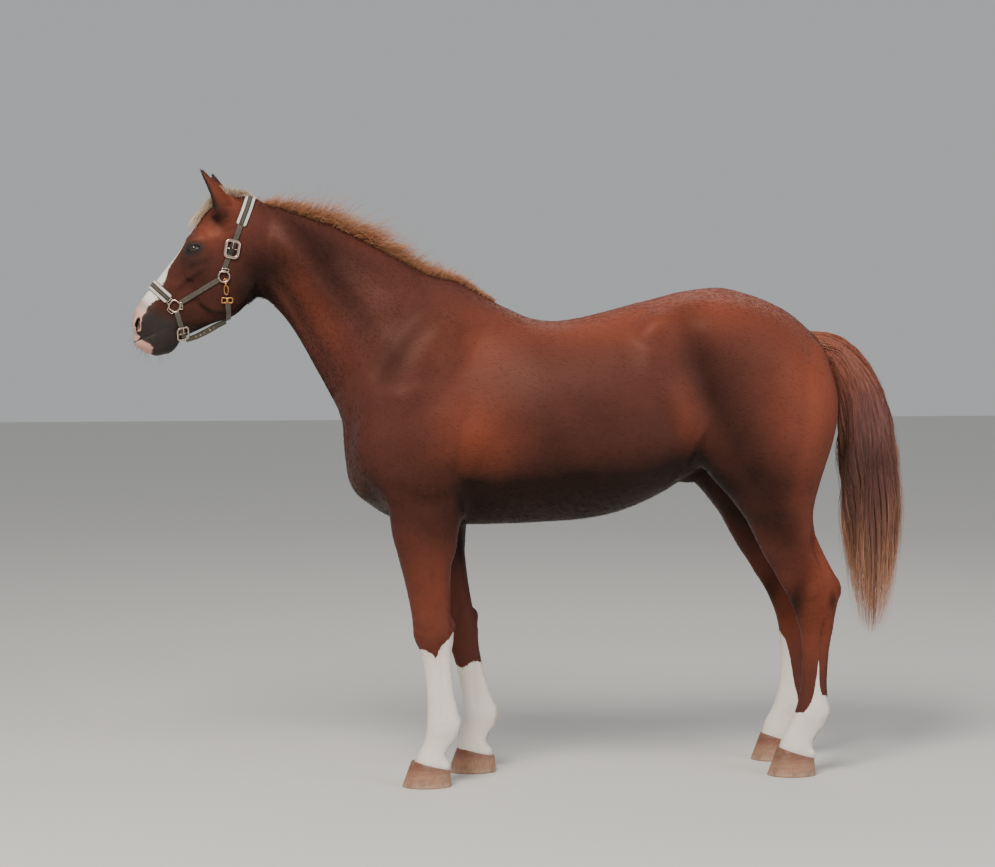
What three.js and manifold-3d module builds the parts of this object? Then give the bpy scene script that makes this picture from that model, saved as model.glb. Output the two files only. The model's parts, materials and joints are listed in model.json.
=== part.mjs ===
// A life-size chestnut riding horse standing with its legs apart in a striped stable halter, as a still museum model.
// Millimetres. X runs from nose to tail, the horse's left side faces -Y, and Z is up, with the soles at Z = 0.
import * as THREE from "three";
import Module from "manifold-3d";
import { mergeVertices } from "three/addons/utils/BufferGeometryUtils.js";

const wasm = await Module();
wasm.setup();

// ---------------------------------------------------------------- driving dimensions

const SMOOTHING = 0.7; // facets that differ by less than this are joined
const CUT = 0.6; // width of the thin cuts that part the body
const CLEAR = 1.6; // clearance under straps, hair and horn
const ROOTED = 12; // how deep the hair's solids start inside the body, before it is cut from them
const REACH = 320; // where the halter's rays start, outside the head
const LEAN_FORE = 0.134; // how far the right foreleg trails, per millimetre below its pivot
const PIVOT_FORE = 1400;
const LEAN_HIND = 0.03;
const PIVOT_HIND = 900;
const HEAD = { origin: [-1180, 0, 1800], slope: -55 }; // the head's own line, in degrees from level
const NECK = { origin: [-630, 0, 1390], slope: 37 };
const EYE = { place: 122, level: 74, side: 70, radius: 21 };
const STRAP = { wide: 38, narrow: 18, jaw: 24, thick: 5 };
const RING = { radius: 17, wire: 3 };
const BUCKLE = { width: 44, height: 60, wire: 5, thick: 6 };
const HOOP = { jaw: [-1218, 1655], nose: [-1374, 1562] }; // where the halter's side rings sit
const COLOURS = {
  coat: 0x7a3a24,
  stocking: 0xe6ded4,
  horn: 0xb98a6c,
  eye: 0x120c0a,
  hair: 0xb06a3c,
  tail: 0x8a4a34,
  webbing: 0x6f6a58,
  brass: 0xc9a26a,
  nickel: 0xd9cfc8,
};

// ---------------------------------------------------------------- sections of the body
// Each row is one cross-section: place along the line, high, low, half width, level of the widest
// point, and how square the section is above and below that level (2 is an ellipse).

const TRUNK = [
  [-824, 1170, 1040, 50, 1110, 2, 2],
  [-808, 1235, 990, 118, 1105, 2, 2],
  [-765, 1320, 932, 180, 1105, 2, 2],
  [-700, 1410, 882, 216, 1120, 1.9, 2.1],
  [-620, 1505, 856, 230, 1140, 1.7, 2.1],
  [-540, 1590, 845, 236, 1150, 1.55, 2.1],
  [-480, 1622, 842, 242, 1150, 1.5, 2.1],
  [-425, 1620, 842, 250, 1150, 1.5, 2.1],
  [-360, 1592, 842, 262, 1150, 1.6, 2.1],
  [-290, 1560, 843, 277, 1150, 1.75, 2.1],
  [-215, 1527, 845, 293, 1150, 1.95, 2.1],
  [-130, 1515, 849, 305, 1150, 2.05, 2.1],
  [-40, 1526, 855, 313, 1150, 2.1, 2.1],
  [50, 1547, 870, 315, 1150, 2.15, 2.1],
  [130, 1568, 895, 308, 1165, 2.2, 2.1],
  [210, 1588, 930, 292, 1195, 2.25, 2.1],
  [290, 1609, 975, 276, 1240, 2.3, 2.1],
  [370, 1622, 1020, 268, 1290, 2.2, 2.1],
  [444, 1626, 1045, 266, 1310, 2.1, 2.1],
  [520, 1609, 1060, 260, 1310, 2.1, 2.1],
  [600, 1581, 1075, 246, 1300, 2.1, 2.1],
  [680, 1538, 1095, 214, 1290, 2.1, 2.1],
  [745, 1478, 1130, 165, 1280, 2, 2],
  [790, 1400, 1190, 100, 1275, 2, 2],
  [806, 1340, 1230, 45, 1270, 2, 2],
];
const NECK_ROWS = [
  [-120, 270, -250, 170, -20, 1.7, 2],
  [-40, 284, -285, 188, -20, 1.7, 2],
  [20, 290, -290, 183, -15, 1.7, 2.1],
  [80, 276, -258, 168, -5, 1.75, 2.1],
  [140, 265, -230, 152, 5, 1.8, 2.1],
  [200, 256, -203, 136, 10, 1.8, 2.1],
  [260, 248, -176, 122, 15, 1.8, 2.1],
  [320, 238, -150, 110, 20, 1.8, 2.1],
  [380, 228, -129, 100, 20, 1.85, 2.1],
  [440, 216, -117, 92, 18, 1.9, 2.1],
  [500, 197, -114, 87, 15, 1.9, 2.1],
  [560, 174, -108, 83, 12, 1.9, 2.1],
  [620, 150, -92, 78, 10, 2, 2],
  [680, 124, -50, 60, 10, 2, 2],
];
const HEAD_ROWS = [
  [-118, 36, -40, 40, 0, 2, 2],
  [-95, 62, -85, 62, -5, 2.1, 2],
  [-60, 92, -115, 76, -5, 2.2, 2],
  [-10, 109, -140, 86, 0, 2.3, 2.1],
  [40, 114, -165, 92, 10, 2.5, 2.2],
  [90, 113, -182, 96, 20, 2.6, 2.3],
  [130, 111, -184, 96, 25, 2.6, 2.4],
  [170, 109, -178, 88, 25, 2.5, 2.4],
  [205, 112, -168, 78, 20, 2.4, 2.3],
  [240, 114, -143, 69, 20, 2.4, 2.3],
  [280, 116, -112, 60, 15, 2.4, 2.2],
  [320, 118, -88, 54, 12, 2.3, 2.2],
  [360, 120, -66, 52, 15, 2.3, 2.2],
  [395, 116, -54, 54, 15, 2.3, 2.3],
  [425, 101, -50, 54, 15, 2.3, 2.3],
  [450, 80, -42, 50, 14, 2.3, 2.3],
  [468, 55, -24, 41, 12, 2.2, 2.2],
  [480, 30, 2, 20, 14, 2, 2],
];
// Where the solids are sliced, closer together where the form turns faster.
const TRUNK_PLACES = [
  -824, -800, -760, -700, -620, -540, -450, -360, -270, -180, -80, 20, 120, 220, 320, 420, 520, 600,
  680, 745, 788, 806,
];
const FORE_PLACES = [
  1090, 1000, 900, 805, 700, 612, 560, 515, 480, 440, 400, 330, 260, 215, 180, 145, 110, 80, 50,
];
const HIND_PLACES = [
  1440, 1350, 1250, 1150, 1050, 960, 880, 800, 720, 650, 610, 570, 520, 460, 380, 290, 240, 200, 165,
  125, 85, 50,
];
const HEAD_PLACES = [-118, -95, -55, 0, 50, 95, 135, 180, 225, 275, 325, 370, 405, 440, 465, 480];
// Legs are cut level: height, front edge, back edge, half width, distance from the middle plane.
const FORELEG = [
  [1090, -690, -520, 30, 150],
  [1020, -722, -485, 62, 152],
  [930, -704, -462, 76, 156],
  [870, -690, -466, 76, 155],
  [805, -679, -484, 70, 150],
  [741, -665, -491, 63, 146],
  [676, -647, -494, 56, 142],
  [612, -632, -495, 50, 139],
  [560, -622, -493, 47, 137],
  [520, -617, -487, 49, 135],
  [480, -611, -485, 48, 134],
  [448, -598, -489, 41, 133],
  [415, -588, -490, 34, 132],
  [356, -577, -487, 29, 131],
  [291, -571, -478, 29, 130],
  [240, -570, -467, 33, 129],
  [205, -571, -460, 38, 128],
  [178, -573, -462, 38, 128],
  [150, -579, -474, 34, 128],
  [125, -590, -495, 33, 128],
  [105, -601, -507, 38, 128],
  [80, -612, -502, 46, 128],
  [50, -618, -492, 50, 128],
];
const HINDLEG = [
  [1440, 420, 640, 20, 110],
  [1370, 330, 740, 66, 134],
  [1290, 280, 792, 92, 152],
  [1220, 290, 799, 103, 166],
  [1150, 311, 788, 107, 175],
  [1080, 336, 768, 108, 180],
  [1000, 385, 742, 101, 180],
  [920, 440, 720, 90, 178],
  [860, 485, 714, 78, 174],
  [800, 516, 729, 68, 170],
  [740, 549, 757, 60, 166],
  [685, 585, 788, 52, 162],
  [645, 608, 810, 47, 159],
  [610, 631, 816, 45, 156],
  [572, 651, 807, 43, 154],
  [530, 668, 799, 41, 151],
  [490, 680, 794, 38, 149],
  [440, 688, 785, 33, 147],
  [380, 691, 779, 30, 145],
  [310, 688, 776, 30, 143],
  [260, 682, 779, 33, 141],
  [225, 674, 784, 38, 140],
  [195, 663, 782, 39, 139],
  [165, 648, 769, 35, 138],
  [135, 629, 749, 34, 137],
  [110, 613, 736, 38, 136],
  [80, 601, 738, 46, 136],
  [50, 594, 742, 50, 136],
];
const HOOF = [
  [0, 166, 66, 0],
  [25, 157, 62, 9],
  [55, 143, 56, 20],
  [85, 128, 51, 32],
  [112, 112, 45, 44],
]; // height, length, half width, how far the toe has come back

// Muscles and bones that swell the surface: place, half sizes along the muscle, up and across, turn, blend.
const TRUNK_BULGES = [
  { at: [-612, 165, 1330], size: [215, 82, 56], turn: 56, blend: 60 }, // shoulder blade
  { at: [-562, 178, 1130], size: [150, 112, 66], turn: 66, blend: 50 }, // triceps
  { at: [-725, 135, 1095], size: [78, 100, 72], turn: 0, blend: 60 }, // point of the shoulder
  { at: [-760, 66, 1050], size: [62, 115, 62], turn: 0, blend: 50 }, // breast
  { at: [182, 205, 1478], size: [66, 52, 46], turn: 20, blend: 60 }, // point of the hip
  { at: [400, 150, 1440], size: [250, 130, 110], turn: -8, blend: 60 }, // croup
  { at: [560, 175, 1240], size: [220, 190, 108], turn: -60, blend: 60 }, // thigh
  { at: [742, 105, 1300], size: [64, 130, 62], turn: 0, blend: 50 }, // buttock
  { at: [395, 200, 1060], size: [105, 92, 74], turn: -55, blend: 50 }, // stifle
  { at: [345, 0, 1002], size: [62, 34, 34], turn: 8, blend: 30 }, // sheath
];
const NECK_BULGES = [
  { at: [-1040, 58, 1780], size: [80, 60, 34], turn: -50, blend: 40 }, // wing of the first neck bone
  { at: [-860, 72, 1555], size: [270, 52, 40], turn: -52, blend: 50 }, // muscle above the windpipe
];
const HEAD_BULGES = [
  { at: [-1215, 70, 1610], size: [88, 96, 26], turn: 20, blend: 24 }, // cheek
  { at: [-1302, 58, 1741], size: [54, 36, 27], turn: 60, blend: 26 }, // socket of the eye
  { at: [-1370, 52, 1632], size: [95, 14, 14], turn: 58, blend: 18 }, // facial crest
  { at: [-1462, 40, 1500], size: [34, 26, 26], turn: 60, blend: 22 }, // nostril
  { at: [-1398, 0, 1434], size: [36, 26, 30], turn: 20, blend: 18 }, // chin
];

// ---------------------------------------------------------------- small geometry helpers

const radians = (degrees) => (degrees * Math.PI) / 180;
const vec = (p) => new THREE.Vector3(...p);
const clamp = (v, low, high) => Math.min(Math.max(v, low), high);

/** A smooth curve through rows of [place, ...values], held level past both ends. */
function curveThrough(rows) {
  const sorted = [...rows].sort((a, b) => a[0] - b[0]);
  const last = sorted.length - 1;
  const slope = (i, k) => {
    const a = sorted[Math.max(i - 1, 0)];
    const b = sorted[Math.min(i + 1, last)];
    return (b[k] - a[k]) / (b[0] - a[0]);
  };
  return (place) => {
    const s = clamp(place, sorted[0][0], sorted[last][0]);
    const i = Math.max(1, sorted.findIndex((row) => row[0] >= s));
    const [a, b] = [sorted[i - 1], sorted[i]];
    const span = b[0] - a[0];
    const t = (s - a[0]) / span;
    return a.map((from, k) => {
      const rise = (b[k] - from) * t * t * (3 - 2 * t);
      const start = slope(i - 1, k) * span * t * (1 - t) * (1 - t);
      const end = slope(i, k) * span * t * t * (t - 1);
      return from + rise + start + end;
    });
  };
}

/** The smaller of two distances, rounded where they meet. */
function blendMin(a, b, width) {
  const h = Math.max(width - Math.abs(a - b), 0) / width;
  return Math.min(a, b) - (h * h * width) / 4;
}

/** Distance to an egg-shaped muscle, on both sides of the body. */
function bulgeDistance(p, { at, size, turn }) {
  const dx = p.x - at[0];
  const dz = p.z - at[2];
  const dy = Math.abs(p.y) - at[1];
  const c = Math.cos(radians(turn));
  const s = Math.sin(radians(turn));
  const q = [dx * c + dz * s, -dx * s + dz * c, dy];
  const near = Math.hypot(q[0] / size[0], q[1] / size[1], q[2] / size[2]);
  const far = Math.hypot(q[0] / size[0] ** 2, q[1] / size[1] ** 2, q[2] / size[2] ** 2);
  return far > 0 ? (near * (near - 1)) / far : -Math.min(...size);
}

/** A closed mesh from rings of points that all run the same way round. */
function closedRings(rings) {
  const sides = rings[0].length;
  const points = rings.flat();
  const index = [];
  for (let i = 0; i + 1 < rings.length; i++)
    for (let j = 0; j < sides; j++) {
      const [a, b] = [i * sides + j, i * sides + ((j + 1) % sides)];
      index.push(a, b, a + sides, b, b + sides, a + sides);
    }
  for (const [ring, flip] of [[0, true], [rings.length - 1, false]]) {
    const centre = points.length;
    const sum = rings[ring].reduce((t, p) => t.add(p), new THREE.Vector3());
    points.push(sum.divideScalar(sides));
    for (let j = 0; j < sides; j++) {
      const [a, b] = [ring * sides + j, ring * sides + ((j + 1) % sides)];
      index.push(centre, ...(flip ? [b, a] : [a, b]));
    }
  }
  return meshOf(points, index);
}

/** A closed plate over a grid of points: inner[i][j] below, outer[i][j] above. */
function closedPlate(inner, outer) {
  const [rows, columns] = [inner.length, inner[0].length];
  const points = [...inner.flat(), ...outer.flat()];
  const lift = rows * columns;
  const at = (i, j) => i * columns + j;
  const index = [];
  const quad = (a, b, c, d) => index.push(a, b, c, a, c, d);
  const across = columns - 1;
  for (let i = 0; i + 1 < rows; i++)
    for (let j = 0; j < across; j++) {
      const [a, b, c, d] = [at(i, j), at(i, j + 1), at(i + 1, j + 1), at(i + 1, j)];
      quad(a, d, c, b);
      quad(a + lift, b + lift, c + lift, d + lift);
    }
  for (let j = 0; j < across; j++) {
    quad(at(0, j), at(0, j + 1), at(0, j + 1) + lift, at(0, j) + lift);
    const end = rows - 1;
    quad(at(end, j + 1), at(end, j), at(end, j) + lift, at(end, j + 1) + lift);
  }
  for (let i = 0; i + 1 < rows; i++) {
    const end = columns - 1;
    quad(at(i + 1, 0), at(i, 0), at(i, 0) + lift, at(i + 1, 0) + lift);
    quad(at(i, end), at(i + 1, end), at(i + 1, end) + lift, at(i, end) + lift);
  }
  return meshOf(points, index);
}

function meshOf(points, index) {
  const geometry = new THREE.BufferGeometry().setFromPoints(points);
  geometry.setIndex(index);
  return geometry;
}

/** A manifold solid from a closed geometry, turned so that its faces point out. */
function solidOf(geometry) {
  const bare = new THREE.BufferGeometry();
  bare.setAttribute("position", geometry.getAttribute("position"));
  bare.setIndex(geometry.index);
  const merged = mergeVertices(bare, 1e-3);
  const make = (triVerts) =>
    new wasm.Manifold(
      new wasm.Mesh({ numProp: 3, vertProperties: merged.attributes.position.array, triVerts }),
    );
  const index = new Uint32Array(merged.index.array);
  const solid = make(index);
  if (solid.volume() > 0) return solid;
  for (let i = 0; i < index.length; i += 3) [index[i], index[i + 1]] = [index[i + 1], index[i]];
  return make(index);
}

function geometryOf(solid) {
  const mesh = solid.getMesh();
  const geometry = new THREE.BufferGeometry();
  const position = new Float32Array(mesh.vertProperties);
  geometry.setAttribute("position", new THREE.BufferAttribute(position, 3));
  geometry.setIndex(new THREE.BufferAttribute(new Uint32Array(mesh.triVerts), 1));
  return geometry;
}

// ---------------------------------------------------------------- limbs

/** A stretch of the body: cross-sections threaded on one straight line, swelled by its muscles. */
class Limb {
  constructor({ origin, along, up, rows, side, bulges = [] }) {
    this.origin = vec(origin);
    this.along = vec(along);
    this.up = vec(up);
    this.across = new THREE.Vector3(0, 1, 0);
    this.rows = curveThrough(rows);
    this.span = [Math.min(...rows.map((r) => r[0])), Math.max(...rows.map((r) => r[0]))];
    this.side = side ?? (() => 0);
    this.bulges = bulges;
  }

  section(place) {
    const [, high, low, width, level, top, keel] = this.rows(place);
    return { high, low, width, level, top, keel, side: this.side(place) };
  }

  /** Distance from the centre of a section to its edge, in the direction of the given angle. */
  reach(section, angle) {
    const [c, s] = [Math.cos(angle), Math.sin(angle)];
    const height = c > 0 ? section.high - section.level : section.level - section.low;
    const power = c > 0 ? section.top : section.keel;
    const sum = Math.abs(c / height) ** power + Math.abs(s / section.width) ** power;
    return sum ** (-1 / power);
  }

  point(place, level, side) {
    return this.origin
      .clone()
      .addScaledVector(this.along, place)
      .addScaledVector(this.up, level)
      .addScaledVector(this.across, side);
  }

  /** Signed distance to the swelled surface, measured out from the line of the limb. */
  distance(p) {
    const d = p.clone().sub(this.origin);
    const place = d.dot(this.along);
    const held = clamp(place, ...this.span);
    const section = this.section(held);
    const [u, v] = [d.dot(this.up) - section.level, d.dot(this.across) - section.side];
    const radial = Math.hypot(u, v) - this.reach(section, Math.atan2(v, u));
    const past = Math.abs(place - held);
    const bare = past > 0 ? Math.hypot(Math.max(radial, 0), past) : radial;
    return this.bulges.reduce((sum, b) => blendMin(sum, bulgeDistance(p, b), b.blend), bare);
  }

  /** The point of the surface at a place and an angle round it, lifted by a small height. */
  surface(place, angle, lift = 0) {
    const section = this.section(place);
    const [c, s] = [Math.cos(angle), Math.sin(angle)];
    const at = (r) => this.point(place, section.level + r * c, section.side + r * s);
    let r = this.reach(section, angle);
    for (let i = 0; i < 8; i++) r -= 0.8 * (this.distance(at(r)) - lift);
    return at(r);
  }

  solid(places, sides, lift = 0) {
    const ring = (place) =>
      Array.from({ length: sides }, (_, j) => this.surface(place, (2 * Math.PI * j) / sides, lift));
    const rings = places.map(ring);
    rings[0].forEach((p) => p.addScaledVector(this.along, -lift));
    rings[rings.length - 1].forEach((p) => p.addScaledVector(this.along, lift));
    return solidOf(closedRings(rings));
  }
}

const steps = (from, to, count) =>
  Array.from({ length: count + 1 }, (_, i) => from + ((to - from) * i) / count);
const lineAlong = (slope) => [-Math.cos(radians(slope)), 0, Math.sin(radians(slope))];

const trunk = new Limb({
  origin: [0, 0, 0],
  along: [1, 0, 0],
  up: [0, 0, 1],
  rows: TRUNK,
  bulges: TRUNK_BULGES,
});
const neckAlong = lineAlong(NECK.slope);
const neck = new Limb({
  origin: NECK.origin,
  along: neckAlong,
  up: [neckAlong[2], 0, -neckAlong[0]],
  rows: NECK_ROWS,
  bulges: NECK_BULGES,
});
const headAlong = lineAlong(HEAD.slope);
const headUp = [headAlong[2], 0, -headAlong[0]];
const head = new Limb({
  origin: HEAD.origin,
  along: headAlong,
  up: headUp,
  rows: HEAD_ROWS,
  bulges: HEAD_BULGES,
});

/** Pose of one leg: which side it is on, how far it trails and how much wider it stands. */
const LEGS = {
  fore_left: { rows: FORELEG, sign: -1, lean: 0, pivot: PIVOT_FORE, spread: 0 },
  fore_right: { rows: FORELEG, sign: 1, lean: LEAN_FORE, pivot: PIVOT_FORE, spread: -20 },
  hind_left: { rows: HINDLEG, sign: -1, lean: 0, pivot: PIVOT_HIND, spread: 0 },
  hind_right: { rows: HINDLEG, sign: 1, lean: LEAN_HIND, pivot: PIVOT_HIND, spread: 24 },
};
const trailing = (leg, z) => leg.lean * Math.max(leg.pivot - z, 0);
const sideOf = (leg, z, y) => leg.sign * (y + leg.spread * clamp(1 - z / 1000, 0, 1));

function legLimb(leg) {
  const rows = leg.rows.map(([z, front, back, width]) => {
    const x = trailing(leg, z);
    return [z, -front - x, -back - x, width, -(front + back) / 2 - x, 2.3, 2.3];
  });
  const sides = curveThrough(leg.rows.map(([z, , , , y]) => [z, sideOf(leg, z, y)]));
  return new Limb({
    origin: [0, 0, 0],
    along: [0, 0, 1],
    up: [-1, 0, 0],
    rows,
    side: (z) => sides(z)[1],
  });
}

/** The horn capsule, sitting round the foot of a leg limb, toe forward. */
function hoofLimb(leg, fore) {
  const toe = (fore ? -652 : 576) + trailing(leg, 0);
  const y = fore ? 128 : 136;
  const rows = HOOF.map(([z, length, width, back]) => {
    const front = toe + back;
    const rear = front + length;
    return [z, -front, -rear, width, -(front + rear) / 2 - 8, 2.2, 2.6];
  });
  return new Limb({
    origin: [0, 0, 0],
    along: [0, 0, 1],
    up: [-1, 0, 0],
    rows,
    side: () => sideOf(leg, 0, y),
  });
}

// ---------------------------------------------------------------- the whole body, then thin cuts

/** A thin slab across the body, whose wide faces look along a line in the middle plane. */
function slab(centre, slope, width, depth) {
  const geometry = new THREE.BoxGeometry(CUT, depth, width);
  geometry.rotateY(-radians(slope));
  geometry.translate(...centre);
  return solidOf(geometry);
}

const limbs = Object.fromEntries(Object.entries(LEGS).map(([name, leg]) => [name, legLimb(leg)]));
const hooves = Object.fromEntries(
  Object.entries(LEGS).map(([name, leg]) => [name, hoofLimb(leg, name.startsWith("fore"))]),
);

/** All the flesh and horn in one solid, with its surface lifted by a small height. */
function wholeBody(lift = 0) {
  let body = trunk.solid(TRUNK_PLACES, 18, lift);
  body = body.add(neck.solid(steps(-120, 690, 9), 14, lift));
  body = body.add(head.solid(HEAD_PLACES, 16, lift));
  body = body.add(tailSolid(lift));
  for (const name of Object.keys(LEGS)) {
    const heights = name.startsWith("fore") ? FORE_PLACES : HIND_PLACES;
    body = body.add(limbs[name].solid(heights, 10, lift));
    body = body.add(hooves[name].solid(steps(0, 112, 3), 12, lift));
  }
  return body;
}

// ---------------------------------------------------------------- eyes and ears

const eyeCentre = (sign) => head.point(EYE.place, EYE.level, sign * EYE.side);

function eyeBall(sign, radius) {
  const geometry = new THREE.SphereGeometry(radius, 10, 6);
  geometry.translate(...eyeCentre(sign).toArray());
  return solidOf(geometry);
}

/** A cupped ear: rings of a pointed leaf, hollowed from the side that faces forward and out. */
function earSolid({ root, tip, sign, facing, length, width }) {
  const axis = vec(tip).sub(vec(root)).normalize();
  const open = vec(facing).addScaledVector(axis, -vec(facing).dot(axis)).normalize();
  const wide = new THREE.Vector3().crossVectors(axis, open);
  const leaf = (scale, forward, from, to) =>
    closedRings(
      steps(from, to, 6).map((t) => {
        const leafWidth = 1.1 - 0.32 * t - 0.08 * Math.sin(2 * Math.PI * t);
        const w = scale * width * leafWidth * Math.sqrt(Math.max(1 - t ** 2.6, 0.002));
        const d = w * (1.12 - 0.7 * t);
        const curl = 14 * Math.sin(Math.PI * t);
        return Array.from({ length: 10 }, (_, j) => {
          const a = (2 * Math.PI * j) / 10;
          return vec(root)
            .addScaledVector(axis, t * length)
            .addScaledVector(open, forward + curl * 0.4 + d * Math.cos(a))
            .addScaledVector(wide, sign * curl * 0.3 + w * Math.sin(a));
        });
      }),
    );
  const hollow = solidOf(leaf(0.84, width * 0.62, 0.2, 0.96));
  return solidOf(leaf(1, 0, 0, 1)).subtract(hollow);
}

// ---------------------------------------------------------------- tail and mane

// The tail's own line: x, z, direction in degrees, half thickness in the plane, half width across.
const TAIL = [
  [725, 1446, 0, 38, 34],
  [768, 1447, -3, 36, 34],
  [808, 1441, -14, 37, 35],
  [842, 1420, -32, 44, 40],
  [872, 1384, -45, 56, 46],
  [905, 1330, -54, 70, 52],
  [938, 1250, -70, 83, 57],
  [956, 1150, -81, 91, 58],
  [964, 1050, -85, 96, 58],
  [974, 900, -88, 100, 56],
  [978, 790, -90, 99, 52],
  [980, 690, -90, 92, 46],
  [980, 600, -91, 74, 38],
  [980, 515, -95, 48, 26],
  [966, 435, -100, 12, 9],
];

function tailSolid(lift) {
  const ring = ([x, z, slope, thick, wide]) => {
    const up = vec([-Math.sin(radians(slope)), 0, Math.cos(radians(slope))]);
    return Array.from({ length: 14 }, (_, j) => {
      const a = (2 * Math.PI * j) / 14;
      return vec([x, (wide + lift) * Math.sin(a), z])
        .addScaledVector(up, (thick + lift) * Math.cos(a));
    });
  };
  return solidOf(closedRings(TAIL.map(ring)));
}

/** A rug of hair over the crest: from its left edge, over the top and down the right side. */
function maneSolid(from, to) {
  const places = steps(from, to, 9);
  const fringe = (i) => 1 + 0.09 * Math.sin(i * 2.3) + 0.05 * Math.sin(i * 4.1);
  const angleAt = (i, j) => radians(-7 + (j / 6) * 38 * fringe(i));
  const depth = [9, 30, 36, 30, 22, 14, 8];
  const grid = (lift) =>
    places.map((place, i) => {
      const end = Math.min(i, places.length - 1 - i);
      const fade = Math.min(1, 0.55 + 0.3 * end);
      return depth.map((d, j) => neck.surface(place, angleAt(i, j), lift ?? d * fade));
    });
  return solidOf(closedPlate(grid(-ROOTED), grid()));
}

/** The forelock, combed forward between the ears on to the forehead. */
function forelockSolid() {
  const places = steps(-112, 6, 6);
  const grid = (lift) =>
    places.map((place, i) => {
      const spread = radians(11 + 4 * Math.sin((Math.PI * i) / 6));
      const rise = 22 - i * 2.4;
      return steps(-1, 1, 4).map((t) =>
        head.surface(place, t * spread, lift ?? rise * (1 - 0.7 * t * t)),
      );
    });
  return solidOf(closedPlate(grid(-ROOTED), grid()));
}

// ---------------------------------------------------------------- the halter

/** Distance to the head and the upper neck together, which the halter lies on. */
const mask = (p) => Math.min(head.distance(p), neck.distance(p));

/** The first point on the way from one place to another that lies a small lift above the head. */
function cast(from, to, lift) {
  const way = to.clone().sub(from);
  const length = way.length();
  way.normalize();
  let run = 0;
  for (let i = 0; i < 60; i++) {
    const gap = mask(from.clone().addScaledVector(way, run)) - lift;
    if (gap < 0.2) break;
    run = Math.min(run + 0.7 * gap, length);
  }
  return from.clone().addScaledVector(way, run);
}

/** A strap: two sheets of rays, one to each edge, cast at the head and joined into a band. */
function strapSolid(rays, slack) {
  const sheet = (lift) => {
    const edges = [0, 1, 2].map((k) => rays.map((ray) => cast(ray[k].from, ray[k].to, lift)));
    return edges[0].map((_, i) => edges.map((edge) => edge[i]));
  };
  const turned = (grid) => [0, 1, 2].map((k) => grid.map((row) => row[k]));
  const outside = CLEAR + STRAP.thick + slack;
  return solidOf(closedPlate(turned(sheet(-STRAP.thick)), turned(sheet(outside))));
}

/** Rays in a plane that holds the Y axis, round a centre, over a range of angles from its top. */
function roundRays({ centre, slope, width, from, to, count }) {
  const along = vec([Math.cos(radians(slope)), 0, Math.sin(radians(slope))]);
  const normal = vec([-along.z, 0, along.x]);
  return steps(from, to, count).map((degrees) => {
    const a = radians(degrees);
    const way = along.clone().multiplyScalar(Math.cos(a)).add(vec([0, Math.sin(a), 0]));
    return [-0.5, 0, 0.5].map((k) => {
      const middle = vec([centre[0], 0, centre[1]]).addScaledVector(normal, k * width);
      return { from: middle.clone().addScaledVector(way, REACH), to: middle };
    });
  });
}

/** Rays from the side, along a line between two points in the side view. */
function sideRays({ start, end, width, sign, count, trim }) {
  const line = vec([end[0] - start[0], 0, end[1] - start[1]]);
  const length = line.length();
  line.normalize();
  const normal = vec([-line.z, 0, line.x]);
  return steps(trim, length - trim, count).map((run) =>
    [-0.5, 0, 0.5].map((k) => {
      const from = vec([start[0], sign * REACH, start[1]]);
      from.addScaledVector(line, run).addScaledVector(normal, k * width);
      return { from, to: from.clone().setY(0) };
    }),
  );
}

/** Position on the cheek, and the turn that lays a flat thing against it. */
function cheekSeat([x, z], sign, lift) {
  const at = (dx, dz) => {
    const from = vec([x + dx, sign * REACH, z + dz]);
    return cast(from, from.clone().setY(0), lift);
  };
  const centre = at(0, 0);
  const [r, u] = [at(16, 0).sub(at(-16, 0)), at(0, 16).sub(at(0, -16))];
  const normal = new THREE.Vector3().crossVectors(r, u).normalize();
  if (normal.y * sign < 0) normal.negate();
  return { centre, normal };
}

function seated(geometry, place, sign, { turn = 0, lift }) {
  const { centre, normal } = cheekSeat(place, sign, lift);
  const up = new THREE.Vector3(0, 0, 1).addScaledVector(normal, -normal.z).normalize();
  const right = new THREE.Vector3().crossVectors(up, normal);
  geometry.rotateZ(radians(turn));
  geometry.applyMatrix4(new THREE.Matrix4().makeBasis(right, up, normal).setPosition(centre));
  return solidOf(geometry);
}

/** A rounded rectangle of wire seen face on, as a buckle frame. */
function frameGeometry(width, height, wire, thick) {
  const outline = (w, h, r, Kind) => {
    const shape = new Kind();
    const [x, y] = [w / 2 - r, h / 2 - r];
    shape.absarc(x, y, r, 0, Math.PI / 2);
    shape.absarc(-x, y, r, Math.PI / 2, Math.PI);
    shape.absarc(-x, -y, r, Math.PI, 1.5 * Math.PI);
    shape.absarc(x, -y, r, 1.5 * Math.PI, 2 * Math.PI);
    return shape;
  };
  const shape = outline(width, height, 12, THREE.Shape);
  shape.holes.push(outline(width - 2 * wire, height - 2 * wire, 8, THREE.Path));
  const frame = { depth: thick, bevelEnabled: false, curveSegments: 2 };
  return new THREE.ExtrudeGeometry(shape, frame).translate(0, 0, -thick / 2);
}

/** A flat strap pulled straight between two places in the middle plane. */
function tautStrap(start, end, width) {
  const [dx, dz] = [end[0] - start[0], end[1] - start[1]];
  const geometry = new THREE.BoxGeometry(Math.hypot(dx, dz), width, STRAP.thick);
  geometry.rotateY(-Math.atan2(dz, dx));
  geometry.translate((start[0] + end[0]) / 2, 0, (start[1] + end[1]) / 2);
  return solidOf(geometry);
}

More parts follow.
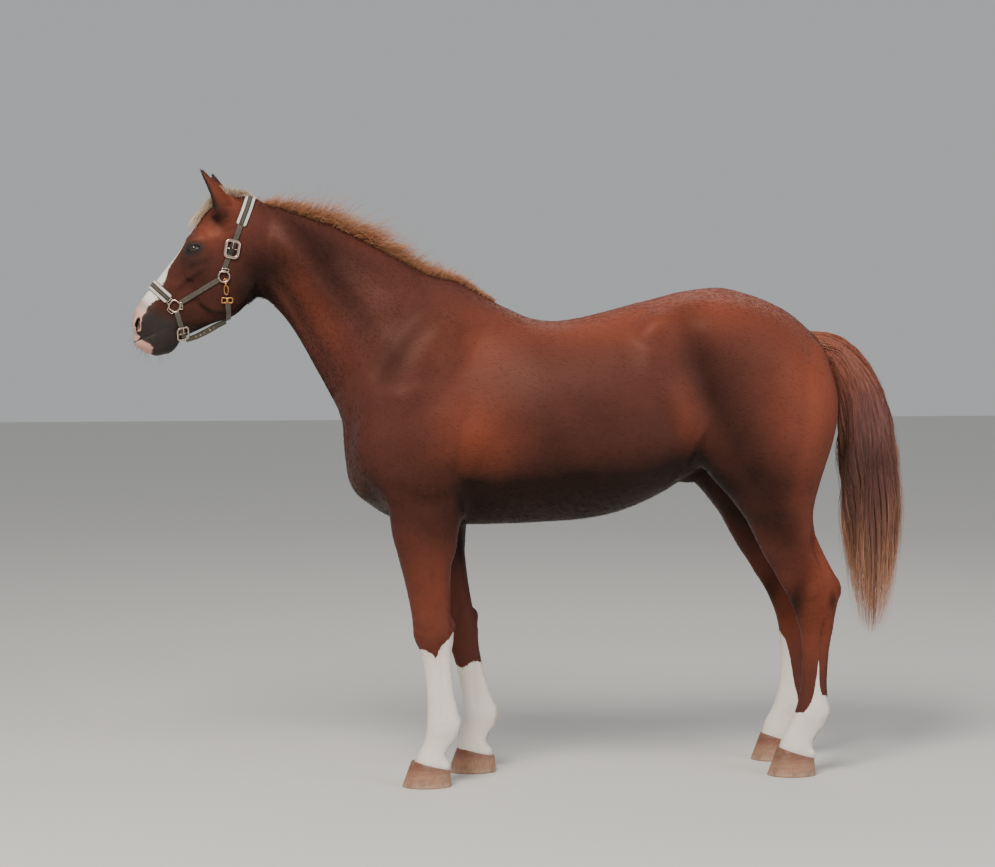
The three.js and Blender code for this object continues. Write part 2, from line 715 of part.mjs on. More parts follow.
function halterStraps() {
  const crown = { centre: [-1190, 1752], slope: 69 };
  const nose = { centre: [-1397, 1585], slope: 136 };
  const chin = { centre: [-1362, 1520], slope: -74 };
  const throat = { centre: [-1206, 1560], slope: -84 };
  const narrow = STRAP.narrow;
  const rays = {
    halter_crown: roundRays({ ...crown, width: STRAP.wide, from: -48, to: 48, count: 8 }),
    halter_side_left: roundRays({ ...crown, width: narrow, from: -125, to: -50, count: 6 }),
    halter_side_right: roundRays({ ...crown, width: narrow, from: 50, to: 125, count: 6 }),
    halter_nose: roundRays({ ...nose, width: STRAP.wide, from: -98, to: 98, count: 11 }),
    halter_chin: roundRays({ ...chin, width: narrow, from: -111, to: 111, count: 10 }),
    halter_throat: roundRays({ ...throat, width: narrow, from: -90, to: 126, count: 9 }),
  };
  const line = { start: HOOP.jaw, end: HOOP.nose, width: narrow, count: 4, trim: 21 };
  rays.halter_cheek_left = sideRays({ ...line, sign: -1 });
  rays.halter_cheek_right = sideRays({ ...line, sign: 1 });
  const slack = { halter_throat: 7, halter_chin: 3 };
  const straps = Object.entries(rays).map(([name, r]) => [name, strapSolid(r, slack[name] ?? 1)]);
  return [...straps, ["halter_jaw", tautStrap([-1218, 1506], [-1326, 1452], STRAP.jaw)]];
}

function halterFittings() {
  const lift = 2 * CLEAR + RING.wire;
  const above = STRAP.thick + 3 * CLEAR + BUCKLE.thick / 2;
  const small = frameGeometry(28, 24, 5, 5);
  const buckle = frameGeometry(BUCKLE.width, BUCKLE.height, BUCKLE.wire, BUCKLE.thick);
  const chinBuckle = frameGeometry(30, 40, 4, 4);
  const snap = new THREE.CapsuleGeometry(5, 24, 2, 8);
  const fittings = [
    ["halter_buckle", seated(buckle, [-1193, 1742], -1, { turn: -10, lift: above })],
    ["halter_chin_buckle", seated(chinBuckle, [-1350, 1478], -1, { turn: 14, lift: above })],
    ["halter_snap", seated(snap, [-1212, 1616], -1, { lift: 5 + 2 * CLEAR })],
    ["halter_fitting", seated(small, [-1209, 1580], -1, { lift: above + 6 })],
  ];
  for (const [side, sign] of [["left", -1], ["right", 1]])
    for (const [label, place] of Object.entries(HOOP)) {
      const ring = new THREE.TorusGeometry(RING.radius, RING.wire, 4, 10);
      fittings.push([`halter_ring_${label}_${side}`, seated(ring, place, sign, { lift })]);
    }
  return fittings;
}

// ---------------------------------------------------------------- parting the body

/** Centre and slope of the coronet cut, which falls from the toe to the heel. */
function coronet(leg, fore) {
  const x = (fore ? -552 : 672) + trailing(leg, 60);
  return { centre: [x, sideOf(leg, 60, fore ? 128 : 136), fore ? 64 : 74], slope: fore ? 104 : 108 };
}

function cutBody(body) {
  const cuts = [
    slab([-1108, 0, 1750], 174, 460, 300),
    slab([-645, 0, 1425], 143, 780, 620),
    slab([-318, 0, 1230], 0, 900, 800),
    slab([245, 0, 1260], 0, 900, 800),
    slab([-580, 0, 836], 90, 560, 560),
    slab([620, 0, 925], 90, 640, 640),
    slab([800, 0, 1442], -12, 140, 160),
    slab([888, 0, 1358], -50, 240, 240),
    slab([974, 0, 905], 90, 300, 300),
  ];
  for (const [name, leg] of Object.entries(LEGS)) {
    const fore = name.startsWith("fore");
    for (const z of fore ? [566, 262] : [690, 270]) {
      const x = (fore ? -545 : z > 500 ? 690 : 735) + trailing(leg, z);
      cuts.push(slab([x, sideOf(leg, z, 140), z], 90, 300, 200));
    }
    const { centre, slope } = coronet(leg, fore);
    cuts.push(slab(centre, slope, 260, 180));
  }
  for (const sign of [-1, 1]) cuts.push(eyeBall(sign, EYE.radius + CLEAR / 2));
  return cuts.reduce((rest, cut) => rest.subtract(cut), body).decompose();
}

/** A point near the middle of each named piece of flesh or horn. */
function anchors() {
  const named = {
    head: [-1290, 0, 1660],
    neck: [-880, 0, 1640],
    chest: [-560, 0, 1200],
    barrel: [-40, 0, 1190],
    hindquarters: [500, 0, 1250],
    tail_dock: [835, 0, 1420],
    tail_upper: [960, 0, 1150],
    tail_lower: [978, 0, 670],
  };
  for (const [name, leg] of Object.entries(LEGS)) {
    const fore = name.startsWith("fore");
    const parts = fore
      ? { forearm: [-580, 700], cannon: [-545, 410], pastern: [-530, 170], hoof: [-570, 35] }
      : { gaskin: [630, 810], cannon: [740, 470], pastern: [710, 180], hoof: [660, 35] };
    for (const [part, [x, z]] of Object.entries(parts))
      named[`${name}_${part}`] = [x + trailing(leg, z), sideOf(leg, z, 140), z];
  }
  return named;
}

function middle(solid) {
  const box = solid.boundingBox();
  return vec(box.min).add(vec(box.max)).multiplyScalar(0.5);
}

// ---------------------------------------------------------------- the horse

const group = new THREE.Group();

function addNode(name, solid, color, roughness = 0.6, metalness = 0) {
  const material = new THREE.MeshStandardMaterial({ color, roughness, metalness });
  const mesh = new THREE.Mesh(geometryOf(solid.simplify(SMOOTHING)), material);
  mesh.name = name;
  group.add(mesh);
}

function bodyColour(name) {
  if (name.endsWith("hoof")) return COLOURS.horn;
  if (/pastern|fore.*cannon/.test(name)) return COLOURS.stocking;
  return name.startsWith("tail") ? COLOURS.tail : COLOURS.coat;
}

const body = wholeBody();
const shell = wholeBody(CLEAR);
const pieces = cutBody(body).filter((piece) => piece.volume() > 500);
for (const [name, place] of Object.entries(anchors())) {
  const distance = (piece) => middle(piece).distanceTo(vec(place));
  const nearest = pieces.reduce((best, piece) => (distance(piece) < distance(best) ? piece : best));
  addNode(name, nearest, bodyColour(name), 0.55);
}

const ears = {
  ear_left: { root: [-1213, -60, 1850], tip: [-1293, -80, 2006], sign: -1, facing: [-1, 0, 0] },
  ear_right: { root: [-1208, 60, 1850], tip: [-1246, 89, 2001], sign: 1, facing: [-1, 0.5, 0] },
};
for (const [name, ear] of Object.entries(ears)) {
  const length = vec(ear.tip).distanceTo(vec(ear.root));
  const solid = earSolid({ ...ear, length, width: 35 }).subtract(shell);
  addNode(name, solid, COLOURS.coat, 0.6);
}
for (const sign of [-1, 1])
  addNode(sign < 0 ? "eye_left" : "eye_right", eyeBall(sign, EYE.radius), COLOURS.eye, 0.1);

addNode("mane", maneSolid(24, 672).subtract(shell), COLOURS.hair, 0.7);
addNode("forelock", forelockSolid().subtract(shell), COLOURS.hair, 0.7);

for (const [name, solid] of halterStraps())
  addNode(name, solid.subtract(shell), COLOURS.webbing, 0.85);
for (const [name, solid] of halterFittings()) {
  const brass = name === "halter_snap" || name === "halter_fitting";
  addNode(name, solid.subtract(shell), brass ? COLOURS.brass : COLOURS.nickel, 0.25, 1);
}

// Stand the horse on the floor, over the middle of its own length.
const box = new THREE.Box3().setFromObject(group);
group.position.set(-(box.min.x + box.max.x) / 2, -(box.min.y + box.max.y) / 2, -box.min.z);

export default group;
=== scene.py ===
"""A life-size chestnut riding horse, standing still in a padded stable halter.

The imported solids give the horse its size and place. This script gives it its looks: one skin over all
the flesh, wet eyes, horn hooves, hair in locks and tufts, and a stitched webbing halter with its buckles.

Shapes are worked out in millimetres in the horse's own axes: X from nose to tail, the left side towards
-Y, and Z up from the soles. One shift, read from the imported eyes, carries them to the frame in metres.
"""

import json
import logging
import math
from dataclasses import dataclass
from enum import Enum
from typing import Callable, Optional, Sequence

import bmesh
import bpy
import numpy as np
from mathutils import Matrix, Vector

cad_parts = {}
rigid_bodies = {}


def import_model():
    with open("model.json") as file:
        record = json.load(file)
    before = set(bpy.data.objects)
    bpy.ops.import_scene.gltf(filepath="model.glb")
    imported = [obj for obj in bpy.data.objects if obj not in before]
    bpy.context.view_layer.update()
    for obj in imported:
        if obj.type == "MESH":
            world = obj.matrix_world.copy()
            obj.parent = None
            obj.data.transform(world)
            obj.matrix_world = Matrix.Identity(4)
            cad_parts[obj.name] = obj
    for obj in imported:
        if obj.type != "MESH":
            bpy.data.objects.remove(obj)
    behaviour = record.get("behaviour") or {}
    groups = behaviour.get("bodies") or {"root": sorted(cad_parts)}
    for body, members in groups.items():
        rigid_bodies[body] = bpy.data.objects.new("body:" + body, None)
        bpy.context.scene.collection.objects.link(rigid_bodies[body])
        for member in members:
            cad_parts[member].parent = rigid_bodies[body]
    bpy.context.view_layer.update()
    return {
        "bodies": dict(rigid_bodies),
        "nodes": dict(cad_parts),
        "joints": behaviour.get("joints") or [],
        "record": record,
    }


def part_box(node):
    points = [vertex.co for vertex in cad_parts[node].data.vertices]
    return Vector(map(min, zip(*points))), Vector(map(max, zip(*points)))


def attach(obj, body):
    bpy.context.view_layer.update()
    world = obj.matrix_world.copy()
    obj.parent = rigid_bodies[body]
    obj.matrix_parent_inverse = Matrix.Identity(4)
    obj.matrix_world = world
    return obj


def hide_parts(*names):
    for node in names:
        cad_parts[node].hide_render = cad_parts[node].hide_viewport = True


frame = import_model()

log = logging.getLogger("horse")
Array = np.ndarray


# ------------------------------------------------------------------------------------------ sizes


@dataclass(frozen=True)
class Pose:
    """Where the horse's parts stand, in millimetres and degrees."""

    eye_along: float = 122.0
    eye_up: float = 74.0
    eye_side: float = 70.0
    head_origin: tuple = (-1180.0, 0.0, 1800.0)
    head_slope: float = -55.0
    neck_origin: tuple = (-630.0, 0.0, 1390.0)
    neck_slope: float = 37.0
    lean_fore: float = 0.134
    pivot_fore: float = 1400.0
    lean_hind: float = 0.03
    pivot_hind: float = 900.0


POSE = Pose()
SHIFT = float(np.mean([c[0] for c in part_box("eye_left")])) + 1.3107  # from the horse's axes to the frame, m
END_FLATNESS = 3.0  # a limb's end bulges this many times less than it is thick
COAT_DEPTH = 2.5  # the skin lies this far inside the coat's outline
FACE_COAT_DEPTH = 1.0  # the same on the head and the lower legs

# Cross-sections: place along the line, high, low, half width, level of the widest point, and how
# square the section is above and below that level (2 is an ellipse).
TRUNK_ROWS = (
    (-812, 1190, 1030, 60, 1110, 2, 2),
    (-800, 1245, 985, 122, 1105, 2, 2),
    (-765, 1320, 932, 180, 1105, 2, 2),
    (-700, 1410, 882, 216, 1120, 1.9, 2.1),
    (-620, 1505, 856, 230, 1140, 1.7, 2.1),
    (-540, 1590, 845, 236, 1150, 1.55, 2.1),
    (-480, 1622, 842, 242, 1150, 1.5, 2.1),
    (-425, 1620, 842, 250, 1150, 1.5, 2.1),
    (-360, 1592, 842, 262, 1150, 1.6, 2.1),
    (-290, 1560, 843, 277, 1150, 1.75, 2.1),
    (-215, 1527, 845, 293, 1150, 1.95, 2.1),
    (-130, 1515, 849, 305, 1150, 2.05, 2.1),
    (-40, 1526, 855, 313, 1150, 2.1, 2.1),
    (50, 1547, 870, 315, 1150, 2.15, 2.1),
    (130, 1568, 895, 308, 1165, 2.2, 2.1),
    (210, 1588, 930, 292, 1195, 2.25, 2.1),
    (290, 1609, 975, 276, 1240, 2.3, 2.1),
    (370, 1622, 1020, 268, 1290, 2.2, 2.1),
    (444, 1626, 1045, 266, 1310, 2.1, 2.1),
    (520, 1609, 1060, 260, 1310, 2.1, 2.1),
    (600, 1581, 1075, 246, 1300, 2.1, 2.1),
    (680, 1538, 1095, 214, 1290, 2.1, 2.1),
    (745, 1478, 1130, 165, 1280, 2, 2),
    (790, 1400, 1190, 100, 1275, 2, 2),
    (806, 1340, 1230, 45, 1270, 2, 2),
)
NECK_ROWS = (
    (-120, 270, -250, 170, -20, 1.7, 2),
    (-40, 284, -285, 188, -20, 1.7, 2),
    (20, 290, -290, 183, -15, 1.7, 2.1),
    (80, 276, -258, 168, -5, 1.75, 2.1),
    (140, 265, -230, 152, 5, 1.8, 2.1),
    (200, 256, -203, 136, 10, 1.8, 2.1),
    (260, 248, -176, 122, 15, 1.8, 2.1),
    (320, 238, -150, 110, 20, 1.8, 2.1),
    (380, 228, -129, 100, 20, 1.85, 2.1),
    (440, 216, -117, 92, 18, 1.9, 2.1),
    (500, 197, -114, 87, 15, 1.9, 2.1),
    (560, 174, -108, 83, 12, 1.9, 2.1),
    (620, 150, -92, 78, 10, 2, 2),
    (680, 124, -50, 60, 10, 2, 2),
)
HEAD_ROWS = (
    (-118, 36, -40, 40, 0, 2, 2),
    (-95, 62, -85, 62, -5, 2.1, 2),
    (-60, 92, -115, 76, -5, 2.2, 2),
    (-10, 109, -140, 82, 0, 2.3, 2.1),
    (40, 114, -165, 84, 10, 2.5, 2.2),
    (90, 113, -182, 84, 20, 2.6, 2.3),
    (130, 111, -184, 82, 25, 2.6, 2.4),
    (170, 109, -178, 76, 25, 2.5, 2.4),
    (205, 112, -168, 68, 20, 2.4, 2.3),
    (240, 114, -143, 60, 20, 2.4, 2.3),
    (280, 116, -112, 54, 15, 2.4, 2.2),
    (320, 118, -88, 50, 12, 2.3, 2.2),
    (360, 120, -66, 48, 15, 2.3, 2.2),
    (395, 116, -54, 48, 15, 2.3, 2.3),
    (425, 101, -50, 47, 15, 2.3, 2.3),
    (450, 80, -42, 43, 14, 2.3, 2.3),
    (468, 55, -24, 36, 12, 2.2, 2.2),
    (480, 30, 2, 20, 14, 2, 2),
)
# Legs, level slices: height, front edge, back edge, half width, distance from the middle plane.
FORE_ROWS = (
    (1090, -690, -520, 30, 150),
    (1020, -722, -485, 62, 152),
    (930, -704, -462, 76, 156),
    (870, -690, -466, 76, 155),
    (805, -679, -484, 70, 150),
    (741, -665, -491, 63, 146),
    (676, -647, -494, 54, 142),
    (612, -632, -495, 46, 139),
    (560, -622, -493, 44, 137),
    (520, -617, -487, 47, 135),
    (480, -611, -485, 46, 134),
    (448, -598, -489, 39, 133),
    (415, -588, -490, 31, 132),
    (356, -577, -487, 27, 131),
    (291, -571, -478, 28, 130),
    (240, -570, -467, 32, 129),
    (205, -571, -460, 37, 128),
    (178, -573, -462, 37, 128),
    (150, -579, -474, 33, 128),
    (125, -590, -495, 33, 128),
    (105, -601, -507, 38, 128),
    (80, -612, -502, 46, 128),
    (50, -618, -492, 50, 128),
)
HIND_ROWS = (
    (1440, 420, 640, 20, 110),
    (1370, 330, 740, 66, 134),
    (1290, 280, 792, 92, 152),
    (1220, 290, 799, 103, 166),
    (1150, 311, 788, 107, 175),
    (1080, 336, 768, 108, 180),
    (1000, 385, 742, 101, 180),
    (920, 440, 720, 90, 178),
    (860, 485, 714, 78, 174),
    (800, 516, 729, 66, 170),
    (740, 549, 757, 56, 166),
    (685, 585, 788, 47, 162),
    (645, 608, 810, 43, 159),
    (610, 631, 816, 42, 156),
    (572, 651, 807, 42, 154),
    (530, 668, 799, 40, 151),
    (490, 680, 794, 36, 149),
    (440, 688, 785, 31, 147),
    (380, 691, 779, 28, 145),
    (310, 688, 776, 28, 143),
    (260, 682, 779, 32, 141),
    (225, 674, 784, 37, 140),
    (195, 663, 782, 38, 139),
    (165, 648, 769, 34, 138),
    (135, 630, 748, 33, 137),
    (110, 621, 732, 36, 136),
    (80, 614, 730, 40, 136),
    (50, 610, 728, 42, 136),
)


# ------------------------------------------------------------------------------------------ fields


def coat_depth(p: Array) -> Array:
    """How deep the skin lies under the coat's outline at each point."""
    furry = smooth_step(p[:, 0], -1110, -1000) * smooth_step(p[:, 2], 560, 820)
    return FACE_COAT_DEPTH + (COAT_DEPTH - FACE_COAT_DEPTH) * furry


def smooth_min(a: Array, b: Array, width: float) -> Array:
    """The smaller of two distances, rounded where they meet.

    Args:
        a: first distances.
        b: second distances.
        width: how wide the rounding is.

    Returns:
        The blended distances.
    """
    h = np.maximum(width - np.abs(a - b), 0.0) / width
    return np.minimum(a, b) - h * h * (width / 4)


def smooth_max(a: Array, b: Array, width: float) -> Array:
    """The larger of two distances, rounded where they meet."""
    return -smooth_min(-a, -b, width)


def smooth_step(value: Array, low: float, high: float) -> Array:
    """Rises smoothly from 0 to 1 between two values."""
    t = np.clip((value - low) / (high - low), 0, 1)
    return t * t * (3 - 2 * t)


def unit(v: Sequence[float]) -> Array:
    """A direction of length one."""
    v = np.asarray(v, float)
    return v / np.linalg.norm(v)


def curve_table(rows: Sequence[Sequence[float]], step: float = 2.0) -> tuple[Array, Array]:
    """Smooth curves through rows of (place, ...values), sampled closely for quick reading.

    Args:
        rows: the rows, in any order of place.
        step: distance between samples.

    Returns:
        The sample places, and one column of values for each value of a row.
    """
    data = np.array(sorted(rows), float)
    place = data[:, 0]
    slope = np.empty_like(data[:, 1:])
    for i in range(len(data)):
        a, b = max(i - 1, 0), min(i + 1, len(data) - 1)
        slope[i] = (data[b, 1:] - data[a, 1:]) / (place[b] - place[a])
    at = np.arange(place[0], place[-1] + step / 2, step)
    i = np.clip(np.searchsorted(place, at) - 1, 0, len(place) - 2)
    span = (place[i + 1] - place[i])[:, None]
    t = (at - place[i])[:, None] / span
    lo, hi = data[i, 1:], data[i + 1, 1:]
    cubic = lo + (hi - lo) * t * t * (3 - 2 * t)
    cubic += slope[i] * span * t * (1 - t) ** 2 + slope[i + 1] * span * t * t * (t - 1)
    return at, cubic


class Limb:
    """A stretch of the body: cross-sections threaded on one straight line."""

    def __init__(
        self,
        origin: Sequence[float],
        along: Sequence[float],
        up: Sequence[float],
        rows: Sequence[Sequence[float]],
        side: Optional[Sequence[Sequence[float]]] = None,
    ) -> None:
        """Keeps the line and the sampled sections.

        Args:
            origin: a point of the line.
            along: the line's direction.
            up: the direction that the rows call high.
            rows: the cross-sections.
            side: rows of (place, distance from the middle plane), or None for a middle limb.
        """
        self.origin = np.asarray(origin, float)
        self.along = np.asarray(along, float)
        self.up = np.asarray(up, float)
        self.places, self.values = curve_table(rows)
        self.side = curve_table(side) if side is not None else None

    def read(self, place: Array) -> list[Array]:
        """The values of the section at each place."""
        return [np.interp(place, self.places, column) for column in self.values.T]

    def offset(self, place: Array) -> Array:
        """How far the middle of the section lies from the middle plane.

        Args:
            place: places along the limb, mm.

        Returns:
            The offset at each place, mm.
        """
        if self.side is None:
            return np.zeros_like(place)
        return np.interp(place, self.side[0], self.side[1][:, 0])

    def section(self, p: Array) -> tuple[Array, Array, Array]:
        """Where points lie: along the limb, above its middle and out from its middle.

        Args:
            p: points, in millimetres.

        Returns:
            The three coordinates of each point, mm.
        """
        d = p - self.origin
        place = np.clip(d @ self.along, self.places[0], self.places[-1])
        return place, d @ self.up - self.read(place)[3], d[:, 1] - self.offset(place)

    def distance(self, p: Array) -> Array:
        """Signed distance to the limb's surface, measured out from its line.

        Args:
            p: points, in millimetres.

        Returns:
            A distance for each point, mm.
        """
        d = p - self.origin
        place = d @ self.along
        held = np.clip(place, self.places[0], self.places[-1])
        high, low, width, level, top, keel = self.read(held)
        u = d @ self.up - level
        v = d[:, 1] - self.offset(held)
        r = np.hypot(u, v) + 1e-6
        height = np.where(u > 0, high - level, level - low)
        power = np.where(u > 0, top, keel)
        total = np.abs(u / r / height) ** power + np.abs(v / r / width) ** power
        radial = r - total ** (-1 / power)
        past = np.abs(place - held) * END_FLATNESS
        return np.hypot(np.maximum(radial, 0), past) + np.minimum(radial, 0)


@dataclass(frozen=True)
class Lump:
    """An egg-shaped muscle, bone or hollow, in the middle or alike on both sides.

    Attributes:
        at: its centre, with the distance from the middle plane as y.
        size: half sizes along it, up and across.
        turn: how far its long axis is turned up from the tail, in degrees, seen from the left.
        blend: how softly it joins what it lies on.
        yaw: how far its long axis swings out from the middle plane, in degrees.
        hollow: whether it is carved out.
        only: 0 for both sides, or -1 or 1 for the left or the right alone.
    """

    at: tuple
    size: tuple
    turn: float = 0.0
    blend: float = 40.0
    yaw: float = 0.0
    hollow: bool = False
    only: int = 0

    def frame(self) -> Array:
        """The lump's axes as rows: along, up, across.

        Returns:
            Three unit rows.
        """
        c, s = math.cos(math.radians(self.turn)), math.sin(math.radians(self.turn))
        cy, sy = math.cos(math.radians(self.yaw)), math.sin(math.radians(self.yaw))
        along = np.array([c * cy, sy, s * cy])
        up = np.array([-s, 0.0, c])
        return np.array([along, up, np.cross(along, up)])

    def distance(self, p: Array) -> Array:
        """Signed distance to the egg, with both sides folded on to one.

        Args:
            p: points, in millimetres.

        Returns:
            A distance for each point, mm.
        """
        q = p.copy()
        q[:, 1] = np.abs(p[:, 1]) if self.only == 0 else p[:, 1] * self.only
        q = (q - np.array(self.at, float)) @ self.frame().T
        size = np.array(self.size, float)
        near = np.linalg.norm(q / size, axis=1)
        far = np.linalg.norm(q / size**2, axis=1) + 1e-9
        return near * (near - 1) / far

    def apply(self, p: Array, d: Array) -> Array:
        """Adds the lump to a field, or carves it out, near where it lies.

        Args:
            p: the points.
            d: the field's distances there, changed in place.

        Returns:
            The same distances.
        """
        reach = max(self.size) + 1.2 * self.blend + 6
        at = np.array(self.at, float)
        y = np.abs(p[:, 1]) if self.only == 0 else p[:, 1] * self.only
        near = (np.abs(p[:, 0] - at[0]) < reach) & (np.abs(p[:, 2] - at[2]) < reach)
        near &= np.abs(y - at[1]) < reach
        if near.any():
            own = self.distance(p[near])
            if self.hollow:
                d[near] = smooth_max(d[near], -own, self.blend)
            else:
                d[near] = smooth_min(d[near], own, self.blend)
        return d


RELIEF_REACH = 60.0  # reliefs change the form only this near its surface, mm
POINTS_AT_ONCE = 400000  # how many points of the form are worked out in one go
NECK_PLANE = -963.0  # where the head's fine mesh meets the body's, mm
NECK_GAP = 3.0
LEG_PLANE = 797.0  # where the legs' mesh meets the body's, mm
LEG_GAP = 3.0
SKIN_END = 50.0  # height at which the skin ends inside the hooves, mm
BODY_STEP = 15.4  # spacing of the skin's mesh on the body, mm
LEG_STEP = 6.7  # the same on the legs


def slope_axes(degrees: float) -> tuple[Array, Array]:
    """The directions along and above a line that leads forward.

    Args:
        degrees: how far the line rises to the front.

    Returns:
        The two directions.
    """
    slope = math.radians(degrees)
    along = np.array([-math.cos(slope), 0.0, math.sin(slope)])
    return along, np.array([along[2], 0.0, -along[0]])


HEAD_ALONG, HEAD_UP = slope_axes(POSE.head_slope)
NECK_ALONG, NECK_UP = slope_axes(POSE.neck_slope)
HEAD_ORIGIN, NECK_ORIGIN = np.array(POSE.head_origin), np.array(POSE.neck_origin)
HEAD_TURN = -POSE.head_slope


def head_at(along: float, up: float, side: float = 0.0) -> tuple:
    """A place on the head, from its distance down the head's line, its level and its side."""
    return tuple(HEAD_ORIGIN + along * HEAD_ALONG + up * HEAD_UP + np.array([0, side, 0]))


def neck_at(along: float, up: float, side: float = 0.0) -> tuple:
    """A place on the neck, from its distance up the neck's line, its level and its side."""
    return tuple(NECK_ORIGIN + along * NECK_ALONG + up * NECK_UP + np.array([0, side, 0]))


def down_head(p: Array) -> Array:
    """How far down the head's line each point lies."""
    return (p - HEAD_ORIGIN) @ HEAD_ALONG


def up_neck(p: Array) -> Array:
    """How far up the neck's line each point lies."""
    return (p - NECK_ORIGIN) @ NECK_ALONG


TRUNK_LUMPS = (
    Lump((-612, 150, 1330), (215, 78, 60), 58, 70),  # shoulder blade
    Lump((-562, 182, 1120), (150, 104, 62), 68, 34),  # triceps
    Lump((-725, 135, 1095), (78, 100, 70), 0, 60),  # point of the shoulder
    Lump((-752, 64, 1040), (56, 104, 56), 0, 40),  # breast
    Lump((182, 205, 1478), (62, 46, 40), 20, 60),  # point of the hip
    Lump((400, 150, 1440), (250, 130, 106), -8, 60),  # croup
    Lump((560, 170, 1240), (220, 180, 104), -60, 60),  # thigh
    Lump((742, 100, 1290), (60, 150, 60), 0, 40),  # buttock
    Lump((410, 186, 1060), (96, 62, 58), -55, 50),  # stifle
    Lump((345, 0, 1002), (60, 32, 32), 8, 26),  # sheath
    Lump((-836, 0, 1080), (90, 20, 18), 84, 24, hollow=True),  # between the breast muscles
    Lump((806, 0, 1240), (170, 16, 30), 88, 30, hollow=True),  # between the buttocks
    Lump((-500, 150, 905), (60, 26, 30), 60, 30),  # elbow
)
NECK_LUMPS = (
    Lump(neck_at(520, 75, 56), (76, 52, 34), -50, 34),  # wing of the first neck bone
    Lump((-865, 72, 1545), (270, 50, 36), -52, 46),  # long muscle above the windpipe
)
HEAD_LUMPS = (
    Lump(head_at(150, -66, 58), (104, 92, 27), HEAD_TURN - 8, 16),  # cheek
    Lump(head_at(20, -40, 60), (80, 60, 24), HEAD_TURN + 20, 24),  # jaw joint
    Lump(head_at(-52, 66, 52), (34, 44, 28), HEAD_TURN, 26),  # root of the ear
    Lump(head_at(118, 66, 58), (54, 34, 26), HEAD_TURN + 6, 28),  # socket of the eye
    Lump(head_at(412, 72, 30), (40, 30, 20), HEAD_TURN + 34, 16),  # wing of the nostril
    Lump(head_at(455, 40, 14), (30, 34, 26), HEAD_TURN, 16),  # upper lip
    Lump(head_at(440, -12, 10), (36, 20, 26), HEAD_TURN, 12),  # lower lip
    Lump(head_at(412, -38, 0), (34, 20, 24), HEAD_TURN, 16),  # chin
    Lump(head_at(300, 42, 66), (80, 26, 12), HEAD_TURN, 26, hollow=True),  # beside the nose
    Lump(head_at(190, -178, 0), (150, 34, 20), HEAD_TURN + 14, 24, hollow=True),  # between the jaws
)
FORE_LUMPS = (
    Lump((-648, 170, 860), (100, 42, 30), 94, 28),
    Lump((-515, 160, 840), (100, 38, 34), 96, 28),
    Lump((-493, 136, 522), (24, 15, 13), 90, 14),  # bone behind the knee
    Lump((-580, 172, 548), (26, 22, 9), 90, 14),
    Lump((-580, 98, 548), (26, 22, 9), 90, 14),
    Lump((-598, 134, 500), (22, 12, 30), 90, 14),
    Lump((-522, 168, 350), (110, 6, 9), 92, 12, hollow=True),  # before the tendons, outside
    Lump((-522, 96, 350), (110, 6, 9), 92, 12, hollow=True),  # before the tendons, inside
    Lump((-478, 128, 198), (26, 18, 24), 80, 14),  # sesamoid bones
    Lump((-498, 128, 132), (30, 12, 12), 60, 14, hollow=True),
    Lump((-516, 148, 66), (19, 17, 19), 10, 14),  # heel bulb, outside
    Lump((-516, 108, 66), (19, 17, 19), 10, 14),  # heel bulb, inside
)
HIND_LUMPS = (
    Lump((622, 208, 880), (110, 52, 34), -62, 34),  # gaskin
    Lump((728, 206, 742), (84, 10, 16), -67, 18, hollow=True),  # before the great tendon, outside
    Lump((728, 122, 742), (84, 10, 16), -67, 18, hollow=True),  # before the great tendon, inside
    Lump((800, 156, 628), (34, 17, 15), -80, 14),  # point of the hock
    Lump((706, 194, 618), (28, 22, 10), 60, 14),
    Lump((700, 118, 612), (30, 24, 12), 60, 14),
    Lump((752, 180, 400), (105, 6, 9), 90, 12, hollow=True),
    Lump((752, 112, 400), (105, 6, 9), 90, 12, hollow=True),
    Lump((768, 139, 214), (26, 18, 24), 84, 14),  # sesamoid bones
    Lump((748, 137, 146), (30, 12, 12), 60, 14, hollow=True),
    Lump((716, 156, 68), (19, 17, 19), 10, 14),
    Lump((716, 116, 68), (19, 17, 19), 10, 14),
)


# The tail's fleshy root, as x, z and radius along its line.
DOCK = ((730, 1440, 38), (806, 1438, 30), (852, 1408, 27), (888, 1356, 20))


